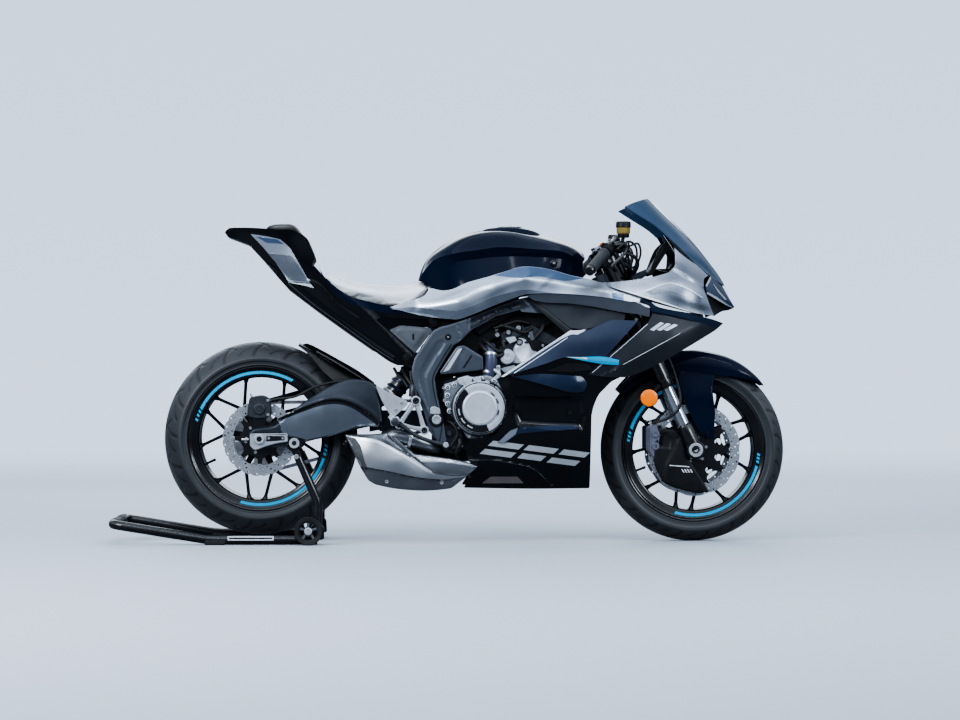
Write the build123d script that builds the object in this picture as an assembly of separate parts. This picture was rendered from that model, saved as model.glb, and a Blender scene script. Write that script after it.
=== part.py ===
"""A mid-size fully faired sport motorcycle standing on a rear paddock stand.

Row frame: +X forward, +Y to the rider's left, +Z up, in millimetres. The origin is on the floor
under the middle of the overall length. Tables give half-widths, so the right side is a mirror image.
"""
import math
import os

from build123d import *

os.makedirs("parts", exist_ok=True)

# ---------------------------------------------------------------- driving dimensions
OVERALL_LENGTH = 2175.0       # paddock stand handle to front of the front tyre
WHEELBASE = 1400.0
FRONT_AXLE_X = 789.5          # ahead of the machine's middle

FRONT_TYRE_R = 298.0
FRONT_TYRE_W = 120.0
FRONT_TYRE_HIGH = 66.0        # tyre outside the rim's bead flange
REAR_TYRE_R = 312.0
REAR_TYRE_W = 180.0
REAR_TYRE_HIGH = 80.0
REAR_LIFT = 23.0              # rear tyre above the floor on the paddock stand

RIM_WINDOW_DEEP = 35.0        # from the bead flange in to the edge of the spokes' window
RIM_BARREL_DEEP = 27.0
RIM_BARREL_WALL = 6.0
RIM_LIP_WALL = 7.0
FRONT_RIM_HALF = 52.0
REAR_RIM_HALF = 80.0
FRONT_HUB_R = 32.0
REAR_HUB_R = 42.0
SPOKE_STEM_R = 92.0           # radius where a spoke divides in two
SPOKE_THICK = 16.0
SPOKE_DEPTH = 26.0
SPOKE_GROUPS = 3
SPOKE_FORK_DEG = 24.5         # each divided spoke's lean from its group's middle
SPOKE_SPREAD_DEG = 17.5       # each arm's lean from its spoke's middle
FRONT_SPOKE_BASE_DEG = 21.7
REAR_SPOKE_BASE_DEG = 146.0

AXLE_R = 11.0
AXLE_BORE_GAP = 0.3

RAKE_DEG = 24.5
FORK_OFFSET = 30.0            # fork legs ahead of the steering axis
FORK_HALF = 104.0             # fork leg centres from the middle plane
FORK_TUBE_R = 27.0
FORK_SLIDER_R = 20.5
FORK_TUBE_LOW = 225.0         # distances along the fork, up from the front axle
FORK_TUBE_HIGH = 716.0
LOWER_CLAMP_AT = 475.0
UPPER_CLAMP_AT = 668.0
CLAMP_THICK = 34.0
FORK_FOOT_R = 27.0
FORK_FOOT_HIGH = 150.0

FRONT_DISC_R = 150.0
FRONT_DISC_IN = 118.0
FRONT_DISC_Y = 68.0
REAR_DISC_R = 120.0
REAR_DISC_IN = 82.0
REAR_DISC_Y = 100.0
DISC_THICK = 5.0

PIVOT_X, PIVOT_Z = -48.0, 398.0
PIVOT_BOLT_R = 12.0
BOBBIN_AHEAD, BOBBIN_BELOW, BOBBIN_R = 111.5, 13.0, 13.0   # stand bobbins, from the rear axle
ARM_IN, ARM_OUT = 116.0, 146.0
FRAME_IN, FRAME_OUT = 122.0, 152.0

CHAIN_Y = 104.0
CHAIN_BAND = 3.0
CHAIN_GAP = 8.0
CHAIN_HALF_HEIGHT = 7.5
REAR_SPROCKET_PITCH_R = 113.8
FRONT_SPROCKET_PITCH_R = 38.0
FRONT_SPROCKET_X, FRONT_SPROCKET_Z = 5.0, 418.0

PANEL_WALL = 4.0
SEAT_GAP = 0.3                # between pieces that rest on each other
STAND_TUBE_R = 15.0
STAND_HALF = 205.0
ROLLER_R = 45.0
ROLLER_W = 26.0
ROLLER_AHEAD = 47.0           # stand rollers ahead of the bobbins

# ---------------------------------------------------------------- derived places
FRONT_AXLE_Z = FRONT_TYRE_R
REAR_AXLE_X = FRONT_AXLE_X - WHEELBASE
REAR_AXLE_Z = REAR_TYRE_R + REAR_LIFT
FRONT_LIP_R = FRONT_TYRE_R - FRONT_TYRE_HIGH
REAR_LIP_R = REAR_TYRE_R - REAR_TYRE_HIGH
BOBBIN_X, BOBBIN_Z = REAR_AXLE_X + BOBBIN_AHEAD, REAR_AXLE_Z - BOBBIN_BELOW
ROLLER_X = BOBBIN_X + ROLLER_AHEAD
RAKE = math.radians(RAKE_DEG)


# ---------------------------------------------------------------- shape helpers
def by_front_axle(*points):
    """Side-view points given from the front axle, as places in the part."""
    return [(FRONT_AXLE_X + x, FRONT_AXLE_Z + z) for x, z in points]


def by_rear_axle(*points):
    """Side-view points given from the rear axle, as places in the part."""
    return [(REAR_AXLE_X + x, REAR_AXLE_Z + z) for x, z in points]


def both(shape):
    """A left-hand shape and its mirror image, as separate solids."""
    return Compound(children=[shape, mirror(shape, about=Plane.XZ)])


def prism(outline, y_from, y_to):
    """A side-view outline [(x, z), ...] extruded between two y values."""
    face = make_face(Polyline(*[(x, y_from, z) for x, z in outline], close=True))
    return extrude(face, amount=abs(y_to - y_from), dir=(0, math.copysign(1, y_to - y_from), 0))


def plan_prism(outline, z_from, z_to):
    """A plan-view outline [(x, y), ...] extruded between two heights."""
    face = make_face(Polyline(*[(x, y, z_from) for x, y in outline], close=True))
    return extrude(face, amount=z_to - z_from, dir=(0, 0, 1))


def rod(start, end, radius):
    """A round bar between two points."""
    a, b = Vector(*start), Vector(*end)
    plane = Plane(origin=a, z_dir=(b - a).normalized())
    return plane * Cylinder(radius, (b - a).length, align=(Align.CENTER, Align.CENTER, Align.MIN))


def across(x, z, radius, y_from, y_to):
    """A round bar lying across the machine."""
    low, high = min(y_from, y_to), max(y_from, y_to)
    return rod((x, low, z), (x, high, z), radius)


def bent_tube(points, radius, bend, bore=0.0):
    """A tube along straight runs joined by arcs."""
    path = FilletPolyline(*points, radius=bend)
    start = Plane(origin=path @ 0, z_dir=path % 0)
    profile = Circle(radius) - Circle(bore) if bore else Circle(radius)
    return sweep(start * profile, path=path)


def triangles_to_solid(triangles):
    """A closed solid from flat triangles."""
    faces = []
    for a, b, c in triangles:
        va, vb, vc = Vector(*a), Vector(*b), Vector(*c)
        if (vb - va).cross(vc - va).length > 1e-6:
            faces.append(Face(Wire.make_polygon([va, vb, vc], close=True)))
    solid = Solid(Shell(faces))
    return solid if solid.volume > 0 else Solid(Shell([-f for f in faces]))


def skin(rings):
    """A closed solid through rings of points, with flat ends."""
    triangles = []
    count = len(rings[0])
    for near, far in zip(rings, rings[1:]):
        for i in range(count):
            j = (i + 1) % count
            triangles += [(near[i], near[j], far[j]), (near[i], far[j], far[i])]
    for ring, turn in ((rings[0], -1), (rings[-1], 1)):
        middle = tuple(sum(p[k] for p in ring) / count for k in range(3))
        for i in range(count):
            j = (i + 1) % count
            ends = (ring[i], ring[j]) if turn > 0 else (ring[j], ring[i])
            triangles.append((middle, *ends))
    return triangles_to_solid(triangles)


def unit(v):
    """A vector scaled to length one."""
    size = math.sqrt(sum(c * c for c in v)) or 1.0
    return tuple(c / size for c in v)


def grid_normal(grid, i, j):
    """The surface direction at one point of a grid, from its neighbours."""
    rows, cols = len(grid), len(grid[0])
    a, b = grid[max(i - 1, 0)][j], grid[min(i + 1, rows - 1)][j]
    c, d = grid[i][max(j - 1, 0)], grid[i][min(j + 1, cols - 1)]
    u = [b[k] - a[k] for k in range(3)]
    v = [d[k] - c[k] for k in range(3)]
    return unit((u[1] * v[2] - u[2] * v[1], u[2] * v[0] - u[0] * v[2], u[0] * v[1] - u[1] * v[0]))


def sheet(grid, wall, inward=(0, -1, 0)):
    """A curved panel through a grid of points, with its wall on the side that inward points to."""
    inner = []
    for i, row in enumerate(grid):
        line = []
        for j, p in enumerate(row):
            n = grid_normal(grid, i, j)
            toward = inward(p) if callable(inward) else inward
            if sum(a * b for a, b in zip(n, toward)) < 0:
                n = tuple(-c for c in n)
            line.append(tuple(p[k] + wall * n[k] for k in range(3)))
        inner.append(line)
    triangles = []
    rows, cols = len(grid), len(grid[0])
    for i in range(rows - 1):
        for j in range(cols - 1):
            a, b, c, d = grid[i][j], grid[i + 1][j], grid[i + 1][j + 1], grid[i][j + 1]
            e, f, g, h = inner[i][j], inner[i + 1][j], inner[i + 1][j + 1], inner[i][j + 1]
            triangles += [(a, b, c), (a, c, d), (e, g, f), (e, h, g)]
    edge = [(i, 0) for i in range(rows)] + [(rows - 1, j) for j in range(1, cols)]
    edge += [(i, cols - 1) for i in range(rows - 2, -1, -1)] + [(0, j) for j in range(cols - 2, 0, -1)]
    for (i, j), (k, m) in zip(edge, edge[1:] + edge[:1]):
        triangles += [(grid[i][j], inner[i][j], inner[k][m]), (grid[i][j], inner[k][m], grid[k][m])]
    return triangles_to_solid(triangles)


def superellipse_ring(x, z_low, z_high, half, power, count=20):
    """A rounded upright section at one station, wider than a plain ellipse for a higher power."""
    middle, tall = (z_low + z_high) / 2, (z_high - z_low) / 2
    ring = []
    for k in range(count):
        t = 2 * math.pi * k / count
        c, s = math.cos(t), math.sin(t)
        y = math.copysign(abs(c) ** (2 / power), c) * half
        z = math.copysign(abs(s) ** (2 / power), s) * tall
        ring.append((x, y, middle + z))
    return ring


def fork_point(along, forward=0.0, y=0.0):
    """A point in the fork's own frame: along the legs up from the axle, and forward of them."""
    return (
        FRONT_AXLE_X - along * math.sin(RAKE) + forward * math.cos(RAKE),
        y,
        FRONT_AXLE_Z + along * math.cos(RAKE) + forward * math.sin(RAKE),
    )


def fork_plane(along, forward=0.0, y=0.0):
    """A work plane square to the fork legs, its x forward and its y to the left."""
    return Plane(
        origin=fork_point(along, forward, y),
        x_dir=(math.cos(RAKE), 0, math.sin(RAKE)),
        z_dir=(-math.sin(RAKE), 0, math.cos(RAKE)),
    )


def keep(name, shape):
    """Writes one node's solids."""
    solids = shape.solids()
    export_step(solids[0] if len(solids) == 1 else Compound(children=list(solids)), f"parts/{name}.step")
    return shape


# ---------------------------------------------------------------- wheels
def revolve_profile(points, x, z):
    """A ring made from a closed (radius, y) outline turned about a wheel axis."""
    face = make_face(Polyline(*[(x + r, y, z) for r, y in points], close=True))
    return revolve(face, axis=Axis((x, 0, z), (0, 1, 0)), revolution_arc=360)


def tyre_ring(x, z, outer, lip_r, width, rim_half):
    """A tyre seated between the rim's lips, its tread one arc from shoulder to shoulder."""
    half = width / 2
    bead_r = lip_r - RIM_BARREL_DEEP + RIM_BARREL_WALL + SEAT_GAP
    bead_half = rim_half - RIM_LIP_WALL - SEAT_GAP
    over_lip = lip_r + SEAT_GAP
    shoulder = outer - width * 0.30

    def at(r, y):
        return (x + r, y, z)

    wall = [(shoulder, half), (over_lip + 12.0, half * 0.97), (over_lip, rim_half + 2.0), (over_lip, bead_half),
            (bead_r, bead_half)]
    edges = Polyline(*[at(r, y) for r, y in wall], *[at(r, -y) for r, y in reversed(wall)])
    crown = ThreePointArc(at(shoulder, -half), at(outer, 0.0), at(shoulder, half))
    face = make_face(Wire([*edges.edges(), crown]))
    return revolve(face, axis=Axis((x, 0, z), (0, 1, 0)), revolution_arc=360)


def rim(x, z, lip_r, half, hub_r, hub_half, base_deg, left_flange=0.0, right_flange=0.0, flange_r=0.0):
    """A cast wheel: barrel with two lips, hub with a bore, and divided spokes."""
    barrel_r, window_r = lip_r - RIM_BARREL_DEEP, lip_r - RIM_WINDOW_DEEP
    barrel_out = barrel_r + RIM_BARREL_WALL
    lip_in = half - RIM_LIP_WALL
    barrel = revolve_profile(
        [(window_r, -lip_in), (window_r, -half), (lip_r - 6.0, -half), (lip_r, -half - 4.0),
         (lip_r, -lip_in), (barrel_out, -lip_in), (barrel_out, lip_in), (lip_r, lip_in),
         (lip_r, half + 4.0), (lip_r - 6.0, half), (window_r, half), (window_r, lip_in),
         (barrel_r, lip_in - 12.0), (barrel_r, -lip_in + 12.0)], x, z)
    body = barrel + across(x, z, hub_r, -hub_half, hub_half)
    if left_flange:
        body += across(x, z, flange_r, hub_half - 8.0, left_flange)
    if right_flange:
        body += across(x, z, flange_r, -hub_half + 8.0, -right_flange)
    for group in range(SPOKE_GROUPS):
        for side in (-1, 1):
            middle = base_deg + group * 360.0 / SPOKE_GROUPS + side * SPOKE_FORK_DEG
            fork = polar(x, z, SPOKE_STEM_R, middle)
            body += bar((x, z), fork, SPOKE_THICK * 1.5, SPOKE_DEPTH)
            for lean in (-1, 1):
                end = polar(x, z, barrel_r + 2.0, middle + lean * SPOKE_SPREAD_DEG)
                body += bar(fork, end, SPOKE_THICK * 0.8, SPOKE_DEPTH * 0.8)
    return body - across(x, z, AXLE_R + AXLE_BORE_GAP, -200.0, 200.0)


def polar(x, z, radius, degrees):
    """A point in the side view at a radius and an angle above +X."""
    a = math.radians(degrees)
    return (x + radius * math.cos(a), z + radius * math.sin(a))


def bar(start, end, width, depth):
    """A flat bar in the side view, centred on the middle plane."""
    (x0, z0), (x1, z1) = start, end
    run = math.hypot(x1 - x0, z1 - z0)
    nx, nz = -(z1 - z0) / run * width / 2, (x1 - x0) / run * width / 2
    return prism([(x0 + nx, z0 + nz), (x1 + nx, z1 + nz), (x1 - nx, z1 - nz), (x0 - nx, z0 - nz)],
                 -depth / 2, depth / 2)


def disc(x, z, outer, inner, y_middle, mount_r, arms=6):
    """A brake disc: a drilled ring, and a carrier with arms to the hub."""
    low, high = y_middle - DISC_THICK / 2, y_middle + DISC_THICK / 2
    ring = across(x, z, outer, low, high) - across(x, z, inner, low - 1, high + 1)
    hub = across(x, z, mount_r, low, high)
    for k in range(arms):
        a = polar(x, z, inner + 4.0, k * 360.0 / arms + 15.0)
        b = polar(x, z, mount_r - 4.0, k * 360.0 / arms)
        piece = bar(b, a, 13.0, DISC_THICK - 1.0)
        ring += Pos(0, y_middle, 0) * piece
    ring += hub - across(x, z, AXLE_R + 12.0, low - 1, high + 1)
    return ring


front_hub_half = FRONT_DISC_Y - DISC_THICK / 2
rear_hub_half = 62.0
keep("front_tyre", tyre_ring(FRONT_AXLE_X, FRONT_AXLE_Z, FRONT_TYRE_R, FRONT_LIP_R, FRONT_TYRE_W, FRONT_RIM_HALF))
keep("rear_tyre", tyre_ring(REAR_AXLE_X, REAR_AXLE_Z, REAR_TYRE_R, REAR_LIP_R, REAR_TYRE_W, REAR_RIM_HALF))
keep("front_rim", rim(FRONT_AXLE_X, FRONT_AXLE_Z, FRONT_LIP_R, FRONT_RIM_HALF, FRONT_HUB_R, front_hub_half,
                      FRONT_SPOKE_BASE_DEG))
keep("rear_rim", rim(REAR_AXLE_X, REAR_AXLE_Z, REAR_LIP_R, REAR_RIM_HALF, REAR_HUB_R, rear_hub_half,
                     REAR_SPOKE_BASE_DEG, CHAIN_Y - 3.0, REAR_DISC_Y - DISC_THICK / 2, 56.0))
front_disc = disc(FRONT_AXLE_X, FRONT_AXLE_Z, FRONT_DISC_R, FRONT_DISC_IN, FRONT_DISC_Y, 46.0)
keep("front_discs", both(front_disc))
keep("rear_disc", disc(REAR_AXLE_X, REAR_AXLE_Z, REAR_DISC_R, REAR_DISC_IN, -REAR_DISC_Y, 56.0))


def sprocket(x, z, pitch_r, y_low, y_high):
    """A sprocket plate with lightening holes, whose teeth stop short of the chain's pins."""
    plate = across(x, z, pitch_r - 8.0, y_low, y_high) - across(x, z, AXLE_R + 12.0, y_low - 1, y_high + 1)
    for k in range(6):
        hx, hz = polar(x, z, pitch_r * 0.72, k * 60.0)
        plate -= across(hx, hz, 13.0, y_low - 1, y_high + 1)
    return plate


keep("rear_sprocket", sprocket(REAR_AXLE_X, REAR_AXLE_Z, REAR_SPROCKET_PITCH_R, CHAIN_Y - 3.0, CHAIN_Y + 3.0))

# ---------------------------------------------------------------- fork, clamps and bars
tube = rod(fork_point(FORK_TUBE_LOW, 0, FORK_HALF), fork_point(FORK_TUBE_HIGH, 0, FORK_HALF), FORK_TUBE_R)
keep("fork_tubes", both(tube))
slider = rod(fork_point(FORK_FOOT_HIGH - 20.0, 0, FORK_HALF), fork_point(FORK_TUBE_LOW, 0, FORK_HALF), FORK_SLIDER_R)
foot = rod(fork_point(0, 0, FORK_HALF), fork_point(FORK_FOOT_HIGH, 0, FORK_HALF), FORK_FOOT_R)
foot += across(FRONT_AXLE_X, FRONT_AXLE_Z, 30.0, FORK_HALF - 22.0, FORK_HALF + 24.0)
axle_end = FORK_HALF + 29.0
front_axle = across(FRONT_AXLE_X, FRONT_AXLE_Z, AXLE_R, -axle_end, axle_end)
leg = slider + foot
keep("fork_sliders", leg + mirror(leg, about=Plane.XZ) + front_axle)


def clamp_block(along, thick, width_out, forward):
    """A triple clamp with a bore for each fork tube, centred on its height."""
    half = FORK_HALF + 14.0
    plane = fork_plane(along)
    block = plane * Box(62.0, 2 * half, thick)
    for side in (-1, 1):
        block += fork_plane(along, 0, side * FORK_HALF) * Cylinder(FORK_TUBE_R + 11.0, thick)
    block += fork_plane(along, -FORK_OFFSET) * Cylinder(34.0, thick)
    for side in (-1, 1):
        block -= fork_plane(along, 0, side * FORK_HALF) * Cylinder(FORK_TUBE_R, thick + 4)
    return block


stem = rod(fork_point(LOWER_CLAMP_AT, -FORK_OFFSET), fork_point(UPPER_CLAMP_AT, -FORK_OFFSET), 14.0)
clamps = clamp_block(LOWER_CLAMP_AT, CLAMP_THICK, 0, 0) + clamp_block(UPPER_CLAMP_AT, 22.0, 0, 0) + stem
keep("fork_clamps", clamps)

GRIP_IN = (FRONT_AXLE_X - 302.5, 222.0, FRONT_AXLE_Z + 627.0)
GRIP_OUT = (FRONT_AXLE_X - 356.5, 345.0, FRONT_AXLE_Z + 569.0)
BAR_AT = UPPER_CLAMP_AT + 29.0
bar_ring = fork_plane(BAR_AT, 0, FORK_HALF) * (Cylinder(FORK_TUBE_R + 10.0, 30.0) - Cylinder(FORK_TUBE_R, 34.0))


def along_bar(t, up=0.0, ahead=0.0):
    """A point on the bar's line: 0 at the grip's inner end, 1 at its outer end."""
    p = [a + (b - a) * t for a, b in zip(GRIP_IN, GRIP_OUT)]
    return (p[0] + ahead, p[1], p[2] + up)


bar_core = rod(along_bar(-0.86), along_bar(1.02), 11.0) + Pos(*along_bar(-0.86)) * Sphere(13.0)
bar_core += rod(fork_point(BAR_AT, 22, FORK_HALF + 16), along_bar(-0.86), 12.0)
bar_core -= fork_plane(BAR_AT, 0, FORK_HALF) * Cylinder(FORK_TUBE_R, 80.0)
bar_core -= rod(along_bar(0.78), along_bar(1.1), 7.0)
grip = rod(along_bar(0.0), along_bar(0.93), 16.5) - rod(along_bar(-0.1), along_bar(1.0), 11.0)
keep("handlebars", both(bar_ring + bar_core))
keep("grips", both(grip))

switch = rod(along_bar(-0.34), along_bar(-0.03), 19.0) - rod(along_bar(-0.5), along_bar(0.1), 11.0)
lever_root = along_bar(-0.45, 6.0, 48.0)
lever_tip = along_bar(0.9, 2.0, 58.0)
lever = rod(along_bar(-0.30, 4.0, 12.0), lever_root, 9.0) + rod(lever_root, lever_tip, 6.0)
lever += Pos(*lever_root) * Sphere(13.0)
switch = switch + (lever - rod(along_bar(-0.5), along_bar(0.1), 11.0))
keep("hand_controls", both(switch))

# ---------------------------------------------------------------- front mudguard
GUARD_R = FRONT_TYRE_R + 18.0
GUARD_WALL = 3.0
guard_table = (
    # degrees round the axle, half width, side drop
    (142, 66, 30), (128, 70, 42), (108, 73, 60), (94, 80, 64), (76, 80, 68), (58, 76, 52), (42, 56, 22),
)
guard_rows = []
for degrees, half, drop in guard_table:
    gx, gz = polar(FRONT_AXLE_X, FRONT_AXLE_Z, GUARD_R, degrees)
    dx, dz = polar(0, 0, 1, degrees)
    section = ((-half, drop), (-half * 0.96, drop * 0.45), (-half * 0.6, 8), (0, 0), (half * 0.6, 8),
               (half * 0.96, drop * 0.45), (half, drop))
    guard_rows.append([(gx - dx * fall, y, gz - dz * fall) for y, fall in section])
guard = sheet(guard_rows, GUARD_WALL, inward=lambda p: (FRONT_AXLE_X - p[0], 0, FRONT_AXLE_Z - p[2]))
leg_clear = rod(fork_point(-50, 0, FORK_HALF), fork_point(600, 0, FORK_HALF), FORK_FOOT_R + SEAT_GAP)
leg_cover = prism(by_front_axle((-47.5, GUARD_R - 66), (42.5, GUARD_R - 62), (55.5, 197), (58.5, 133), (59.5, 71),
                                (53.5, 34), (25.5, 32), (-7.5, 87), (-27.5, 94), (-25.5, 132), (-32.5, 157)),
                  78, 84) - leg_clear
guard += leg_cover + mirror(leg_cover, about=Plane.XZ)
keep("front_mudguard", guard)

# ---------------------------------------------------------------- front calipers and ducts
DISC_CLEAR = 5.5
leg_fit = rod(fork_point(-50, 0, FORK_HALF), fork_point(300, 0, FORK_HALF), FORK_FOOT_R)
slot = FRONT_DISC_Y - DISC_THICK / 2 - DISC_CLEAR, FRONT_DISC_Y + DISC_THICK / 2 + DISC_CLEAR
caliper_front = prism(by_front_axle((-153.5, 78), (-125.5, 86), (-99.5, 2), (-113.5, -36), (-139.5, -30),
                                    (-153.5, 2)), 48.0, 96.0)
caliper_front -= across(FRONT_AXLE_X, FRONT_AXLE_Z, FRONT_DISC_R + DISC_CLEAR, *slot)
caliper_front += prism(by_front_axle((-113.5, 32), (-54.5, 2), (-19.5, 32), (-54.5, 74), (-109.5, 82)), 82.0, 92.0)
caliper_front -= leg_fit
caliper_front -= across(FRONT_AXLE_X, FRONT_AXLE_Z, 31.0, 60, 140)
keep("front_calipers", both(caliper_front))
duct_cover = prism(by_front_axle((-116.5, 69), (-63.5, 63), (-48.5, 37), (-14.5, -36), (46.5, -137), (-30.5, -138),
                                 (-97.5, -110), (-131.5, -51), (-128.5, 11)), 96.0 + SEAT_GAP, 100.0 + SEAT_GAP)
duct_cover -= leg_clear
duct_cover -= across(FRONT_AXLE_X, FRONT_AXLE_Z, 30.0 + SEAT_GAP, 60, 140)
keep("brake_ducts", both(duct_cover))

# ---------------------------------------------------------------- main frame
plate_outline = [(-116, 592), (-125, 546), (-114, 495), (-85, 421), (-68, 358), (-34, 318), (-11, 318), (-25, 398),
                 (-42, 472), (-51, 535), (12, 638), (24, 643), (24, 694), (-24, 694), (-56, 680)]
spar_outline = [(-24, 643), (24, 643), (72, 686), (146, 728), (254, 757), (254, 765), (231, 786), (56, 720),
                (-24, 694)]
plate = prism(plate_outline, FRAME_IN, FRAME_OUT)
spar = prism(spar_outline, FRAME_IN, FRAME_OUT)
HEAD_LOW, HEAD_HIGH = 515.0, 640.0
HEAD_R = 38.0
STEM_R = 14.0
SHOCK_X, SHOCK_Z, CROSS_TUBE_R = -70.0, 620.0, 14.0
LOWER_TUBE_X, LOWER_TUBE_Z, LOWER_TUBE_R = -38.0, 345.0, 13.0
SLIDER_X, SLIDER_Z, SLIDER_R = -8.0, 664.0, 5.0
SIDE_STAND_X, SIDE_STAND_Z, SIDE_STAND_PIN_R = -28.0, 304.0, 6.0
STAY_HALF = 15.0
(nose_x, nose_z), (nose_top_x, nose_top_z) = by_front_axle((-281.5, 454), (-303.5, 540))
spar_nose = skin([
    [(225, FRAME_IN, 742), (225, FRAME_OUT, 742), (225, FRAME_OUT, 783), (225, FRAME_IN, 783)],
    [(330, 96, 735), (330, 126, 735), (330, 126, 812), (330, 96, 812)],
    [(nose_x, 6, nose_z), (nose_x, 36, nose_z), (nose_top_x, 36, nose_top_z), (nose_top_x, 6, nose_top_z)],
])
head_tube = rod(fork_point(HEAD_LOW, -FORK_OFFSET), fork_point(HEAD_HIGH, -FORK_OFFSET), HEAD_R)
side = plate + spar + spar_nose
frame = side + mirror(side, about=Plane.XZ) + head_tube
frame += across(SHOCK_X, SHOCK_Z, CROSS_TUBE_R, -FRAME_IN - 2, FRAME_IN + 2)
frame += across(LOWER_TUBE_X, LOWER_TUBE_Z, LOWER_TUBE_R, -FRAME_IN - 2, FRAME_IN + 2)
frame += prism([*by_front_axle((-279.5, 502), (-224.5, 514)), (640, 862), (640, 884),
                *by_front_axle((-244.5, 548), (-279.5, 540))], -STAY_HALF, STAY_HALF)
frame += prism([(-52, 332), (-8, 332), (-8, 300), (-28, 288), (-48, 300)], FRAME_IN, FRAME_IN + 12)
frame += across(SIDE_STAND_X, SIDE_STAND_Z, SIDE_STAND_PIN_R, FRAME_IN + 10, FRAME_IN + 32)
frame -= rod(fork_point(HEAD_LOW - 60, -FORK_OFFSET), fork_point(HEAD_HIGH + 60, -FORK_OFFSET),
             STEM_R + AXLE_BORE_GAP)
frame -= across(SLIDER_X, SLIDER_Z, SLIDER_R, -200, 200)
frame -= across(PIVOT_X, PIVOT_Z, PIVOT_BOLT_R, -200, 200)

# ---------------------------------------------------------------- swingarm and rear end
arm_outline = by_rear_axle((-32.5, 23), (-17.5, 33), (48.5, 45), (121.5, 103), (239.5, 177), (305.5, 192),
                           (371.5, 173), (388.5, 125), (393.5, 48), (268.5, 22), (151.5, -9), (92.5, -25),
                           (50.5, -27), (-32.5, -23))
arm = prism(arm_outline, ARM_IN, ARM_OUT)
TYRE_CLEAR, BEAM_THICK = 55.5, 34.0    # rear tyre to the middle of the cross beam
BEAM_X = REAR_AXLE_X + REAR_TYRE_R + TYRE_CLEAR
BEAM_LOW, BEAM_HIGH = REAR_AXLE_Z + 22.0, REAR_AXLE_Z + 93.0
beam = prism([(BEAM_X - BEAM_THICK / 2, BEAM_LOW), (BEAM_X + BEAM_THICK / 2, BEAM_LOW + 6),
              (BEAM_X + BEAM_THICK / 2, BEAM_HIGH), (BEAM_X - BEAM_THICK / 2, BEAM_HIGH)], -ARM_IN - 2, ARM_IN + 2)
neck = prism([(BEAM_X + 15, BEAM_LOW + 1), (PIVOT_X - 12, PIVOT_Z - 26), (PIVOT_X, PIVOT_Z - 24),
              (PIVOT_X, PIVOT_Z + 24), (PIVOT_X - 12, PIVOT_Z + 26), (BEAM_X + 15, BEAM_HIGH - 4)], 50, 88)
shock_post = prism([(BEAM_X - 17, BEAM_HIGH - 2), (BEAM_X + 17, BEAM_HIGH - 2), (BEAM_X + 17, BEAM_HIGH + 42),
                    (BEAM_X - 17, BEAM_HIGH + 50)], -22, 22)
swingarm = arm + neck
swingarm = swingarm + mirror(swingarm, about=Plane.XZ) + beam + shock_post
swingarm += across(PIVOT_X, PIVOT_Z, 26.0, -112, 92)
bobbin = across(BOBBIN_X, BOBBIN_Z, BOBBIN_R, ARM_OUT - 2, ARM_OUT + 22)
bobbin += across(BOBBIN_X, BOBBIN_Z, BOBBIN_R + 5, ARM_OUT + 19, ARM_OUT + 23)
swingarm += bobbin + mirror(bobbin, about=Plane.XZ)
swingarm -= across(PIVOT_X, PIVOT_Z, PIVOT_BOLT_R, -200, 200)
swingarm -= across(REAR_AXLE_X, REAR_AXLE_Z, AXLE_R, -200, 200)
keep("swingarm", swingarm)
keep("pivot_and_axle", Compound(children=[
    across(PIVOT_X, PIVOT_Z, PIVOT_BOLT_R, -FRAME_OUT - 10, FRAME_OUT + 10),
    across(REAR_AXLE_X, REAR_AXLE_Z, AXLE_R, -ARM_OUT - 10, ARM_OUT + 10)]))

shock = across(SHOCK_X, SHOCK_Z, 25.0, -17, 17)
shock += rod((SHOCK_X, 0, SHOCK_Z), (BEAM_X + 38, 0, BEAM_HIGH + 27), 10.0)
shock += rod((SHOCK_X - 22, 0, SHOCK_Z - 27), (BEAM_X + 53, 0, BEAM_HIGH + 45), 30.0)
shock += prism([(BEAM_X + 17, BEAM_HIGH + 4), (BEAM_X + 17, BEAM_HIGH + 40), (BEAM_X + 43, BEAM_HIGH + 46),
                (BEAM_X + 57, BEAM_HIGH + 24)], -14, 14)
shock -= across(SHOCK_X, SHOCK_Z, CROSS_TUBE_R, -100, 100)
shock -= swingarm
keep("rear_shock", shock)

hugger_table = (
    # degrees round the axle, height over the tyre, half width, side drop
    (66, 18, 62, 8), (56, 19, 84, 26), (45, 29, 98, 46), (36, 50, ARM_IN - SEAT_GAP, 60),
    (28, 80, ARM_IN - SEAT_GAP, 70),
)
hugger_rows = []
for degrees, lift, half, drop in hugger_table:
    dx, dz = polar(0, 0, 1, degrees)
    hx, hz = polar(REAR_AXLE_X, REAR_AXLE_Z, REAR_TYRE_R + lift, degrees)
    section = ((-half, drop), (-half * 0.9, drop * 0.3), (-half * 0.4, 0), (half * 0.4, 0), (half * 0.9, drop * 0.3),
               (half, drop))
    hugger_rows.append([(hx - dx * fall, y, hz - dz * fall) for y, fall in section])
keep("rear_hugger", sheet(hugger_rows, 3.0, inward=lambda p: (REAR_AXLE_X - p[0], 0, REAR_AXLE_Z - p[2])))

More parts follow.
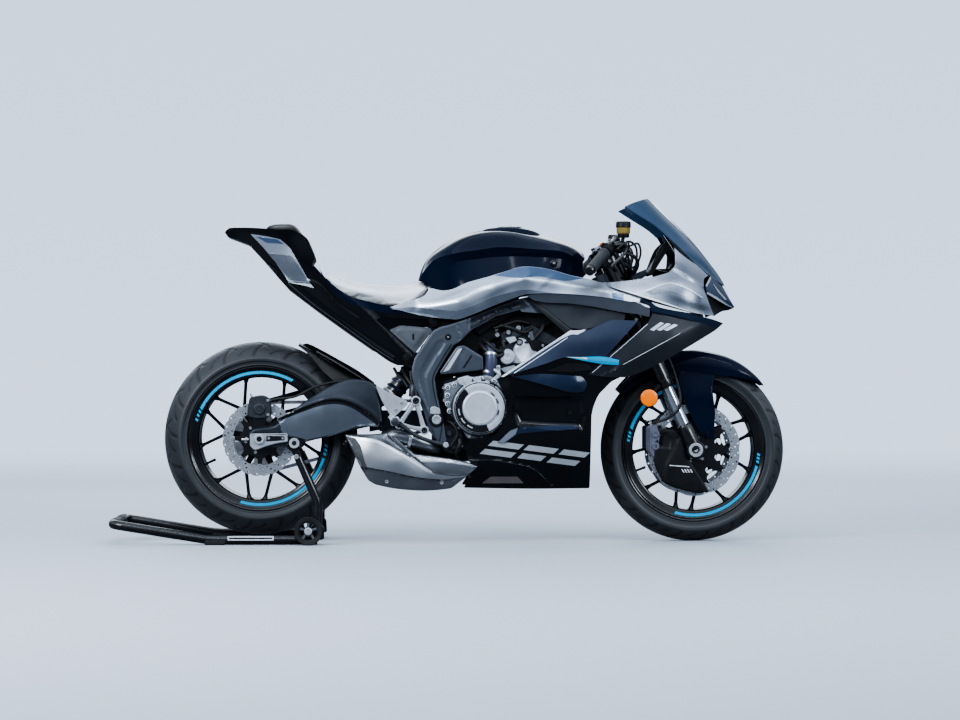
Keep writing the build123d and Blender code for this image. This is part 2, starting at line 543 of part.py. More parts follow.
CALIPER_OUT = -ARM_IN + SEAT_GAP
rear_caliper = prism(by_rear_axle((-39.5, 70), (-29.5, 135), (25.5, 135), (40.5, 75), (20.5, 57),
                                  (-19.5, 57)), CALIPER_OUT, -84)
rear_caliper -= across(REAR_AXLE_X, REAR_AXLE_Z, REAR_DISC_R + DISC_CLEAR, -REAR_DISC_Y - 8.0, -REAR_DISC_Y + 8.0)
rear_caliper -= across(REAR_AXLE_X, REAR_AXLE_Z, 112.0, -REAR_DISC_Y, -60.0)
rear_caliper += prism(by_rear_axle((-19.5, -15), (20.5, -15), (22.5, 65), (-21.5, 65)), CALIPER_OUT, -108.0)
rear_caliper -= across(REAR_AXLE_X, REAR_AXLE_Z, AXLE_R + SEAT_GAP, -200, 0)
keep("rear_caliper", max(rear_caliper.solids(), key=lambda solid: solid.volume))


# ---------------------------------------------------------------- chain
def chain_path(offset):
    """The chain's loop in the side view at an offset outside its pitch line, as (x, z) points."""
    r1, r2 = REAR_SPROCKET_PITCH_R + offset, FRONT_SPROCKET_PITCH_R + offset
    x1, z1, x2, z2 = REAR_AXLE_X, REAR_AXLE_Z, FRONT_SPROCKET_X, FRONT_SPROCKET_Z
    run = math.hypot(x2 - x1, z2 - z1)
    lean = math.atan2(z2 - z1, x2 - x1)
    open_angle = math.acos((REAR_SPROCKET_PITCH_R - FRONT_SPROCKET_PITCH_R) / run)
    points = []
    steps = 28
    for k in range(steps + 1):
        a = lean + open_angle + (2 * math.pi - 2 * open_angle) * k / steps
        points.append((x1 + r1 * math.cos(a), z1 + r1 * math.sin(a)))
    steps = 10
    for k in range(steps + 1):
        a = lean - open_angle + 2 * open_angle * k / steps
        points.append((x2 + r2 * math.cos(a), z2 + r2 * math.sin(a)))
    return points


def chain_band(y_low, y_high):
    """One row of chain side plates as a closed band."""
    return (prism(chain_path(CHAIN_HALF_HEIGHT), y_low, y_high)
            - prism(chain_path(-CHAIN_HALF_HEIGHT), y_low - 1, y_high + 1))


half_gap = CHAIN_GAP / 2
keep("chain", Compound(children=[chain_band(CHAIN_Y - half_gap - CHAIN_BAND, CHAIN_Y - half_gap),
                                 chain_band(CHAIN_Y + half_gap, CHAIN_Y + half_gap + CHAIN_BAND)]))

# ---------------------------------------------------------------- engine
CASE_RIGHT, CASE_LEFT = -100.0, 94.0
BANK_HALF = 118.0
CLUTCH_X, CLUTCH_Z = 97.0, 433.0
EXHAUST_FACE = ((236.0, 486.0), (350.0, 622.0))   # the head's exhaust face, low to high
crankcase = prism([(-30, 470), (-20, 520), (60, 545), (190, 545), (230, 470), (215, 360), (150, 300), (20, 300),
                   (-8, 340), (-12, 440)], CASE_RIGHT, CASE_LEFT)
bank = prism([(96, 540), (226, 688), (262, 700), (345, 655), EXHAUST_FACE[1], EXHAUST_FACE[0], (192, 540)],
             -BANK_HALF, BANK_HALF)
rear_lug = prism([(0, 326), (-58, 324), (-58, 366), (0, 370)], -40, 40)
rear_lug -= across(LOWER_TUBE_X, LOWER_TUBE_Z, LOWER_TUBE_R + SEAT_GAP, -100, 100)
output_boss = across(FRONT_SPROCKET_X, FRONT_SPROCKET_Z, FRONT_SPROCKET_PITCH_R - CHAIN_HALF_HEIGHT - 1.0,
                     CASE_LEFT - 4, CHAIN_Y + 8)
engine = crankcase + bank + rear_lug + output_boss
keep("engine_block", engine)
case_outline = [(-22, 512), (46, 534), (143, 538), (186, 500), (181, 400), (131, 345), (46, 340), (-11, 415)]
right_cover = prism(case_outline, CASE_RIGHT, CASE_RIGHT - 50)
right_cover += across(CLUTCH_X, CLUTCH_Z, 84, CASE_RIGHT - 49, CASE_RIGHT - 68)
right_cover += across(CLUTCH_X, CLUTCH_Z, 57, CASE_RIGHT - 67, CASE_RIGHT - 86)
left_cover = prism([(62, 512), (143, 538), (186, 500), (181, 400), (131, 345), (62, 345)], CASE_LEFT, CASE_LEFT + 34)
left_cover += across(130, 440, 66, CASE_LEFT + 33, CASE_LEFT + 62)
keep("engine_covers", Compound(children=[right_cover - bank, left_cover - bank]))
throttle = rod((128, 0, 704), (205, 0, 634), 22.0)
intake = prism([(84, 690), (116, 706), (190, 740), (232, 800), (60, 800), (30, 752)], -110, 110)
for k in (-1, 0, 1):
    intake += Pos(0, 78 * k, 0) * throttle
keep("intake", intake - bank)
box_outline = [(-30, 569), (12, 638), (39, 632), (103, 606), (87, 558), (-38, 556)]
side_box = prism(box_outline, -148, -119) - mirror(plate, about=Plane.XZ) - bank
keep("engine_side_box", max(side_box.solids(), key=lambda solid: solid.volume))
RADIATOR_HALF = 150.0
radiator = prism([(352, 390), (384, 390), (430, 600), (398, 600)], -RADIATOR_HALF, RADIATOR_HALF)
for y in (-100.0, 100.0):
    radiator += rod((413, y, 590), (385, y, 760), 7.0) - frame
radiator = max(radiator.solids(), key=lambda solid: solid.volume)


# ---------------------------------------------------------------- exhaust
PIPE_R = 17.0
(low_x, low_z), (high_x, high_z) = EXHAUST_FACE
face_len = math.hypot(high_x - low_x, high_z - low_z)
out_x, out_z = (high_z - low_z) / face_len, -(high_x - low_x) / face_len
port_x, port_z = (low_x + high_x) / 2, (low_z + high_z) / 2
header_pipes = None
for y in (-74.0, 0.0, 74.0):
    pipe = bent_tube([(port_x, y, port_z), (port_x + 46 * out_x, y, port_z + 46 * out_z), (312, y * 0.8, 400),
                      (262, y * 0.4 - 20, 262), (205, -50, 250)], PIPE_R, 38.0)
    header_pipes = pipe if header_pipes is None else header_pipes + pipe
header_pipes += bent_tube([(225, -50, 252), (150, -60, 244), (52, -114, 227)], 21.0, 60.0)

silencer_rows = (
    # x, z_low, z_high, y_in, y_out
    (-338, 330, 352, -150, -170),
    (-290, 250, 350, -90, -205),
    (-200, 195, 345, -60, -212),
    (-100, 182, 285, -50, -212),
    (0, 178, 262, -40, -205),
    (60, 205, 248, -60, -195),
)
rings = []
for x, z_low, z_high, y_in, y_out in silencer_rows:
    cham = min(14.0, (z_high - z_low) * 0.3)
    rings.append([(x, y_out, z_low + cham), (x, y_out, z_high - cham), (x, y_out + cham, z_high), (x, y_in, z_high),
                  (x, y_in, z_low), (x, y_out + cham, z_low)])
silencer = skin(rings)
keep("silencer", silencer)
keep("exhaust_headers", header_pipes - silencer)

# ---------------------------------------------------------------- tank, seat and tail
tank_rows = (
    # x, z_low, z_high, half, power
    (-100, 826, 858, 84, 2.6),
    (-60, 812, 930, 104, 2.6),
    (20, 812, 984, 128, 2.7),
    (90, 832, 1008, 146, 2.7),
    (150, 850, 1013.5, 156, 2.7),
    (240, 858, 1010, 158, 2.6),
    (300, 850, 986, 146, 2.6),
    (370, 846, 958, 118, 2.6),
    (430, 850, 915, 78, 2.6),
)
tank = skin([superellipse_ring(*row) for row in tank_rows])
keep("fuel_tank", tank)
CAP_X, CAP_R, CAP_LOW, CAP_HIGH = 195.0, 42.0, 1013.8, 1021.0
keep("fuel_cap", Pos(CAP_X, 0, CAP_LOW) * Cylinder(CAP_R, CAP_HIGH - CAP_LOW,
                                                  align=(Align.CENTER, Align.CENTER, Align.MIN)))

seat_line = (
    # x, top of the tail under the seat, top of the seat, half width
    (-412, 862, 870, 96),
    (-375, 821, 857, 112),
    (-331, 792, 840, 118),
    (-261, 773, 825, 116),
    (-198, 760, 820, 108),
    (-139, 752, 826, 98),
    (-104, 748, 824, 90),
)
seat = skin([superellipse_ring(x, under + SEAT_GAP, top, half, 3.2) for x, under, top, half in seat_line])
keep("rider_seat", seat)

TAIL_PLAN = [(-730, 40), (-690, 66), (-618, 88), (-500, 104), (-430, 110), (-330, 114), (-198, 112), (-100, 112)]
TAIL_UNDER = [(-100, 722), (-220, 726), (-243, 719), (-338, 682)]
tail_profile = [(-726, 1000), (-712, 1014), (-618, 1014), (-500, 1004), (-456, 980), (-434, 917), (-446, 898)]
tail_profile += [(x, under) for x, under, top, half in seat_line[:-1]] + [(-100, 747)] + TAIL_UNDER
tail_profile += [(-431, 749), (-518, 815), (-546, 844), (-598, 907), (-633, 947), (-647, 960), (-716, 986)]


def tail_plan(grow):
    """The tail's plan shape, wider on each side by grow."""
    return plan_prism([(x, y + grow) for x, y in TAIL_PLAN] + [(x, -y - grow) for x, y in reversed(TAIL_PLAN)],
                      500, 1100)


tail = prism(tail_profile, -200, 200) & tail_plan(0)
pad = skin([superellipse_ring(x, lo, hi, half, 3.5) for x, lo, hi, half in (
    (-592, 1002, 1026, 60), (-560, 1000, 1029, 78), (-510, 996, 1028, 84))])
BEAM_OUTLINE = TAIL_UNDER[::-1][:1] + [TAIL_UNDER[2], TAIL_UNDER[1], (-198, 690), (-128, 620), (-84, 590), (-84, 556),
                                       (-112, 556), (-150, 570), (-169, 571), (-194, 582), (-242, 615)]
SUB_IN, SUB_OUT = 80.0, 105.0
lower_beam = prism(BEAM_OUTLINE, SUB_IN, SUB_OUT)
upper_beam = prism([TAIL_UNDER[1], TAIL_UNDER[0], (-62, 721), (-28, 690), (-28, 664), (-54, 660), (-74, 702),
                    (-218, 704)], SUB_IN, SUB_OUT)
sub_side = lower_beam + upper_beam
for x, z, r in ((-40, 674, 9.0), (-100, 572, 10.0)):
    sub_side += across(x, z, r, SUB_OUT - 2, FRAME_IN)
subframe = sub_side + mirror(sub_side, about=Plane.XZ) + across(-235, 655, 12, -SUB_IN - 2, SUB_IN + 2)
keep("subframe", subframe)
skirt = prism([(-338, 682), (-243, 719), (-198, 682), (-128, 612), (-121, 595), (-135, 593), (-169, 571), (-194, 582),
               (-242, 615)], SUB_OUT, SUB_OUT + 6)
keep("tail_cowl", tail + pad + skirt + mirror(skirt, about=Plane.XZ))
side_cover = prism([(-190, 683), (-200, 704), (-72, 704), (-60, 684), (-112, 622)], SUB_OUT + SEAT_GAP, SUB_OUT + 5)
side_cover -= skirt
tail_panel = prism([(-640, 991), (-575, 949), (-509, 870), (-452, 850), (-503, 930), (-537, 972), (-618, 988)], 20, 200)
tail_panel = (tail_panel & tail_plan(3 + SEAT_GAP)) - tail_plan(SEAT_GAP)
keep("tail_trim", Compound(children=[side_cover, mirror(side_cover, about=Plane.XZ), tail_panel,
                                     mirror(tail_panel, about=Plane.XZ)]))

# ---------------------------------------------------------------- fairing panels
def grid_of(table):
    """A panel grid from rows of one x and its (z, y) points."""
    return [[(x, y, z) for z, y in points] for x, *points in table]


def grid_xzy(table):
    """A panel grid from rows of (x, z, y) points."""
    return [[(x, y, z) for x, z, y in row] for row in table]


band_rows = (
    # x, then low edge (z, y), middle (z, y), top edge (z, y)
    (-188, (752, 118), (757, 119), (763, 118)),
    (-120, (742, 126), (766, 128), (789, 112)),
    (-67, (733, 136), (775, 140), (815, 118)),
    (28, (716, 160), (770, 170), (822, 140)),
    (145, (767, 180), (815, 182), (864, 164)),
    (229, (798, 188), (842, 186), (884, 168)),
    (320, (801, 194), (838, 192), (874, 166)),
    (408, (796, 196), (824, 194), (852, 168)),
    (484, (786, 196), (810, 194), (834, 178)),
)
band = sheet(grid_of(band_rows), PANEL_WALL)

mid_rows = (
    # upper edge (x, z, y), middle, lower edge
    ((156, 534, 196), (170, 538, 200), (199, 544, 204)),
    ((268, 608, 196), (290, 580, 203), (300, 562, 206)),
    ((380, 682, 196), (384, 640, 203), (388, 598, 206)),
    ((432, 684, 196), (440, 642, 203), (446, 600, 206)),
    ((513, 716, 196), (504, 660, 202), (494, 600, 205)),
    ((590, 713, 196), (600, 660, 199), (600, 612, 201)),
)
mid = sheet(grid_xzy(mid_rows), PANEL_WALL)

belly_rows = (
    # top edge (x, z, y), then the side's levels, and the bottom edge
    ((205, 543, 204), (186, 430, 198), (150, 340, 188), (95, 250, 164), (52, 190, 130), (60, 174, 40)),
    ((300, 561, 206), (262, 430, 201), (240, 340, 190), (200, 250, 168), (180, 190, 132), (180, 174, 40)),
    ((388, 597.5, 206), (350, 430, 202), (340, 340, 190), (330, 250, 166), (320, 190, 130), (320, 174, 40)),
    ((494, 598, 205), (455, 438, 198), (448, 340, 184), (448, 250, 160), (448, 190, 124), (448, 174, 40)),
)
belly = sheet(grid_xzy(belly_rows), PANEL_WALL)

duct_rows = (
    # upper edge (x, z, y), crease, lower edge
    ((436, 542, 210.5), (438, 541, 211), (440, 540, 210.5)),
    ((500, 600, 211), (530, 566, 216), (561, 532, 210)),
    ((612, 700, 208), (640, 640, 216), (640, 562, 208)),
    ((645, 742, 202), (690, 680, 210), (726, 610, 198)),
    ((740, 728, 182), (770, 690, 188), (800, 654, 172)),
    ((870, 706, 128), (866, 698, 130), (856, 684, 126)),
)
duct = sheet(grid_xzy(duct_rows), PANEL_WALL)

nose_rows = (
    # x, then from the low edge up: (z, y) four times
    (484.5, (786, 196), (802, 195), (818, 190), (834, 178)),
    (598, (768, 199), (794, 201), (820, 196), (845, 182)),
    (655, (756, 199), (790, 202), (824, 196), (856, 180)),
    (708, (745, 192), (788, 198), (832, 190), (870, 172)),
    (735, (740, 184), (794, 190), (850, 172), (944, 136)),
    (790, (734, 166), (786, 172), (840, 156), (900, 120)),
    (835, (729, 140), (780, 150), (820, 136), (860, 104)),
)
cheek = sheet(grid_of(nose_rows), PANEL_WALL)

screen_rows = (
    # middle line (x, y, z), shoulder, edge
    ((655, 0, 1112), (632, 92, 1100), (561, 128, 1081)),
    ((712, 0, 1056), (700, 96, 1042), (660, 130, 1018)),
    ((765, 0, 1004), (752, 96, 988), (712, 131, 968)),
    ((829, 0, 932), (812, 88, 915), (745, 131.6, 936)),
    ((890, 0, 845), (868, 60, 852), (835.6, 99, 860)),
)
screen_grid = []
for centre, shoulder, edge in screen_rows:
    other = [(x, -y, z) for x, y, z in (shoulder, edge)]
    screen_grid.append([edge, shoulder, centre, *other])
screen = sheet(screen_grid, 3.0, inward=(-1, 0, -1))

lamp_rows = (
    # x, z_low, z_high, half
    (835.3, 731, 850, 145),
    (865, 738, 826, 114),
    (900, 748, 788, 74),
    (928, 758, 764, 20),
)
lamp = skin([superellipse_ring(x, lo, hi, half, 3.4) for x, lo, hi, half in lamp_rows])


def studs(panel, places, y_from, radius=7.0):
    """Mounting studs from y_from out to a panel's inner face, each (x, z)."""
    made = []
    for x, z in places:
        pieces = (across(x, z, radius, y_from, 240) - panel).solids()
        made.append(min(pieces, key=lambda solid: solid.center().Y))
    return made


# Each panel is held by studs that end on its inner face, or by the panel behind it.
frame_studs = studs(band, ((338, 808),), 108, 5.0)
keep("side_bands", both(band))
keep("nose_cowl", both(cheek))
keep("windscreen", screen - cheek - mirror(cheek, about=Plane.XZ))
keep("headlamps", lamp - screen)
belly_stud = studs(belly, ((400, 480), (380, 420)), RADIATOR_HALF - 2)
for stud in belly_stud:
    radiator += stud + mirror(stud, about=Plane.XZ)
keep("radiator", radiator)
keep("mid_panels", both(mid))
keep("belly_panels", both(belly))
duct_block = across(565, 634, 7.0, 150, 250) - mid - duct
duct += sorted(duct_block.solids(), key=lambda solid: solid.center().Y)[1]
keep("duct_panels", both(duct))
nose_beam = studs(cheek, ((690, 800),), 60) + [across(690, 800, 7.0, 0, 62)]
dash = prism([(640, 868), (652, 862), (716, 962), (704, 970)], -90, 90)
dash += prism([(660, 790), (705, 790), (705, 884), (664, 884)], -30, 30)
dash += prism([(668, 872), (740, 872), (740, 884), (676, 884)], -40, 40)
dash += prism([(700, 800), (835.3, 790), (835.3, 806), (700, 816)], -20, 20)
for piece in nose_beam:
    dash += piece + mirror(piece, about=Plane.XZ)
dash = dash - frame
keep("dash_display", max(dash.solids(), key=lambda solid: solid.volume))
for stud in frame_studs:
    frame += stud + mirror(stud, about=Plane.XZ)
tank_rest = Pos(320, 0, 820) * Box(24, 230, 80) - tank
frame += min(tank_rest.solids(), key=lambda solid: solid.center().Z)
keep("main_frame", frame)

# ---------------------------------------------------------------- footrests
PEG_X, PEG_Z, PEG_R = -178.0, 392.0, 12.0
HANGER_WALL = 8.0
hanger = prism([(-239, 498), (-131, 466), (-108, 474), (-85, 455), (-60, 352), (-90, 345), (-154, 387), (-193, 370),
                (-205, 421)], FRAME_OUT, FRAME_OUT + HANGER_WALL)
hanger += across(PEG_X, PEG_Z, PEG_R, FRAME_OUT, 262)
bolt_clear = across(PIVOT_X, PIVOT_Z, PIVOT_BOLT_R + SEAT_GAP, FRAME_OUT - 10, FRAME_OUT + 20)
bolt_clear += across(SLIDER_X, SLIDER_Z, SLIDER_R, 100, 200)
keep("footrest_hangers", both(hanger - bolt_clear))

# ---------------------------------------------------------------- side stand
STAND_LEG_Y = FRAME_IN + 22.0
side_stand = across(SIDE_STAND_X, SIDE_STAND_Z, 14, FRAME_IN + 12 + SEAT_GAP, FRAME_IN + 30)
side_stand += rod((SIDE_STAND_X, STAND_LEG_Y, SIDE_STAND_Z), (SIDE_STAND_X - 240, STAND_LEG_Y + 24, SIDE_STAND_Z - 22),
                  9.0)
side_stand += rod((SIDE_STAND_X - 238, STAND_LEG_Y + 24, SIDE_STAND_Z - 22),
                  (SIDE_STAND_X - 252, STAND_LEG_Y + 52, SIDE_STAND_Z - 46), 8.0)
side_stand -= across(SIDE_STAND_X, SIDE_STAND_Z, SIDE_STAND_PIN_R + SEAT_GAP, FRAME_IN, FRAME_IN + 50)
keep("side_stand", side_stand)

# ---------------------------------------------------------------- paddock stand
HANDLE_X = FRONT_AXLE_X + FRONT_TYRE_R - OVERALL_LENGTH + STAND_TUBE_R
UPRIGHT_X = BOBBIN_X + 75.0
PAD_X = BOBBIN_X - 250.0
ROLLER_PIN_R = 8.0
PAD_HIGH = 4.0
FLOOR_TUBE_Z = STAND_TUBE_R + 1.5
stand_side = bent_tube([(HANDLE_X, 0, 66), (HANDLE_X, 190, 64), (PAD_X - 26, STAND_HALF, FLOOR_TUBE_Z),
                        (UPRIGHT_X, STAND_HALF, FLOOR_TUBE_Z), (UPRIGHT_X, STAND_HALF, 140),
                        (BOBBIN_X + 11, STAND_HALF, BOBBIN_Z - 36)], STAND_TUBE_R, 34.0)
stand = stand_side + mirror(stand_side, about=Plane.XZ)
for side in (-1, 1):
    floor_z = BOBBIN_Z - BOBBIN_R - SEAT_GAP
    cradle_low, cradle_high = BOBBIN_Z - 60, BOBBIN_Z + 8
    cradle = prism([(BOBBIN_X - 21, cradle_low), (BOBBIN_X + 29, cradle_low), (BOBBIN_X + 33, cradle_high),
                    (BOBBIN_X + 21, cradle_high), (BOBBIN_X + 15, floor_z), (BOBBIN_X - 15, floor_z),
                    (BOBBIN_X - 21, cradle_high), (BOBBIN_X - 33, cradle_high)],
                   side * (ARM_OUT + 3), side * (ARM_OUT + 17))
    cradle -= across(BOBBIN_X, BOBBIN_Z, BOBBIN_R, -200, 200)
    stand += cradle
    stand += across(BOBBIN_X + 9, BOBBIN_Z - 42, 14, side * (ARM_OUT + 3), side * (STAND_HALF + 15))
    stand += across(ROLLER_X, ROLLER_R, ROLLER_PIN_R, side * (STAND_HALF - 5), side * (STAND_HALF + 58))
    stand += across(ROLLER_X, ROLLER_R, 20, side * (STAND_HALF - 12), side * (STAND_HALF + 20))
    stand += prism([(PAD_X - 31, 0), (PAD_X + 31, 0), (PAD_X + 31, 12), (PAD_X - 31, 12)],
                   side * (STAND_HALF - 11), side * (STAND_HALF + 11))
keep("paddock_stand", stand)
for name, side in (("stand_roller_left", 1), ("stand_roller_right", -1)):
    inner, outer = side * (STAND_HALF + 20 + SEAT_GAP), side * (STAND_HALF + 20 + SEAT_GAP + ROLLER_W)
    roller = across(ROLLER_X, ROLLER_R, ROLLER_R, inner, outer)
    keep(name, roller - across(ROLLER_X, ROLLER_R, ROLLER_PIN_R + AXLE_BORE_GAP, -300, 300))
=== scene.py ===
"""A fully faired sport motorcycle on a rear paddock stand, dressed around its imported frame.

Tables are in millimetres in the frame's own axes: x forward, y to the rider's left, z up. A
side-view point is (x, z), and a half-width is measured out from the middle plane, so both sides
share one table.
"""
from __future__ import annotations

import logging
import math
from dataclasses import dataclass, field, replace
from enum import Enum
from typing import Iterable, Mapping, Sequence

import bpy
import numpy as np
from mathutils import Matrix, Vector
from mathutils.geometry import delaunay_2d_cdt


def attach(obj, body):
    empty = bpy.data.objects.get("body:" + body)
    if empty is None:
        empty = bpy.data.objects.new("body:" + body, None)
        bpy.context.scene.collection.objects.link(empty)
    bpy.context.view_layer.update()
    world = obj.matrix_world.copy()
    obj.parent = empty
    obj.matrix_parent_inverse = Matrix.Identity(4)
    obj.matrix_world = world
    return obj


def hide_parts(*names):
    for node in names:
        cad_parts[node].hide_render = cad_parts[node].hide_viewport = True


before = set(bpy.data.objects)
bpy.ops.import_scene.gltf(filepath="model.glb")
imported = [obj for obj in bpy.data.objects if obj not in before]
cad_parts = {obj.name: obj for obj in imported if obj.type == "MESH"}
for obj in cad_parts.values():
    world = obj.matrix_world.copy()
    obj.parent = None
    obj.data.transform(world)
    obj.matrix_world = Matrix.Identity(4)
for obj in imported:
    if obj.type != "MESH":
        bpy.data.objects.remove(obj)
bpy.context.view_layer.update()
LOG = logging.getLogger("motorcycle")

MM = 0.001
TINY = 1e-9
SHARP_DEGREES = 32.0
Colour = tuple[float, float, float]
Flat = tuple[float, ...]
Place = tuple[float, float, float]
RIGHT: Place = (0, -1, 0)
LEFT: Place = (0, 1, 0)
UP: Place = (0, 0, 1)
RAKE = math.radians(24.5)
FRONT_AXLE = (789.5, 298.0)
REAR_AXLE = (-610.5, 335.0)
BOBBIN = (-499.0, 322.0)


# ---------------------------------------------------------------- nodes and objects
def feed(tree: bpy.types.NodeTree, node: bpy.types.Node,
         inputs: Mapping[str | int, object]) -> None:
    """Sets a node's inputs.

    Args:
        tree: The node's tree.
        node: The node.
        inputs: For each input a value, or the socket that it is linked to.
    """
    for key, value in inputs.items():
        if isinstance(value, bpy.types.NodeSocket):
            tree.links.new(value, node.inputs[key])
        else:
            node.inputs[key].default_value = value


def wired(tree: bpy.types.NodeTree, kind: str, inputs: Mapping[str | int, object] | None = None,
          **settings: object) -> bpy.types.Node:
    """Adds a node.

    Args:
        tree: The tree that it goes in.
        kind: Its type.
        inputs: Its inputs, as feed reads them.
        settings: Its properties, set before its inputs.

    Returns:
        The node.
    """
    made = tree.nodes.new(kind)
    for key, value in settings.items():
        setattr(made, key, value)
    feed(tree, made, inputs or {})
    return made


def placed(name: str, data: bpy.types.ID) -> bpy.types.Object:
    """Makes an object and links it to the scene.

    Args:
        name: Its name.
        data: Its mesh, light or camera.

    Returns:
        The object.
    """
    made = bpy.data.objects.new(name, data)
    bpy.context.scene.collection.objects.link(made)
    return made


def turns(count: int) -> list[float]:
    """Evenly spaced angles round a whole turn, in radians."""
    return [2 * math.pi * k / count for k in range(count)]


# ---------------------------------------------------------------- finishes
class Pattern(Enum):
    """The fine surface texture that a finish carries."""

    FLAKE = "flake"
    GRAIN = "grain"
    CAST = "cast"
    DRAWN = "drawn"
    TURNED = "turned"
    RUBBER = "rubber"
    LEATHER = "leather"
    CLEAR = "clear"
    MESH = "mesh"


@dataclass(frozen=True)
class Finish:
    """One surface finish, made as a node material when it is first used.

    The colour drifts to its accent over drift_mm, roughness wanders between its two values, and the
    pattern gives a bump of bump_mm at a grain of grain_mm. Where the mesh holds the point attribute
    that mask names, the colour turns to masked: painted shade, in the darker patches that shaded
    writes and in the tyre's tread cuts.
    """

    name: str
    slot: str
    colour: Colour
    accent: Colour
    metallic: float
    roughness: tuple[float, float]
    pattern: Pattern
    grain_mm: float = 1.0
    bump_mm: float = 0.05
    drift_mm: float = 60.0
    coat: float = 0.0
    alpha: float = 1.0
    centre: Place = (0.0, 0.0, 0.0)
    sheen: float = 0.0
    specular: float = 0.5
    mask: str = ""
    masked: Colour = (0.0, 0.0, 0.0)

    def material(self) -> bpy.types.Material:
        """Gives the finish's material, made once.

        Returns:
            The Blender material with its node tree.
        """
        known = bpy.data.materials.get(self.name)
        if known:
            return known
        made = bpy.data.materials.new(self.name)
        made.use_nodes = True
        tree = made.node_tree
        shader = tree.nodes["Principled BSDF"]
        where = wired(tree, "ShaderNodeTexCoord").outputs["Object"]
        mapping = wired(tree, "ShaderNodeMapping", {
            "Location": tuple(-c * MM for c in self.centre), "Vector": where}).outputs["Vector"]
        drift = wired(tree, "ShaderNodeMapRange", {
            "From Min": 0.3, "From Max": 0.7,
            "Value": self._noise(tree, mapping, self.drift_mm, 5.0)})
        colour = self._mixed(tree, drift.outputs["Result"], (*self.colour, 1.0),
                             (*self.accent, 1.0))
        if self.mask:
            stored = wired(tree, "ShaderNodeAttribute", attribute_name=self.mask)
            colour = self._mixed(tree, stored.outputs["Fac"], colour, (*self.masked, 1.0))
        rough = wired(tree, "ShaderNodeMapRange", {
            "To Min": self.roughness[0], "To Max": self.roughness[1],
            "Value": self._noise(tree, mapping, self.drift_mm * 0.35, 3.0)})
        bump = wired(tree, "ShaderNodeBump", {
            "Distance": self.bump_mm * MM, "Strength": 1.0, "Height": self._height(tree, mapping)})
        feed(tree, shader, {
            "Base Color": colour, "Roughness": rough.outputs["Result"],
            "Normal": bump.outputs["Normal"], "Metallic": self.metallic, "Coat Weight": self.coat,
            "Coat Roughness": 0.04, "Alpha": self.alpha, "Sheen Weight": self.sheen,
            "Specular IOR Level": self.specular})
        return made

    @staticmethod
    def _mixed(tree: bpy.types.NodeTree, share: bpy.types.NodeSocket, first: object,
               second: object) -> bpy.types.NodeSocket:
        """Adds a mix of two colours.

        Args:
            tree: The material's node tree.
            share: The socket that gives how much of the second colour there is.
            first: The first colour, or its socket.
            second: The second colour.

        Returns:
            The socket that holds the mixed colour.
        """
        return wired(tree, "ShaderNodeMix", {"Factor": share, "A": first, "B": second},
                     data_type="RGBA").outputs["Result"]

    @staticmethod
    def _noise(tree: bpy.types.NodeTree, mapping: bpy.types.NodeSocket, size_mm: float,
               detail: float) -> bpy.types.NodeSocket:
        """Adds a noise texture whose features are about size_mm across.

        Args:
            tree: The material's node tree.
            mapping: The socket that gives the coordinates.
            size_mm: The size of a feature.
            detail: How many finer octaves it has.

        Returns:
            The socket that holds the noise.
        """
        return wired(tree, "ShaderNodeTexNoise", {
            "Scale": 1.0 / (size_mm * MM), "Detail": detail, "Vector": mapping}).outputs["Fac"]

    def _height(self, tree: bpy.types.NodeTree,
                mapping: bpy.types.NodeSocket) -> bpy.types.NodeSocket:
        """Adds the nodes of this finish's pattern.

        Args:
            tree: The material's node tree.
            mapping: The socket that gives the coordinates.

        Returns:
            The socket that holds the pattern's height.
        """
        if self.pattern in (Pattern.LEATHER, Pattern.GRAIN, Pattern.MESH):
            feature = "DISTANCE_TO_EDGE" if self.pattern is Pattern.LEATHER else "F1"
            return wired(tree, "ShaderNodeTexVoronoi",
                         {"Scale": 1.0 / (self.grain_mm * MM), "Vector": mapping},
                         feature=feature).outputs["Distance"]
        if self.pattern is Pattern.DRAWN:
            stretch = wired(tree, "ShaderNodeMapping",
                            {"Scale": (0.02, 1.0, 1.0), "Vector": mapping})
            return self._noise(tree, stretch.outputs["Vector"], self.grain_mm, 3.0)
        if self.pattern is Pattern.TURNED:
            return wired(tree, "ShaderNodeTexWave", {
                "Scale": 0.3 / (self.grain_mm * MM), "Distortion": 1.5, "Vector": mapping},
                wave_type="RINGS", rings_direction="Y").outputs["Fac"]
        return self._noise(tree, mapping, self.grain_mm, 4.0)

    def tinted(self, name: str, colour: Colour, accent: Colour, **changes: object) -> "Finish":
        """The same finish under another name, in other colours and with any other changes."""
        return replace(self, name=name, colour=colour, accent=accent, **changes)


NAVY = Finish("navy_lacquer", "navy_paint", (0.003, 0.006, 0.016), (0.004, 0.008, 0.021), 0.0,
              (0.09, 0.13), Pattern.FLAKE, 0.5, 0.0008, 90.0, coat=0.03, specular=0.08)
NAVY_SATIN = Finish("navy_metallic", "navy_paint", (0.007, 0.015, 0.036), (0.010, 0.021, 0.048),
                    0.25, (0.26, 0.34), Pattern.FLAKE, 0.5, 0.001, 90.0, coat=0.25, specular=0.3)
BLACK_GLOSS = Finish("black_lacquer", "black_gloss", (0.002, 0.0026, 0.0038),
                     (0.003, 0.0038, 0.0055), 0.0, (0.09, 0.14), Pattern.FLAKE, 0.8, 0.0015, 120.0,
                     coat=0.18, specular=0.25)
# The shade mask darkens the silver paint where shaded writes patches: painted shade, the darker
# streaks of its reflections.
SILVER = Finish("silver_paint_flake", "silver_paint", (0.37, 0.41, 0.475), (0.42, 0.46, 0.53), 0.88,
                (0.26, 0.32), Pattern.FLAKE, 0.5, 0.0008, 80.0, coat=0.2, mask="shade",
                masked=(0.085, 0.10, 0.128))
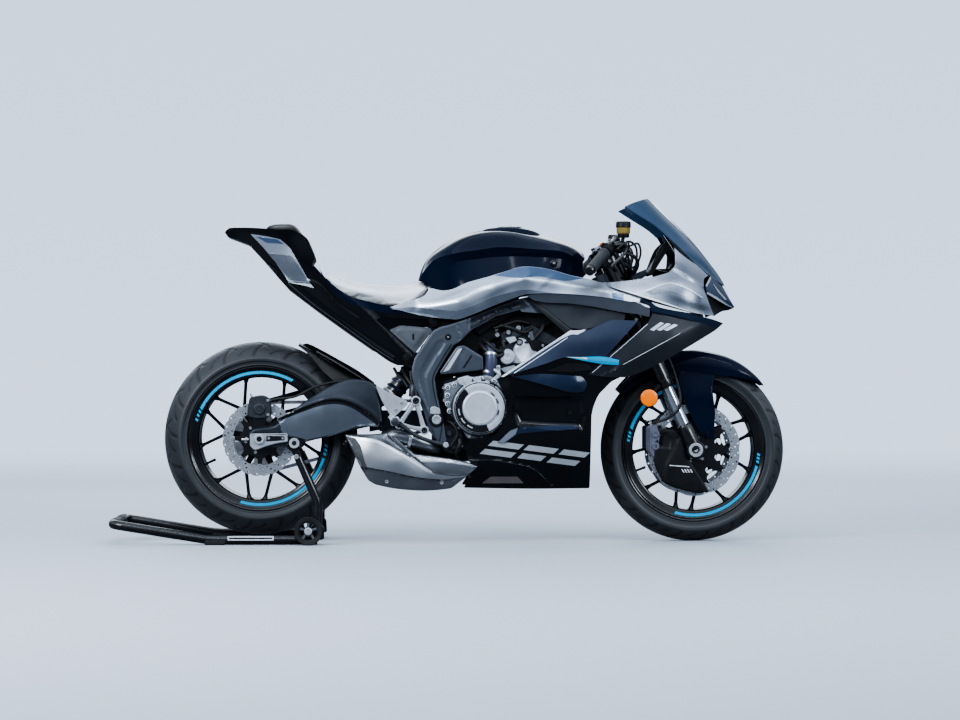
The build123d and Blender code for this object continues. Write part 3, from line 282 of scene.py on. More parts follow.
SILVER_BLUE = Finish("silver_blue_tint", "silver_paint", (0.050, 0.088, 0.16), (0.068, 0.112, 0.20),
                     0.60, (0.22, 0.28), Pattern.FLAKE, 0.5, 0.0008, 80.0, coat=0.4)
# A darker copy of the silver paint, laid on the band's lower facet as painted shade.
SILVER_SHADE = SILVER.tinted("silver_lower_shade", (0.165, 0.19, 0.235), (0.20, 0.225, 0.275),
                             roughness=(0.24, 0.30), mask="", masked=(0.0, 0.0, 0.0))
GRAPHITE = Finish("graphite_satin", "graphite", (0.010, 0.012, 0.017), (0.015, 0.018, 0.024), 0.3,
                  (0.32, 0.42), Pattern.CAST, 0.9, 0.015, 50.0, specular=0.35)
GUNMETAL = Finish("gunmetal_paint", "graphite", (0.120, 0.134, 0.162), (0.145, 0.160, 0.190), 0.65,
                  (0.28, 0.38), Pattern.CAST, 0.9, 0.01, 60.0, coat=0.3)
DARK_PLASTIC = Finish("dark_grey_moulding", "dark_grey_plastic", (0.010, 0.0115, 0.0145),
                      (0.016, 0.018, 0.022), 0.0, (0.40, 0.54), Pattern.GRAIN, 0.7, 0.03, 40.0,
                      specular=0.4)
GREY_PLASTIC = Finish("grey_moulding", "dark_grey_plastic", (0.055, 0.062, 0.074),
                      (0.072, 0.080, 0.094), 0.0, (0.38, 0.50), Pattern.GRAIN, 0.7, 0.03, 40.0)
BLACK_PLASTIC = Finish("black_moulding", "black_plastic", (0.003, 0.0035, 0.0042),
                       (0.006, 0.0065, 0.0078), 0.0, (0.38, 0.52), Pattern.GRAIN, 0.7, 0.03, 30.0,
                       specular=0.22)
BLACK_METAL = Finish("black_powder_coat", "black_metal", (0.003, 0.0035, 0.0048),
                     (0.006, 0.0065, 0.0085), 0.1, (0.22, 0.32), Pattern.CAST, 0.6, 0.008, 40.0,
                     coat=0.4, specular=0.4)
ALLOY = Finish("blasted_alloy", "cast_alloy", (0.56, 0.585, 0.63), (0.44, 0.465, 0.51), 0.65,
               (0.28, 0.40), Pattern.CAST, 0.8, 0.02, 30.0)
DARK_ALLOY = Finish("dark_alloy_casting", "dark_alloy", (0.024, 0.027, 0.034),
                    (0.042, 0.047, 0.057), 0.5, (0.32, 0.46), Pattern.CAST, 1.0, 0.04, 30.0)
STEEL = Finish("drawn_steel", "steel", (0.62, 0.64, 0.67), (0.50, 0.52, 0.55), 0.65, (0.20, 0.32),
               Pattern.DRAWN, 1.2, 0.015, 40.0)
CHROME = Finish("hard_chrome", "chrome", (0.78, 0.80, 0.84), (0.70, 0.72, 0.76), 0.9, (0.07, 0.13),
                Pattern.CLEAR, 2.0, 0.002, 60.0)
ZINC = Finish("zinc_fastener", "steel", (0.56, 0.57, 0.59), (0.42, 0.43, 0.45), 0.8, (0.22, 0.34),
              Pattern.CAST, 0.5, 0.02, 8.0)
BLACK_BOLT = ZINC.tinted("black_fastener", (0.010, 0.010, 0.012), (0.018, 0.018, 0.022),
                         slot="black_metal", metallic=0.5, roughness=(0.22, 0.32))
RIM_BLACK = Finish("rim_black", "black_metal", (0.0025, 0.003, 0.004), (0.0045, 0.005, 0.0065), 0.0,
                   (0.16, 0.24), Pattern.CAST, 0.6, 0.004, 60.0, coat=0.25, specular=0.3)
CYAN = Finish("cyan_stripe", "navy_paint", (0.0, 0.29, 0.53), (0.0, 0.34, 0.60), 0.0, (0.26, 0.34),
              Pattern.FLAKE, 0.6, 0.003, 40.0, coat=0.15, specular=0.3)
WHITE = Finish("white_line", "silver_paint", (0.70, 0.74, 0.80), (0.62, 0.66, 0.72), 0.2,
               (0.28, 0.36), Pattern.FLAKE, 0.6, 0.001, 40.0, coat=0.3)
# The cut mask darkens the rubber where the tread is cut: painted shade in the grooves.
TYRE = Finish("tyre_rubber", "tyre", (0.0115, 0.0135, 0.0170), (0.0180, 0.0215, 0.0270), 0.0,
              (0.42, 0.54), Pattern.RUBBER, 1.4, 0.04, 70.0, sheen=0.08, mask="cut",
              masked=(0.0012, 0.0013, 0.0015))
RUBBER = Finish("black_rubber", "rubber", (0.004, 0.004, 0.0048), (0.008, 0.008, 0.0095), 0.0,
                (0.46, 0.60), Pattern.RUBBER, 0.8, 0.04, 20.0, specular=0.4)
GREY_RUBBER = Finish("grey_grip_rubber", "rubber", (0.020, 0.022, 0.026), (0.032, 0.035, 0.040),
                     0.0, (0.50, 0.64), Pattern.RUBBER, 0.6, 0.05, 12.0)
STRIPE_GREY = WHITE.tinted("grey_stripe", (0.36, 0.385, 0.42), (0.30, 0.325, 0.36))
DISC_STEEL = STEEL.tinted("disc_steel", (0.46, 0.485, 0.52), (0.39, 0.41, 0.445), metallic=0.75,
                          roughness=(0.22, 0.32))
LEATHER = Finish("pale_seat_cover", "seat_cover", (0.74, 0.76, 0.79), (0.82, 0.84, 0.87), 0.0,
                 (0.40, 0.52), Pattern.LEATHER, 1.6, 0.05, 70.0, sheen=0.15)
DARK_LEATHER = Finish("dark_seat_cover", "seat_cover", (0.006, 0.0065, 0.0078),
                      (0.010, 0.0105, 0.0125), 0.0, (0.36, 0.48), Pattern.LEATHER, 1.6, 0.06, 40.0,
                      sheen=0.05)
SMOKE = Finish("smoked_screen_blue", "smoked_screen", (0.010, 0.030, 0.064), (0.018, 0.048, 0.095),
               0.0, (0.06, 0.10), Pattern.CLEAR, 4.0, 0.002, 160.0, coat=0.3, alpha=0.93,
               specular=0.25)
LAMP = Finish("lamp_lens", "lamp_glass", (0.008, 0.018, 0.052), (0.015, 0.032, 0.080), 0.2,
              (0.06, 0.12), Pattern.CLEAR, 3.0, 0.004, 40.0, coat=0.8)
DISPLAY = Finish("display_glass", "lamp_glass", (0.006, 0.007, 0.010), (0.010, 0.012, 0.016), 0.0,
                 (0.08, 0.14), Pattern.CLEAR, 3.0, 0.002, 40.0, coat=0.8)
FLUID = Finish("brake_fluid_amber", "dark_grey_plastic", (0.20, 0.14, 0.030), (0.28, 0.21, 0.055),
               0.0, (0.12, 0.2), Pattern.CLEAR, 3.0, 0.004, 14.0, coat=0.6)
AMBER = Finish("amber_reflector", "lamp_glass", (1.0, 0.16, 0.0), (1.0, 0.24, 0.0), 0.0,
               (0.20, 0.28), Pattern.MESH, 2.4, 0.25, 10.0, coat=0.2, specular=0.3)
SCOOP_GREY = GREY_PLASTIC.tinted("scoop_grey_moulding", (0.034, 0.039, 0.048),
                                 (0.044, 0.050, 0.061))
MID_NAVY = NAVY_SATIN.tinted("navy_mid_panel", (0.015, 0.024, 0.048), (0.020, 0.032, 0.062),
                             metallic=0.35, roughness=(0.24, 0.32))
# The nose's silver is a darker copy of the band's as painted shade, and its shade mask adds patches
# of painted shade.
NOSE_SHADED_SILVER = SILVER.tinted("silver_paint_nose", (0.25, 0.28, 0.335), (0.29, 0.32, 0.38),
                            roughness=(0.25, 0.31), masked=(0.055, 0.065, 0.082))
# A darker silver laid under the nose's arc as painted shade.
NOSE_SHADE = SILVER_SHADE.tinted("silver_nose_shade", (0.115, 0.132, 0.165), (0.145, 0.163, 0.20),
                                 roughness=(0.25, 0.31))
# A bright silver laid along the top edge of the nose's arc as a painted highlight.
NOSE_HIGHLIGHT = NOSE_SHADE.tinted("silver_nose_edge", (0.52, 0.56, 0.63), (0.47, 0.51, 0.58),
                              metallic=0.7)
# A darker silver laid on the tail insert's lower facet and in the nose's small recess as painted
# shade.
FACET_SHADE = Finish("tail_insert_grey", "silver_paint", (0.16, 0.18, 0.215), (0.20, 0.22, 0.26),
                   0.85, (0.24, 0.32), Pattern.FLAKE, 0.5, 0.001, 60.0, coat=0.3)
VENT_TINT = Finish("vent_tint", "dark_grey_plastic", (0.110, 0.098, 0.100), (0.150, 0.130, 0.130),
                   0.2, (0.3, 0.4), Pattern.MESH, 3.0, 0.3)
CALIPER = Finish("caliper_violet_grey", "graphite", (0.135, 0.140, 0.185), (0.170, 0.175, 0.225),
                 0.5, (0.30, 0.40), Pattern.CAST, 0.8, 0.02, 30.0)
LEG_CHROME = CHROME.tinted("fork_leg_chrome", (0.40, 0.43, 0.47), (0.34, 0.365, 0.40),
                           roughness=(0.10, 0.16))
FRAME_GREY = Finish("frame_grey_satin", "graphite", (0.060, 0.071, 0.090), (0.080, 0.093, 0.115),
                    0.6, (0.34, 0.44), Pattern.CAST, 0.8, 0.02, 60.0)
ARM_GREY = FRAME_GREY.tinted("swingarm_grey_satin", (0.013, 0.017, 0.025), (0.020, 0.025, 0.034),
                             roughness=(0.32, 0.42))
# A lighter copy of the swingarm's grey, laid on its lower face as painted light.
ARM_PAINTED_LIGHT = ARM_GREY.tinted("swingarm_face_grey", (0.092, 0.108, 0.134), (0.116, 0.134, 0.162),
                           metallic=0.65)
VALVE_GREY = Finish("pale_engine_casting", "cast_alloy", (0.50, 0.54, 0.60), (0.60, 0.64, 0.70),
                    0.55, (0.30, 0.42), Pattern.CAST, 0.9, 0.04, 24.0)
CASE_GREY = VALVE_GREY.tinted("clutch_case_casting", (0.155, 0.175, 0.205), (0.215, 0.235, 0.265),
                              metallic=0.6, roughness=(0.28, 0.38))
NAVY_HOSE = Finish("navy_hose", "rubber", (0.040, 0.046, 0.086), (0.056, 0.064, 0.112), 0.1,
                   (0.34, 0.46), Pattern.RUBBER, 1.0, 0.02, 30.0)
EXHAUST_ALLOY = Finish("brushed_silencer", "cast_alloy", (0.26, 0.275, 0.30), (0.31, 0.325, 0.35),
                       0.85, (0.27, 0.36), Pattern.DRAWN, 1.4, 0.012, 90.0)
# Darker and paler copies of the silencer's brushed finish, laid on its facets as painted shade and
# painted highlights.
EXHAUST_SHADE = EXHAUST_ALLOY.tinted("brushed_silencer_shade", (0.125, 0.135, 0.152),
                                     (0.16, 0.17, 0.19), roughness=(0.25, 0.34))
EXHAUST_HIGHLIGHT = EXHAUST_SHADE.tinted("brushed_silencer_pale", (0.46, 0.48, 0.52), (0.52, 0.54, 0.58))
EXHAUST_DARK = Finish("silencer_mesh_dark", "dark_alloy", (0.030, 0.032, 0.035),
                      (0.045, 0.048, 0.052), 0.6, (0.42, 0.55), Pattern.MESH, 2.6, 0.5, 30.0)
HEAT_STEEL = Finish("warm_header_steel", "steel", (0.30, 0.26, 0.22), (0.20, 0.18, 0.20), 1.0,
                    (0.24, 0.38), Pattern.CAST, 1.2, 0.02, 50.0)


def turned(name: str, base: Finish, x: float, z: float, grain_mm: float) -> Finish:
    """A finish cut on a lathe, its rings about an axle that lies across the machine.

    Args:
        name: The new finish's name.
        base: The finish it starts from.
        x: The axle's place along the machine.
        z: The axle's height.
        grain_mm: The spacing of the rings.

    Returns:
        The new finish.
    """
    return replace(base, name=name, pattern=Pattern.TURNED, grain_mm=grain_mm, bump_mm=0.02,
                   centre=(x, 0.0, z))


# ---------------------------------------------------------------- lines
def catmull(points: Sequence[Flat], steps: int = 10) -> list[Flat]:
    """A smooth curve through points of any dimension.

    Args:
        points: The points it passes through, in order.
        steps: How many pieces each span is cut into.

    Returns:
        The curve's points, the given ones among them.
    """
    if len(points) < 3:
        return [tuple(p) for p in points]
    rows = np.array(points, float)
    padded = np.vstack([2 * rows[0] - rows[1], rows, 2 * rows[-1] - rows[-2]])
    knots = [0.0]
    for a, b in zip(padded, padded[1:]):
        knots.append(knots[-1] + max(float(np.linalg.norm(b - a)), 1e-6) ** 0.5)
    made = []
    for i in range(1, len(padded) - 2):
        t0, t1, t2, t3 = knots[i - 1:i + 3]
        p0, p1, p2, p3 = padded[i - 1:i + 3]
        for k in range(steps):
            t = t1 + (t2 - t1) * k / steps
            a1 = p0 + (p1 - p0) * (t - t0) / (t1 - t0)
            a2 = p1 + (p2 - p1) * (t - t1) / (t2 - t1)
            a3 = p2 + (p3 - p2) * (t - t2) / (t3 - t2)
            b1 = a1 + (a2 - a1) * (t - t0) / (t2 - t0)
            b2 = a2 + (a3 - a2) * (t - t1) / (t3 - t1)
            made.append(tuple(b1 + (b2 - b1) * (t - t1) / (t2 - t1)))
    made.append(tuple(rows[-1]))
    return made


def spaced(points: Sequence[Flat], count: int) -> list[Flat]:
    """Points evenly spaced along a polyline.

    Args:
        points: The polyline.
        count: How many points to give, ends included.

    Returns:
        The evenly spaced points.
    """
    rows = np.array(points, float)
    runs = np.r_[0.0, np.cumsum(np.linalg.norm(np.diff(rows, axis=0), axis=1))]
    at = np.linspace(0.0, runs[-1], count)
    return [tuple(p)
            for p in np.stack([np.interp(at, runs, rows[:, k]) for k in range(rows.shape[1])], 1)]


def outline_of(points: Sequence[Flat], spacing: float) -> list[Flat]:
    """A closed side-view outline from a short table.

    Args:
        points: (x, z) for a point on a smooth curve, or (x, z, radius) for a corner, rounded to it.
        spacing: The distance between the points that it gives.

    Returns:
        The outline's points, the first not repeated.
    """
    first = next((i for i, p in enumerate(points) if len(p) > 2), None)
    if first is None:
        loop = catmull([*points[-2:], *points, *points[:2]])[20:-10]
        return spaced(loop, max(8, round(length_of(loop) / spacing)))[:-1]
    ring = list(points[first:]) + list(points[:first + 1])
    runs, run = [], [ring[0]]
    for p in ring[1:]:
        run.append(p)
        if len(p) > 2:
            runs.append(run)
            run = [p]
    lines = []
    for run in runs:
        curve = catmull([p[:2] for p in run])
        lines.append(spaced(curve, max(3, math.ceil(length_of(curve) / spacing) + 1)))
    made: list[Flat] = []
    for i, line in enumerate(lines):
        after = lines[(i + 1) % len(lines)]
        start_r, end_r = runs[i][0][2], runs[i][-1][2]
        made += trimmed(line, start_r, end_r)
        if end_r > 0.0:
            a, b = trimmed(line, 0.0, end_r)[-1], trimmed(after, end_r, 0.0)[0]
            corner = line[-1]
            for t in (0.25, 0.5, 0.75):
                u = 1.0 - t
                made.append(tuple(u * u * a[k] + 2 * u * t * corner[k] + t * t * b[k]
                                  for k in (0, 1)))
        else:
            made.pop()
    return made


def trimmed(line: Sequence[Flat], start: float, end: float) -> list[Flat]:
    """A polyline with a length cut off each end.

    Args:
        line: The polyline.
        start: The length to cut off its start.
        end: The length to cut off its end.

    Returns:
        What is left, its cut ends interpolated.
    """
    rows = np.array(line, float)
    runs = np.r_[0.0, np.cumsum(np.linalg.norm(np.diff(rows, axis=0), axis=1))]
    low, high = min(start, runs[-1] * 0.45), runs[-1] - min(end, runs[-1] * 0.45)
    inside = [r for r in runs if low + 1e-6 < r < high - 1e-6]
    at = np.array([low, *inside, high])
    return [tuple(p)
            for p in np.stack([np.interp(at, runs, rows[:, k]) for k in range(rows.shape[1])], 1)]


def length_of(points: Sequence[Flat]) -> float:
    """The length of a polyline."""
    return float(np.linalg.norm(np.diff(np.array(points, float), axis=0), axis=1).sum())


def from_lines(points: np.ndarray, line: np.ndarray) -> tuple[np.ndarray, np.ndarray]:
    """How far points lie from a polyline, and on which side of it.

    Args:
        points: An array of (x, z).
        line: The polyline, an array of (x, z).

    Returns:
        The distances, and +1 on the line's left, or -1 on its right.
    """
    a, b = line[:-1], line[1:]
    run = b - a
    size = np.maximum((run ** 2).sum(1), TINY)
    best = np.full(len(points), 1e18)
    side = np.ones(len(points))
    for i in range(len(a)):
        t = np.clip(((points - a[i]) @ run[i]) / size[i], 0.0, 1.0)
        off = points - (a[i] + t[:, None] * run[i])
        gap = (off ** 2).sum(1)
        near = gap < best
        best[near] = gap[near]
        side[near] = np.sign(run[i][0] * off[near, 1] - run[i][1] * off[near, 0])
    return np.sqrt(best), np.where(side == 0, 1.0, side)


def inside_of(points: np.ndarray, loop: np.ndarray) -> np.ndarray:
    """Which points lie inside a closed outline.

    Args:
        points: An array of (x, z).
        loop: The outline, an array of (x, z).

    Returns:
        A boolean for each point.
    """
    within = np.zeros(len(points), bool)
    x, z = points[:, 0], points[:, 1]
    for (x0, z0), (x1, z1) in zip(loop, np.roll(loop, -1, axis=0)):
        if z0 == z1:
            continue
        crosses = ((z0 > z) != (z1 > z)) & (x < (x1 - x0) * (z - z0) / (z1 - z0) + x0)
        within ^= crosses
    return within


def polar(x: float, z: float, radius: float, degrees: float) -> tuple[float, float]:
    """A side-view point at a radius and an angle above +x from a centre."""
    a = math.radians(degrees)
    return (x + radius * math.cos(a), z + radius * math.sin(a))


def arc(x: float, z: float, radius: float, start: float, end: float, count: int) -> list[Flat]:
    """Side-view points along an arc, its angles in degrees."""
    return [polar(x, z, radius, start + (end - start) * k / (count - 1)) for k in range(count)]


# ---------------------------------------------------------------- drafts
class Draft:
    """Collects the faces of one piece in millimetres, each with its finish, and makes its mesh."""

    def __init__(self) -> None:
        """Starts an empty draft."""
        self.points: list[Place] = []
        self.faces: list[tuple[int, ...]] = []
        self.face_finish: list[int] = []
        self.finishes: list[Finish] = []

    def add(self, points: Iterable[Place], faces: Iterable[Sequence[int]], finish: Finish) -> None:
        """Adds faces.

        Args:
            points: The points that the faces use.
            faces: Each face as indices into points, turning anticlockwise seen from outside.
            finish: The faces' finish.
        """
        start = len(self.points)
        self.points += [tuple(map(float, p)) for p in points]
        if finish not in self.finishes:
            self.finishes.append(finish)
        index = self.finishes.index(finish)
        for face in faces:
            self.faces.append(tuple(start + i for i in face))
            self.face_finish.append(index)

    def rings(self, rings: Sequence[Sequence[Place]], finish: Finish, caps: bool = True,
              closed: bool = False) -> None:
        """Adds a skin through rings of points.

        Args:
            rings: Rings with equal numbers of points, turning anticlockwise seen along the path.
            finish: The skin's finish.
            caps: Whether its two ends are closed.
            closed: Whether the last ring joins the first.
        """
        count = len(rings[0])
        points = [p for ring in rings for p in ring]
        faces: list[tuple[int, ...]] = []
        last = len(rings) if closed else len(rings) - 1
        for r in range(last):
            near, far = r * count, ((r + 1) % len(rings)) * count
            for i in range(count):
                j = (i + 1) % count
                faces.append((near + i, near + j, far + j, far + i))
        if caps and not closed:
            faces.append(tuple(reversed(range(count))))
            top = (len(rings) - 1) * count
            faces.append(tuple(top + i for i in range(count)))
        self.add(points, faces, finish)

    def tube(self, path: Sequence[Place], radius: float | Sequence[float], finish: Finish,
             sides: int = 12, smooth: bool = False) -> None:
        """Adds a round tube along a path.

        Args:
            path: The points along its middle.
            radius: Its radius, or one for each point.
            finish: Its finish.
            sides: How many faces it has around.
            smooth: Whether the path is rounded first.
        """
        if smooth:
            radii = radius if isinstance(radius, (list, tuple)) else [radius] * len(path)
            curve = catmull([(*p, r) for p, r in zip(path, radii)], 8)
            path, radius = [p[:3] for p in curve], [p[3] for p in curve]
        radii = list(radius) if isinstance(radius, (list, tuple)) else [radius] * len(path)
        spots = [Vector(p) for p in path]
        rings = []
        normal = None
        for i, spot in enumerate(spots):
            ahead = (spots[min(i + 1, len(spots) - 1)] - spots[max(i - 1, 0)]).normalized()
            if normal is None:
                normal = ahead.orthogonal().normalized()
            normal = (normal - ahead * normal.dot(ahead)).normalized()
            side = ahead.cross(normal)
            rings.append([tuple(spot + (normal * math.cos(a) + side * math.sin(a)) * radii[i])
                          for a in turns(sides)])
        self.rings(rings, finish)

    def lathe(self, profile: Sequence[tuple[float, float]], centre: Place, axis: Place,
              finish: Finish, sides: int = 32, closed: bool = False) -> None:
        """Adds a turned form.

        Args:
            profile: (radius, distance along the axis), from its low end to its high end.
            centre: Where distance 0 lies.
            axis: The direction of the axis.
            finish: Its finish.
            sides: How many faces it has around.
            closed: Whether the profile is a closed loop, as of a ring.
        """
        along = Vector(axis).normalized()
        u = along.orthogonal().normalized()
        if abs(along.y) > 0.99:
            u = Vector((1.0, 0.0, 0.0))
        v = along.cross(u)
        middle = Vector(centre)
        rings = []
        for radius, reach in profile:
            rings.append([tuple(middle + along * reach
                                + (u * math.cos(a) + v * math.sin(a)) * max(radius, 0.01))
                          for a in turns(sides)])
        self.rings(rings, finish, caps=not closed, closed=closed)

    def wheelwise(self, profile: Sequence[tuple[float, float]], x: float, z: float, finish: Finish,
                  sides: int) -> None:
        """Adds a ring turned about an axle across the machine, from (radius, y) points."""
        self.lathe(profile, (x, 0.0, z), LEFT, finish, sides, closed=True)

    def plate(self, outline: Sequence[Flat], y_from: float, y_to: float, finish: Finish,
              chamfer: float = 1.0, spacing: float = 8.0) -> None:
        """Adds a plate that stands in the side view.

        Args:
            outline: Its outline as outline_of reads it.
            y_from: One face.
            y_to: The other face.
            finish: Its finish.
            chamfer: How far its edges are broken.
            spacing: The distance between points on its outline.
        """
        self.flat(outline_of(outline, spacing), y_from, y_to, finish, chamfer)

    def flat(self, loop: Sequence[Flat], y_from: float, y_to: float, finish: Finish,
             chamfer: float = 1.0, holes: Sequence[tuple[float, float, float]] = ()) -> None:
        """Adds a plate from a ready loop.

        Args:
            loop: The loop's (x, z) points.
            y_from: One face.
            y_to: The other face.
            finish: Its finish.
            chamfer: How far its edges are broken.
            holes: Round holes as (x, z, radius).
        """
        area = sum(a[0] * b[1] - b[0] * a[1] for a, b in zip(loop, [*loop[1:], loop[0]]))
        loop = [p[:2] for p in (loop if area > 0 else list(reversed(loop)))]
        loops = [loop] + [arc(hx, hz, r, 360.0, 0.0, max(11, int(r * 0.9) + 4))[:-1]
                          for hx, hz, r in holes]
        low, high = min(y_from, y_to), max(y_from, y_to)
        cut = min(chamfer, (high - low) * 0.4)
        flat = [p for part in loops for p in inset(part, cut)]
        edges, start = [], 0
        for part in loops:
            edges += [(start + i, start + (i + 1) % len(part)) for i in range(len(part))]
            start += len(part)
        tri_points, triangles = triangulated(flat, edges)
        middles = np.array([[sum(tri_points[i][k] for i in t) / 3 for k in (0, 1)]
                            for t in triangles])
        keep = inside_of(middles, np.array(inset(loop, cut)))
        for hole in loops[1:]:
            keep &= ~inside_of(middles, np.array(inset(hole, cut)))
        chosen = [t for t, ok in zip(triangles, keep) if ok]
        for y, turn in ((low, 1), (high, -1)):
            self.add([(x, y, z) for x, z in tri_points], [t[::turn] for t in chosen], finish)
        for part in loops:
            near = inset(part, cut)
            rings = [[(x, low, z) for x, z in near], [(x, low + cut, z) for x, z in part],
                     [(x, high - cut, z) for x, z in part], [(x, high, z) for x, z in near]]
            self.rings([list(reversed(r)) for r in rings], finish, caps=False)

    def box(self, centre: Place, size: Place, finish: Finish, turn: float = 0.0,
            chamfer: float = 1.5) -> None:
        """Adds a block with broken edges, turned in the side view.

        Args:
            centre: Its middle.
            size: Its length, width and height.
            finish: Its finish.
            turn: Its turn in the side view, in degrees.
            chamfer: How far its edges are broken.
        """
        lx, ly, lz = (s / 2 for s in size)
        c, s = math.cos(math.radians(turn)), math.sin(math.radians(turn))
        r = min(chamfer, lx, lz)
        corners = [(-lx + r, -lz), (lx - r, -lz), (lx, -lz + r), (lx, lz - r), (lx - r, lz),
                   (-lx + r, lz), (-lx, lz - r), (-lx, -lz + r)]
        loop = [(centre[0] + x * c - z * s, centre[2] + x * s + z * c) for x, z in corners]
        self.flat(loop, centre[1] - ly, centre[1] + ly, finish, chamfer)

    def mirrored(self) -> None:
        """Adds the mirror image of all that is here on the other side of the middle plane."""
        count = len(self.points)
        self.points += [(x, -y, z) for x, y, z in self.points[:count]]
        for face, index in list(zip(self.faces, self.face_finish)):
            self.faces.append(tuple(count + i for i in reversed(face)))
            self.face_finish.append(index)

    def piece(self, name: str, body: str, *nodes: str, edge: float = 0.0,
              sharp: float = SHARP_DEGREES) -> bpy.types.Object:
        """Makes the piece, rides it on its body and hides the CAD nodes that it stands for.

        Args:
            name: The piece's name.
            body: The body that it moves with.
            nodes: The CAD nodes that it stands for.
            edge: The radius that its edges are rounded to, or 0.
            sharp: The angle in degrees past which an edge is shaded sharp.

        Returns:
            The finished object.
        """
        mesh = bpy.data.meshes.new(name)
        mesh.from_pydata([tuple(c * MM for c in p) for p in self.points], [], self.faces)
        for finish in self.finishes:
            mesh.materials.append(finish.material())
        mesh.polygons.foreach_set("material_index", self.face_finish)
        mesh.polygons.foreach_set("use_smooth", [True] * len(self.faces))
        mesh.validate()
        mesh.update()
        mesh.set_sharp_from_angle(angle=math.radians(sharp))
        made = placed(name, mesh)
        if edge > 0.0:
            bevel = made.modifiers.new("edges", "BEVEL")
            bevel.width = edge * MM
            bevel.segments = 2
            bevel.limit_method = "ANGLE"
            bevel.angle_limit = math.radians(48.0)
        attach(made, body)
        if nodes:
            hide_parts(*nodes)
        LOG.info("%s: %d faces on %s", name, len(self.faces), body)
        return made


def inset(loop: Sequence[Flat], by: float) -> list[Flat]:
    """A closed loop moved inwards, to the left of its direction.

    Args:
        loop: The loop's (x, z) points.
        by: How far to move it.

    Returns:
        The moved loop.
    """
    rows = np.array([p[:2] for p in loop], float)
    before, after = rows - np.roll(rows, 1, axis=0), np.roll(rows, -1, axis=0) - rows
    before /= np.maximum(np.linalg.norm(before, axis=1), TINY)[:, None]
    after /= np.maximum(np.linalg.norm(after, axis=1), TINY)[:, None]
    bisector = np.stack([-(before + after)[:, 1], (before + after)[:, 0]], 1)
    bisector /= np.maximum(np.linalg.norm(bisector, axis=1), 1e-6)[:, None]
    normal = np.stack([-after[:, 1], after[:, 0]], 1)
    reach = np.minimum(by / np.maximum((bisector * normal).sum(1), 0.35), by * 2.5)
    return [tuple(p) for p in rows + bisector * reach[:, None]]


def triangulated(points: Sequence[Flat], edges: Sequence[tuple[int, int]]
                 ) -> tuple[list[Flat], list[tuple[int, int, int]]]:
    """Triangles over flat points that keep the given edges.

    Args:
        points: The (x, z) points.
        edges: Pairs of indices that must stay edges.

    Returns:
        The points, which may hold new ones where edges cross, and the triangles, each turning
        anticlockwise seen from -y.
    """
    result = delaunay_2d_cdt([Vector(p) for p in points], list(edges), [], 0, 1e-5)
    verts = [tuple(v) for v in result[0]]
    made = []
    for a, b, c in (tuple(f) for f in result[2] if len(f) == 3):
        (ax, az), (bx, bz), (cx, cz) = verts[a], verts[b], verts[c]
        turn = (bx - ax) * (cz - az) - (bz - az) * (cx - ax)
        made.append((a, b, c) if turn > 0 else (a, c, b))
    return verts, made


# ---------------------------------------------------------------- curved panels
class Relief(Enum):
    """How a feature changes a panel's surface."""

    FIELD = "field"
    RIDGE = "ridge"
    FOLD = "fold"


@dataclass(frozen=True)
class Feature:
    """A raised or sunken form on a panel, in the side view.

    A FIELD lifts the inside of a closed outline by height, over a slope of reach. A RIDGE is a
    soft rib along a line. A FOLD turns the surface beyond a line, on its left, by height over
    reach.
    """

    kind: Relief
    line: tuple[Flat, ...]
    height: float
    reach: float

    def path(self, spacing: float) -> np.ndarray:
        """The feature's line with its points evenly spaced.

        Args:
            spacing: The distance between them.

        Returns:
            An array of (x, z), closed for a FIELD.
        """
        if self.kind is Relief.FIELD:
            loop = outline_of(self.line, spacing)
            return np.array([*loop, loop[0]], float)
        curve = catmull([p[:2] for p in self.line])
        return np.array(spaced(curve, max(3, round(length_of(curve) / spacing))), float)

    def lift(self, points: np.ndarray) -> np.ndarray:
        """How far the feature lifts each point.

        Args:
            points: An array of (x, z).

        Returns:
            The lift at each point.
        """
        path = self.path(6.0)
        gap, side = from_lines(points, path)
        if self.kind is Relief.RIDGE:
            return self.height * np.exp(-(gap / self.reach) ** 2)
        if self.kind is Relief.FIELD:
            gap = np.where(inside_of(points, path[:-1]), gap, 0.0)
        else:
            gap = np.where(side > 0, gap, 0.0)
        t = np.clip(gap / self.reach, 0.0, 1.0)
        return self.height * (t * (2.0 - t))


class ThinPlate:
    """A smooth height over the side view that follows given points, as a bent sheet does."""

    ease = 0.12

    def __init__(self, points: Sequence[Place]) -> None:
        """Fits the sheet.

        Args:
            points: (x, z, half-width) that the sheet follows, eased a little where they wander.
        """
        rows = np.array(points, float)
        self.at = rows[:, :2] / 100.0
        count = len(rows)
        kernel = self._kernel(self.at) + np.eye(count) * self.ease
        plane = np.hstack([np.ones((count, 1)), self.at])
        whole = np.block([[kernel, plane], [plane.T, np.zeros((3, 3))]])
        self.weights = np.linalg.solve(whole, np.r_[rows[:, 2], 0.0, 0.0, 0.0])

    def _kernel(self, where: np.ndarray) -> np.ndarray:
        """The bending kernel between points and the sheet's own points."""
        gap = np.linalg.norm(where[:, None, :] - self.at[None, :, :], axis=2)
        return gap ** 2 * np.log(np.maximum(gap, TINY))

    def __call__(self, points: np.ndarray) -> np.ndarray:
        """The sheet's half-width at each point.

        Args:
            points: Side-view points (x, z), one to a row.

        Returns:
            One half-width for each row.
        """
        where = np.array(points, float) / 100.0
        plane = np.hstack([np.ones((len(where), 1)), where])
        return self._kernel(where) @ self.weights[:-3] + plane @ self.weights[-3:]


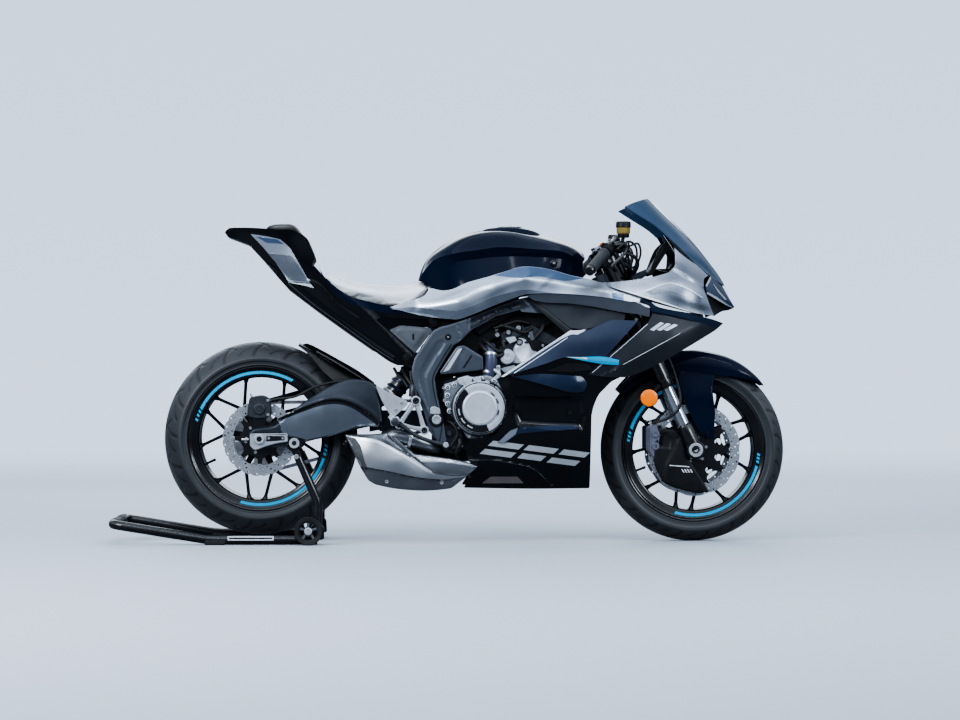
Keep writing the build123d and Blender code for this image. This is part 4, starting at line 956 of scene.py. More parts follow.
@dataclass
class Panel:
    """A curved body panel: a side-view outline, its half-widths and the forms pressed in it.

    Its edge rolls over to a radius of roll all round.
    """

    outline: Sequence[Flat]
    sheet: Sequence[Place]
    finish: Finish
    features: Sequence[Feature] = ()
    wall: float = 3.5
    spacing: float = 8.0
    roll: float = 0.0
    surface: ThinPlate = field(init=False)

    def __post_init__(self) -> None:
        """Fits the surface."""
        self.surface = ThinPlate(self.sheet)

    def half_width(self, points: np.ndarray) -> np.ndarray:
        """The panel's half-width, its features included.

        Args:
            points: An array of (x, z).

        Returns:
            The half-width at each point.
        """
        y = self.surface(points)
        for feature in self.features:
            y = y + feature.lift(points)
        if self.roll > 0.0:
            loop = np.array(outline_of(self.outline, self.spacing * 0.5), float)
            gap, _ = from_lines(points, np.vstack([loop, loop[:1]]))
            gap = np.where(inside_of(points, loop), gap, 0.0)
            t = 1.0 - np.clip(gap / self.roll, 0.0, 1.0)
            y = y - self.roll * (1.0 - np.sqrt(np.maximum(1.0 - t * t, 0.0)))
        return y

    def on(self, x: float, z: float, lift: float = 0.0) -> Place:
        """The point of the right-hand panel at a side-view place, lifted off its surface."""
        return (x, -float(self.half_width(np.array([[x, z]]))[0]) - lift, z)

    def cover(self, draft: Draft, outline: Sequence[Flat] | None = None,
              finish: Finish | None = None, lift: float = 0.0, wall: float | None = None,
              spacing: float | None = None) -> None:
        """Adds the right-hand panel, or a thin overlay on part of it.

        Args:
            draft: Where its faces go.
            outline: Another outline on the same surface.
            finish: Another finish.
            lift: How far it stands off the surface.
            wall: Another wall thickness.
            spacing: Another distance between points.
        """
        step = spacing or self.spacing
        wall = self.wall if wall is None else wall
        loop = np.array(outline_of(outline or self.outline, step * 0.8), float)
        area = np.sum(loop[:, 0] * np.roll(loop[:, 1], -1) - np.roll(loop[:, 0], -1) * loop[:, 1])
        loop = loop if area > 0 else loop[::-1]
        closed = np.vstack([loop, loop[:1]])
        flat = [tuple(p) for p in loop]
        edges = [(i, (i + 1) % len(loop)) for i in range(len(loop))]
        creases = [f.path(step * 0.8) for f in self.features if f.kind is not Relief.RIDGE]
        if self.roll > 0.0 and outline is None:
            for share in (0.1, 0.35, 1.0):
                ring = inset([tuple(p) for p in loop], self.roll * share)
                creases.append(np.array([*ring, ring[0]]))
        for path in creases:
            gap, _ = from_lines(path, closed)
            good = inside_of(path, loop) & (gap > min(step * 0.35, self.roll * 0.09 or step))
            start = len(flat)
            flat += [tuple(p) for p in path[good]]
            index = np.cumsum(good) - 1
            edges += [(start + index[i], start + index[i + 1]) for i in range(len(path) - 1)
                      if good[i] and good[i + 1]]
        fixed = np.array(flat)
        low, high = loop.min(0), loop.max(0)
        grid = []
        for row, z in enumerate(np.arange(low[1], high[1], step * 0.866)):
            shift = step / 2 if row % 2 else 0.0
            grid += [(x + shift, z) for x in np.arange(low[0], high[0], step)]
        inner = np.array(grid) if grid else np.zeros((0, 2))
        if len(inner):
            inner = inner[inside_of(inner, loop)]
        if len(inner):
            gap, _ = from_lines(inner, closed)
            inner = inner[gap > step * 0.5]
        if len(inner) and len(fixed) > len(loop):
            others = fixed[len(loop):]
            near = np.min(np.hypot(inner[:, None, 0] - others[None, :, 0],
                                   inner[:, None, 1] - others[None, :, 1]), axis=1)
            inner = inner[near > step * 0.5]
        flat += [tuple(p) for p in inner]
        points, triangles = triangulated(flat, edges)
        where = np.array(points)
        middles = np.array([where[list(t)].mean(0) for t in triangles])
        chosen = [t for t, ok in zip(triangles, inside_of(middles, loop)) if ok]
        y = self.half_width(where) + lift
        count = len(points)
        out = [(x, -yy, z) for (x, z), yy in zip(points, y)]
        back = [(x, -yy + wall, z) for (x, z), yy in zip(points, y)]
        faces = [tuple(t) for t in chosen] + [(t[0] + count, t[2] + count, t[1] + count)
                                              for t in chosen]
        faces += self._rim(chosen, count)
        draft.add(out + back, faces, finish or self.finish)

    @staticmethod
    def _rim(chosen: Sequence[tuple[int, int, int]], count: int) -> list[tuple[int, ...]]:
        """The faces that close a sheet's open edges.

        Args:
            chosen: The outer triangles.
            count: How far on the inner points are.

        Returns:
            A face for each open edge.
        """
        seen = set()
        for t in chosen:
            for i in range(3):
                seen.add((t[i], t[(i + 1) % 3]))
        return [(b, a, a + count, b + count) for a, b in seen if (b, a) not in seen]


def loft(curves: Sequence[Sequence[Place]], along: int, between: int,
         creases: Sequence[int] = ()) -> list[list[Place]]:
    """A grid of points through feature curves.

    Args:
        curves: Curves of (x, z, half-width), each running the same way.
        along: How many points each curve is given.
        between: How many steps lie between two curves.
        creases: The curves at which the surface may turn sharply.

    Returns:
        Rows of (x, -half-width, z) points, one row for each step across.
    """
    ready = [np.array(spaced(catmull(c), along)) for c in curves]
    stops = [0, *sorted(creases), len(curves) - 1]
    rows: list[np.ndarray] = []
    for a, b in zip(stops, stops[1:]):
        if a == b:
            continue
        part = ready[a:b + 1]
        columns = []
        for i in range(along):
            line = catmull([tuple(c[i]) for c in part], between)
            if len(part) == 2:
                line = spaced(line, between + 1)
            columns.append(line)
        block = [np.array([column[k] for column in columns]) for k in range(len(columns[0]))]
        rows += block if not rows else block[1:]
    return [[(p[0], -p[2], p[1]) for p in row] for row in rows]


def grid_faces(rows: int, columns: int, flip: bool = False) -> list[tuple[int, ...]]:
    """The faces of a grid of points.

    Args:
        rows: How many rows it has.
        columns: How many points each row has.
        flip: Whether the faces turn the other way.

    Returns:
        The faces as indices.
    """
    made = []
    for i in range(rows - 1):
        for j in range(columns - 1):
            a, b = i * columns + j, i * columns + j + 1
            face = (a, b, b + columns, a + columns)
            made.append(tuple(reversed(face)) if flip else face)
    return made


def closed_loft(draft: Draft, rows: Sequence[Sequence[Place]], finish: Finish) -> None:
    """Adds a closed body whose right half is a loft that starts on the middle plane.

    Args:
        draft: Where its faces go.
        rows: The loft's rows, from the top middle round the right side to the lower edge.
        finish: The body's finish.
    """
    left = [[(x, -y, z) for x, y, z in row] for row in reversed(rows[1:])]
    whole = [*left, *rows]
    count = len(rows[0])
    rings = [[row[i] for row in whole] for i in range(count)]
    draft.rings(rings, finish, caps=True)


# ---------------------------------------------------------------- repeats made by Geometry Nodes
class Repeats:
    """Builds the node trees that copy a small part over points or along a path."""

    def __init__(self, name: str) -> None:
        """Starts an empty tree.

        Args:
            name: The tree's name.
        """
        self.tree = bpy.data.node_groups.new(name, "GeometryNodeTree")
        self.tree.interface.new_socket("Geometry", in_out="INPUT", socket_type="NodeSocketGeometry")
        self.tree.interface.new_socket("Geometry", in_out="OUTPUT",
                                       socket_type="NodeSocketGeometry")
        self.sockets: dict[str, str] = {}

    def inputs(self, **kinds: str) -> bpy.types.Node:
        """Adds named inputs, with _ for a space in a name.

        Args:
            kinds: Each input's socket type, such as Float, Object or Material.

        Returns:
            The node that gives their values in the tree.
        """
        for key, kind in kinds.items():
            name = key.replace("_", " ")
            made = self.tree.interface.new_socket(name, in_out="INPUT",
                                                  socket_type=f"NodeSocket{kind}")
            self.sockets[name] = made.identifier
        return wired(self.tree, "NodeGroupInput")

    @classmethod
    def over_points(cls) -> "Repeats":
        """A tree that sets a part on every point, along the point's own facing and at its own size.

        Returns:
            The tree with its inputs.
        """
        made = cls("part_on_points")
        start = made.inputs(Part="Object", Size="Float", Finish="Material")
        tree, kind = made.tree, "GeometryNodeInputNamedAttribute"
        part = wired(tree, "GeometryNodeObjectInfo", {"Object": start.outputs["Part"]},
                     transform_space="ORIGINAL")
        facing = wired(tree, kind, {"Name": "facing"}, data_type="FLOAT_VECTOR")
        size = wired(tree, kind, {"Name": "size"}, data_type="FLOAT")
        scale = wired(tree, "ShaderNodeMath",
                      {0: size.outputs["Attribute"], 1: start.outputs["Size"]},
                      operation="MULTIPLY")
        turn = wired(tree, "FunctionNodeAlignRotationToVector",
                     {"Vector": facing.outputs["Attribute"]}, axis="Z")
        copies = wired(tree, "GeometryNodeInstanceOnPoints", {
            "Points": start.outputs["Geometry"], "Instance": part.outputs["Geometry"],
            "Rotation": turn.outputs["Rotation"], "Scale": scale.outputs[0]})
        made._finish(copies.outputs["Instances"], start)
        return made

    @classmethod
    def along_path(cls) -> "Repeats":
        """A tree that sets two parts in turn along a curve, a set pitch apart.

        Returns:
            The tree with its inputs.
        """
        made = cls("parts_along_path")
        start = made.inputs(Pitch="Float", Even_part="Object", Odd_part="Object", Finish="Material")
        tree = made.tree
        path = wired(tree, "GeometryNodeMeshToCurve", {"Mesh": start.outputs["Geometry"]})
        evenly = wired(tree, "GeometryNodeCurveToPoints", {
            "Curve": path.outputs["Curve"], "Length": start.outputs["Pitch"]}, mode="LENGTH")
        index = wired(tree, "GeometryNodeInputIndex")
        parity = wired(tree, "ShaderNodeMath", {0: index.outputs["Index"], 1: 2.0},
                       operation="MODULO")
        joined = wired(tree, "GeometryNodeJoinGeometry")
        turn = wired(tree, "FunctionNodeAlignRotationToVector",
                     {"Vector": evenly.outputs["Tangent"]}, axis="X")
        for name, remainder in (("Even part", 0.0), ("Odd part", 1.0)):
            near = wired(tree, "ShaderNodeMath", {0: parity.outputs[0], 1: remainder, 2: 0.1},
                         operation="COMPARE")
            part = wired(tree, "GeometryNodeObjectInfo", {"Object": start.outputs[name]},
                         transform_space="ORIGINAL")
            copies = wired(tree, "GeometryNodeInstanceOnPoints", {
                "Points": evenly.outputs["Points"], "Selection": near.outputs[0],
                "Instance": part.outputs["Geometry"], "Rotation": turn.outputs["Rotation"]})
            tree.links.new(copies.outputs["Instances"], joined.inputs["Geometry"])
        made._finish(joined.outputs["Geometry"], start)
        return made

    def _finish(self, out: bpy.types.NodeSocket, start: bpy.types.Node) -> None:
        """Ends the tree: the copies are made real and given the finish.

        Args:
            out: The socket that holds the copies.
            start: The node that gives the tree's inputs.
        """
        real = wired(self.tree, "GeometryNodeRealizeInstances", {"Geometry": out})
        paint = wired(self.tree, "GeometryNodeSetMaterial", {
            "Geometry": real.outputs["Geometry"], "Material": start.outputs["Finish"]})
        wired(self.tree, "NodeGroupOutput", {"Geometry": paint.outputs["Geometry"]})

    @classmethod
    def on_spots(cls, name: str, body: str, finish: Finish, part: bpy.types.Object,
                 spots: Sequence[tuple[Place, Place, float]]) -> bpy.types.Object:
        """Copies a part to each of its spots.

        Args:
            name: The piece's name.
            body: The body that it moves with.
            finish: The copies' finish.
            part: The part, standing along z.
            spots: Each copy's place, the way that it faces and its size.

        Returns:
            The finished piece.
        """
        mesh = bpy.data.meshes.new(name + "_seats")
        mesh.from_pydata([tuple(c * MM for c in at) for at, _, _ in spots], [], [])
        facing = mesh.attributes.new("facing", "FLOAT_VECTOR", "POINT")
        facing.data.foreach_set("vector", [c for _, way, _ in spots for c in way])
        size = mesh.attributes.new("size", "FLOAT", "POINT")
        size.data.foreach_set("value", [share for _, _, share in spots])
        return cls.over_points().run(name, mesh, body, finish, Part=part, Size=1.0)

    def run(self, name: str, carrier: bpy.types.Mesh, body: str, finish: Finish, **values: object
            ) -> bpy.types.Object:
        """Runs the tree once and keeps its result as a plain mesh.

        Args:
            name: The piece's name.
            carrier: The mesh of points or edges that the tree reads.
            body: The body that the piece moves with.
            finish: The copies' finish.
            values: The inputs' values, with _ for a space in a name.

        Returns:
            The finished piece.
        """
        work = placed(name + "_carrier", carrier)
        step = work.modifiers.new("repeats", "NODES")
        step.node_group = self.tree
        step[self.sockets["Finish"]] = finish.material()
        for key, value in values.items():
            step[self.sockets[key.replace("_", " ")]] = value
        work.update_tag()
        bpy.context.view_layer.update()
        result = work.evaluated_get(bpy.context.evaluated_depsgraph_get())
        mesh = bpy.data.meshes.new_from_object(result)
        mesh.name = name
        work.modifiers.clear()
        bpy.data.objects.remove(work)
        mesh.materials.clear()
        mesh.materials.append(finish.material())
        mesh.polygons.foreach_set("material_index", [0] * len(mesh.polygons))
        mesh.set_sharp_from_angle(angle=math.radians(SHARP_DEGREES))
        made = placed(name, mesh)
        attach(made, body)
        LOG.info("%s: %d faces copied on %s", name, len(mesh.polygons), body)
        return made


def small_part(name: str, draft: Draft) -> bpy.types.Object:
    """A small part kept out of the scene, for the node trees to copy.

    Args:
        name: The part's name.
        draft: Its faces, in millimetres about the origin, standing along z.

    Returns:
        The unlinked object.
    """
    mesh = bpy.data.meshes.new(name)
    mesh.from_pydata([tuple(c * MM for c in p) for p in draft.points], [], draft.faces)
    mesh.polygons.foreach_set("use_smooth", [True] * len(draft.faces))
    mesh.update()
    return bpy.data.objects.new(name, mesh)


class Fasteners:
    """Screws, set by body and finish, made in one go by Geometry Nodes."""

    def __init__(self) -> None:
        """Makes the screw that is copied."""
        self.spots: dict[tuple[str, Finish], list[tuple[Place, Place, float]]] = {}
        head = Draft()
        head.lathe([(1.0, -0.3), (1.0, 0.5), (0.86, 0.66), (0.5, 0.66), (0.5, 0.25), (0.06, 0.2)],
                   (0, 0, 0), UP, ZINC, 12)
        self.head = small_part("screw_head", head)

    def add(self, body: str, finish: Finish, at: Place, toward: Place, radius: float) -> None:
        """Notes one screw: its seat, the way its head points and its head's radius."""
        self.spots.setdefault((body, finish), []).append((at, toward, radius))

    def pair(self, body: str, finish: Finish, at: Place, radius: float) -> None:
        """Notes a screw that faces right and its mirror image that faces left."""
        self.add(body, finish, at, RIGHT, radius)
        self.add(body, finish, (at[0], -at[1], at[2]), LEFT, radius)

    def build(self) -> None:
        """Makes one piece of screws for each body and finish."""
        for (body, finish), spots in self.spots.items():
            Repeats.on_spots(f"screws_{body}_{finish.name}", body, finish, self.head, spots)


SCREWS = Fasteners()


def dress(name: str, finish: Finish) -> None:
    """Gives a CAD node a finish.

    Args:
        name: The node's name.
        finish: Its new finish.
    """
    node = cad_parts[name]
    node.data.materials.clear()
    node.data.materials.append(finish.material())
    LOG.info("%s: finished in %s", name, finish.name)


@dataclass(frozen=True)
class Shade:
    """A soft ellipse of painted shade in the side view, where a piece's finish turns darker."""

    x: float
    z: float
    reach: float
    height: float
    turn: float = 0.0
    amount: float = 0.5

    def over(self, x: np.ndarray, z: np.ndarray) -> np.ndarray:
        """How dark the patch makes the places (x, z).

        Args:
            x: Their places along the machine.
            z: Their heights.

        Returns:
            A share from 0 to its amount for each place.
        """
        c, s = math.cos(math.radians(self.turn)), math.sin(math.radians(self.turn))
        along, across = (x - self.x) * c + (z - self.z) * s, (z - self.z) * c - (x - self.x) * s
        return self.amount * np.exp(-(along / self.reach) ** 2 - (across / self.height) ** 2)


def shaded(made: bpy.types.Object, patches: Sequence[Shade]) -> None:
    """Writes how dark each point of a piece is painted as shade, for the finishes masked by shade.

    Args:
        made: The piece.
        patches: Its patches.
    """
    places = np.empty(len(made.data.vertices) * 3, np.float32)
    made.data.vertices.foreach_get("co", places)
    x, z = places[0::3] / MM, places[2::3] / MM
    total = np.clip(sum(patch.over(x, z) for patch in patches), 0.0, 1.0).astype(np.float32)
    made.data.attributes.new("shade", "FLOAT", "POINT").data.foreach_set("value", total)


# ---------------------------------------------------------------- studio
@dataclass
class Studio:
    """The floor, the light and the camera."""

    camera_at: Place = (-200.0, -9440.0, 546.0)
    camera_to: Place = (99.0, 0.0, 588.0)
    lens_mm: float = 108.9
    floor_half: float = 90000.0
    floor_colour: Colour = (0.47, 0.51, 0.57)
    floor_shade: Colour = (0.10, 0.11, 0.13)
    fade_from: float = -1500.0
    fade_to: float = 12000.0
    sky_low: Colour = (0.98, 1.16, 1.46)
    sky_high: Colour = (0.66, 0.84, 1.14)
    room_low: tuple[tuple[float, Colour], ...] = (
        (0.0, (0.05, 0.062, 0.085)), (0.10, (0.13, 0.16, 0.21)), (0.28, (0.56, 0.66, 0.82)),
        (0.50, (1.45, 1.62, 1.86)), (1.0, (0.34, 0.41, 0.53)))
    room_behind: Colour = (0.05, 0.06, 0.08)
    room_strength: float = 1.3
    look: str = "AgX - Medium High Contrast"

    def build(self) -> None:
        """Makes all of the studio."""
        bpy.context.scene.view_settings.look = self.look
        self._camera()
        self._floor()
        self._world()
        self._lights()

    def _camera(self) -> None:
        """Places the camera square to the machine's right side."""
        data = bpy.data.cameras.new("view")
        data.lens = self.lens_mm
        data.sensor_width = 36.0
        data.clip_end = 200.0
        eye = placed("view", data)
        place, aim = Vector(self.camera_at) * MM, Vector(self.camera_to) * MM
        eye.location = place
        eye.rotation_euler = (aim - place).to_track_quat("-Z", "Y").to_euler()
        bpy.context.scene.camera = eye

    def _floor(self) -> None:
        """Lays the pale floor."""
        half = self.floor_half * MM
        mesh = bpy.data.meshes.new("studio_floor")
        mesh.from_pydata([(-half, -half, 0), (half, -half, 0), (half, half, 0), (-half, half, 0)],
                         [], [(0, 1, 2, 3)])
        floor = placed("studio_floor", mesh)
        finish = bpy.data.materials.new("studio_floor")
        finish.use_nodes = True
        tree = finish.node_tree
        shader = tree.nodes["Principled BSDF"]
        seen = wired(tree, "ShaderNodeLightPath").outputs["Is Camera Ray"]
        tone = wired(tree, "ShaderNodeMix", {
            "A": (*self.floor_shade, 1.0), "B": (*self.floor_colour, 1.0), "Factor": seen},
                     data_type="RGBA")
        feed(tree, shader, {
            "Roughness": 0.6, "Specular IOR Level": 0.2, "Base Color": tone.outputs["Result"]})
        place = wired(tree, "ShaderNodeTexCoord")
        split = wired(tree, "ShaderNodeSeparateXYZ", {"Vector": place.outputs["Object"]})
        fade = wired(tree, "ShaderNodeMapRange", {
            "From Min": self.fade_from * MM, "From Max": self.fade_to * MM,
            "Value": split.outputs["Y"]}, interpolation_type="SMOOTHSTEP")
        only = wired(tree, "ShaderNodeMath", {0: fade.outputs["Result"], 1: seen},
                     operation="MULTIPLY")
        glow = wired(tree, "ShaderNodeEmission", {"Color": (*self.sky_low, 1.0)})
        mix = wired(tree, "ShaderNodeMixShader", {
            "Fac": only.outputs[0], 1: shader.outputs["BSDF"], 2: glow.outputs["Emission"]})
        feed(tree, tree.nodes["Material Output"], {"Surface": mix.outputs["Shader"]})
        mesh.materials.append(finish)

    def _world(self) -> None:
        """Lights the room softly: pale where it is seen, and darker low down in what it lights."""
        world = bpy.data.worlds.new("studio")
        bpy.context.scene.world = world
        world.use_nodes = True
        tree = world.node_tree
        tree.nodes.clear()
        way = wired(tree, "ShaderNodeTexCoord")
        split = wired(tree, "ShaderNodeSeparateXYZ", {"Vector": way.outputs["Generated"]})
        ramps = []
        for stops in (self.room_low,
                      ((0.0, self.sky_low), (0.5, self.sky_high), (1.0, self.sky_high))):
            ramp = wired(tree, "ShaderNodeValToRGB", {"Fac": split.outputs["Z"]})
            while len(ramp.color_ramp.elements) < len(stops):
                ramp.color_ramp.elements.new(0.5)
            for element, (at, colour) in zip(ramp.color_ramp.elements, stops):
                element.position = at
                element.color = (*colour, 1.0)
            ramps.append(ramp.outputs["Color"])
        seen = wired(tree, "ShaderNodeLightPath")
        side = wired(tree, "ShaderNodeMapRange", {
            "Value": split.outputs["Y"], "From Min": -0.25, "From Max": 0.45, "To Min": 0.0,
            "To Max": 0.50})
        dim = wired(tree, "ShaderNodeMix", {
            "Factor": side.outputs["Result"], "A": ramps[0], "B": (*self.room_behind, 1.0)},
                    data_type="RGBA")
        lit = wired(tree, "ShaderNodeBackground", {
            "Strength": self.room_strength, "Color": dim.outputs["Result"]})
        backdrop = wired(tree, "ShaderNodeBackground", {"Color": ramps[1]})
        choose = wired(tree, "ShaderNodeMixShader", {
            "Fac": seen.outputs["Is Camera Ray"], 1: lit.outputs["Background"],
            2: backdrop.outputs["Background"]})
        wired(tree, "ShaderNodeOutputWorld", {"Surface": choose.outputs["Shader"]})

    def _lights(self) -> None:
        """Hangs the soft boxes: overhead, beside the camera, a long strip and one behind."""
        for name, at, to, size, power, colour in (
                ("overhead", (-200, 200, 4600), (0, 0, 500), (6000, 3200), 70.0, (0.88, 0.95, 1.0)),
                ("front_left", (-3800, -4400, 2600), (0, 0, 560), (2400, 1200), 230.0,
                 (0.88, 0.95, 1.0)),
                ("front_right", (4400, -4000, 2200), (200, 0, 500), (1800, 1200), 120.0,
                 (0.86, 0.94, 1.0)),
                ("strip", (-100, -3600, 3600), (0, 0, 700), (6500, 160), 60.0, (0.90, 0.96, 1.0)),
                ("behind", (-600, 4200, 2600), (0, 0, 600), (5200, 1800), 75.0, (0.86, 0.94, 1.0))):
            data = bpy.data.lights.new(name, "AREA")
            data.shape = "RECTANGLE"
            data.size, data.size_y = size[0] * MM, size[1] * MM
            data.energy = power
            data.color = colour
            lamp = placed(name, data)
            lamp.location = Vector(at) * MM
            lamp.rotation_euler = ((Vector(to) - Vector(at)).to_track_quat("-Z", "Y")).to_euler()


# ---------------------------------------------------------------- wheels
def beam(draft: Draft, path: Sequence[Place], widths: Sequence[float], depths: Sequence[float],
         finish: Finish) -> None:
    """Adds a bar with an eight-sided section along a path that lies in the side view.

    Args:
        draft: Where its faces go.
        path: The points along its middle.
        widths: Its width in the side view at each point.
        depths: Its depth across the machine at each point.
        finish: Its finish.
    """
    rings = []
    for i, (x, y, z) in enumerate(path):
        before, after = path[max(i - 1, 0)], path[min(i + 1, len(path) - 1)]
        dx, dz = after[0] - before[0], after[2] - before[2]
        run = math.hypot(dx, dz) or 1.0
        nx, nz = -dz / run, dx / run
        w, d = widths[i] / 2, depths[i] / 2
        c = min(w, d) * 0.55
        section = [(d, w - c), (d - c, w), (-d + c, w), (-d, w - c), (-d, -w + c), (-d + c, -w),
                   (d - c, -w), (d, -w + c)]
        rings.append([(x + nx * v, y + u, z + nz * v) for u, v in section])
    draft.rings(rings, finish)


def arc_band(draft: Draft, x: float, z: float, inner: float, outer: float, y: float, thick: float,
             start: float, end: float, finish: Finish, skew: float = 0.0) -> None:
    """Adds a thin band along an arc, lying in the side view.

    Args:
        draft: Where its faces go.
        x: The arc's centre along the machine.
        z: The arc's centre's height.
        inner: The band's inner radius.
        outer: The band's outer radius.
        y: Its middle across the machine.
        thick: How thick it is.
        start: The angle at which it starts.
        end: The angle at which it ends.
        finish: Its finish.
        skew: How much further round its outer edge lies, in degrees, so that its ends slant.
    """
    low, high = min(start, end), max(start, end)
    steps = max(2, round((high - low) / 3.0) + 1)
    rings = []
    for k in range(steps):
        a = low + (high - low) * k / (steps - 1)
        i, o = polar(x, z, inner, a), polar(x, z, outer, a + skew)
        rings.append([(o[0], y - thick / 2, o[1]), (o[0], y + thick / 2, o[1]),
                      (i[0], y + thick / 2, i[1]), (i[0], y - thick / 2, i[1])])
    draft.rings([list(reversed(r)) for r in rings], finish)


@dataclass
class Wheel:
    """A cast wheel and its tyre."""

    name: str
    body: str
    x: float
    z: float
    tyre_r: float
    tyre_half: float
    rim_half: float
    spoke_base: float
    fork_r: float
    stripes: tuple[tuple[float, float], ...]
    valve: float
    hub_r: float
    hub_half: float
    lip_r: float = 232.0
    window_r: float = 196.5
    stripe_r: tuple[float, float] = (208.0, 217.5)
    spoke_lean: float = 24.5
    arm_lean: float = 17.5
    grooves: int = 20
    tread_mm: float = 2.6
    around: int = 480
    around_quick: int = 240
    crown_steps: int = 24

    def build(self) -> None:
        """Makes the rim, its coloured arcs and the tyre."""
        self._rim()
        self._tyre()

    def _rim(self) -> None:
        """The barrel, hub, divided spokes, valve and arcs."""
        draft, h = Draft(), self.rim_half
        lip, win = self.lip_r, self.window_r
        half = [(211, 0), (211, h - 12), (214, h - 7), (lip, h - 6), (lip, h + 3.5),
                (lip - 1.5, h + 4.5), (lip - 5, h + 3.5), (lip - 8, h + 0.5), (lip - 12, h - 1.5),
                (207, h - 2.5), (200, h - 5), (win, h - 10), (win, h - 16), (201, h - 24), (203, 0)]
        loop = [(r, -t) for r, t in reversed(half)] + half[1:-1]
        draft.wheelwise(loop, self.x, self.z, RIM_BLACK, 144)
        hub = [(13, -self.hub_half), (self.hub_r - 6, -self.hub_half),
               (self.hub_r - 2, -self.hub_half + 4), (self.hub_r - 2, -26), (self.hub_r + 6, -14),
               (self.hub_r + 6, 14), (self.hub_r - 2, 26), (self.hub_r - 2, self.hub_half - 4),
               (self.hub_r - 6, self.hub_half), (13, self.hub_half)]
        draft.wheelwise(hub, self.x, self.z, RIM_BLACK, 48)
        for group in range(3):
            for side in (-1, 1):
                self._spoke(draft, self.spoke_base + 120.0 * group + side * self.spoke_lean)
        vx, vz = polar(self.x, self.z, win + 4, self.valve)
        wx, wz = polar(self.x, self.z, win - 24, self.valve)
        draft.tube([(vx, -4, vz), (wx, -4, wz)], [4.2, 4.2], BLACK_METAL, 10)
        ux, uz = polar(self.x, self.z, win - 34, self.valve)
        draft.tube([(wx, -4, wz), (ux, -4, uz)], [5.0, 4.4], BLACK_METAL, 10)
        for y in (-h + 1.75, h - 1.75):
            for start, end in self.stripes:
                arc_band(draft, self.x, self.z, *self.stripe_r, y, 1.6, start, end, CYAN, -1.0)
        draft.piece(f"{self.name}_wheel_rim", self.body, f"{self.name}_rim")

    def _spoke(self, draft: Draft, middle: float) -> None:
        """One spoke that divides in two towards the rim.

        Args:
            draft: Where its faces go.
            middle: The angle of its stem.
        """
        stem = [(*polar(self.x, self.z, r, middle), w, d) for r, w, d in (
            (self.hub_r - 2, 34, 44), (self.hub_r + 14, 22, 34), (self.fork_r * 0.72, 19, 28),
            (self.fork_r + 4, 21, 24))]
        beam(draft, [(x, 0, z) for x, z, _, _ in stem], [s[2] for s in stem], [s[3] for s in stem],
             RIM_BLACK)
        for lean in (-1, 1):
            path, widths, depths = [], [], []
            for t, w, d in ((0.0, 12, 23), (0.12, 11, 22), (0.5, 9.5, 20), (0.82, 10, 20),
                            (0.94, 17, 24), (1.0, 30, 30)):
                start = polar(self.x, self.z, self.fork_r - 6, middle)
                end = polar(self.x, self.z, 203.0, middle + lean * self.arm_lean)
                path.append((start[0] + (end[0] - start[0]) * t, 0.0, start[1]
                             + (end[1] - start[1]) * t))
                widths.append(w)
                depths.append(d)
            beam(draft, path, widths, depths, RIM_BLACK)

    def _profile(self) -> list[Flat]:
        """Lays out half of the tyre's section, from bead to crown.

        Returns:
            Points as (radius, distance from the middle plane).
        """
        h, w, r = self.rim_half, self.tyre_half, self.tyre_r
        shoulder = r - 2 * w * 0.30
        side = [(self.lip_r + 0.5, h - 4), (self.lip_r + 1.6, h + 1.5), (self.lip_r + 4.5, h + 4.2),
                (self.lip_r + 6.0, h + 4.6), (self.lip_r + 7.0, h + 4.0)]
        wall = catmull([(self.lip_r + 7.0, h + 4.0), (self.lip_r + 16, w * 0.955),
                        (shoulder - 8, w * 0.99), (shoulder, w)], 6)
        crown = []
        rise = r - shoulder
        radius = (w * w + rise * rise) / (2 * rise)
        sweep = math.asin(min(1.0, w / radius))
        for k in range(self.crown_steps + 1):
            a = sweep * (1 - k / self.crown_steps)
            crown.append((r - radius * (1 - math.cos(a)), radius * math.sin(a)))
        return side[:-1] + wall + crown[1:]

    def _tyre(self) -> None:
        """The tyre, its tread cuts pressed into its mesh."""
        half = self._profile()
        inner = [(213.0, self.rim_half - 8), (self.lip_r - 8, self.rim_half - 8)]
        side = [*inner, *half]
        loop = [(r, -t) for r, t in side] + [(r, t) for r, t in reversed(side[:-1])]
        around = self.around
        rows = np.array(loop)
        reach = np.r_[0.0, np.cumsum(np.linalg.norm(np.diff(rows, axis=0), axis=1))]
        middle = reach[-1] / 2
        across = np.abs(reach - middle)
        angles = np.arange(around) * 2 * math.pi / around
        depth = self._cuts(angles, across, np.sign(reach - middle))
        points, faces = [], []
        for i, a in enumerate(angles):
            c, s = math.cos(a), math.sin(a)
            for (r, t), cut in zip(rows, depth[i]):
                points.append((self.x + (r - cut) * c, t, self.z + (r - cut) * s))
        columns = len(rows)
        for i in range(around):
            near, far = i * columns, ((i + 1) % around) * columns
            for j in range(columns):
                k = (j + 1) % columns
                faces.append((near + j, near + k, far + k, far + j))
        draft = Draft()
        draft.add(points, [tuple(reversed(f)) for f in faces], TYRE)
        made = draft.piece(f"{self.name}_wheel_tyre", self.body, f"{self.name}_tyre", sharp=50.0)
        # The cut depths also darken the tyre's colour in the grooves: painted shade.
        shade = made.data.attributes.new("cut", "FLOAT", "POINT")
        shade.data.foreach_set("value", (depth / self.tread_mm).clip(0, 1).ravel())

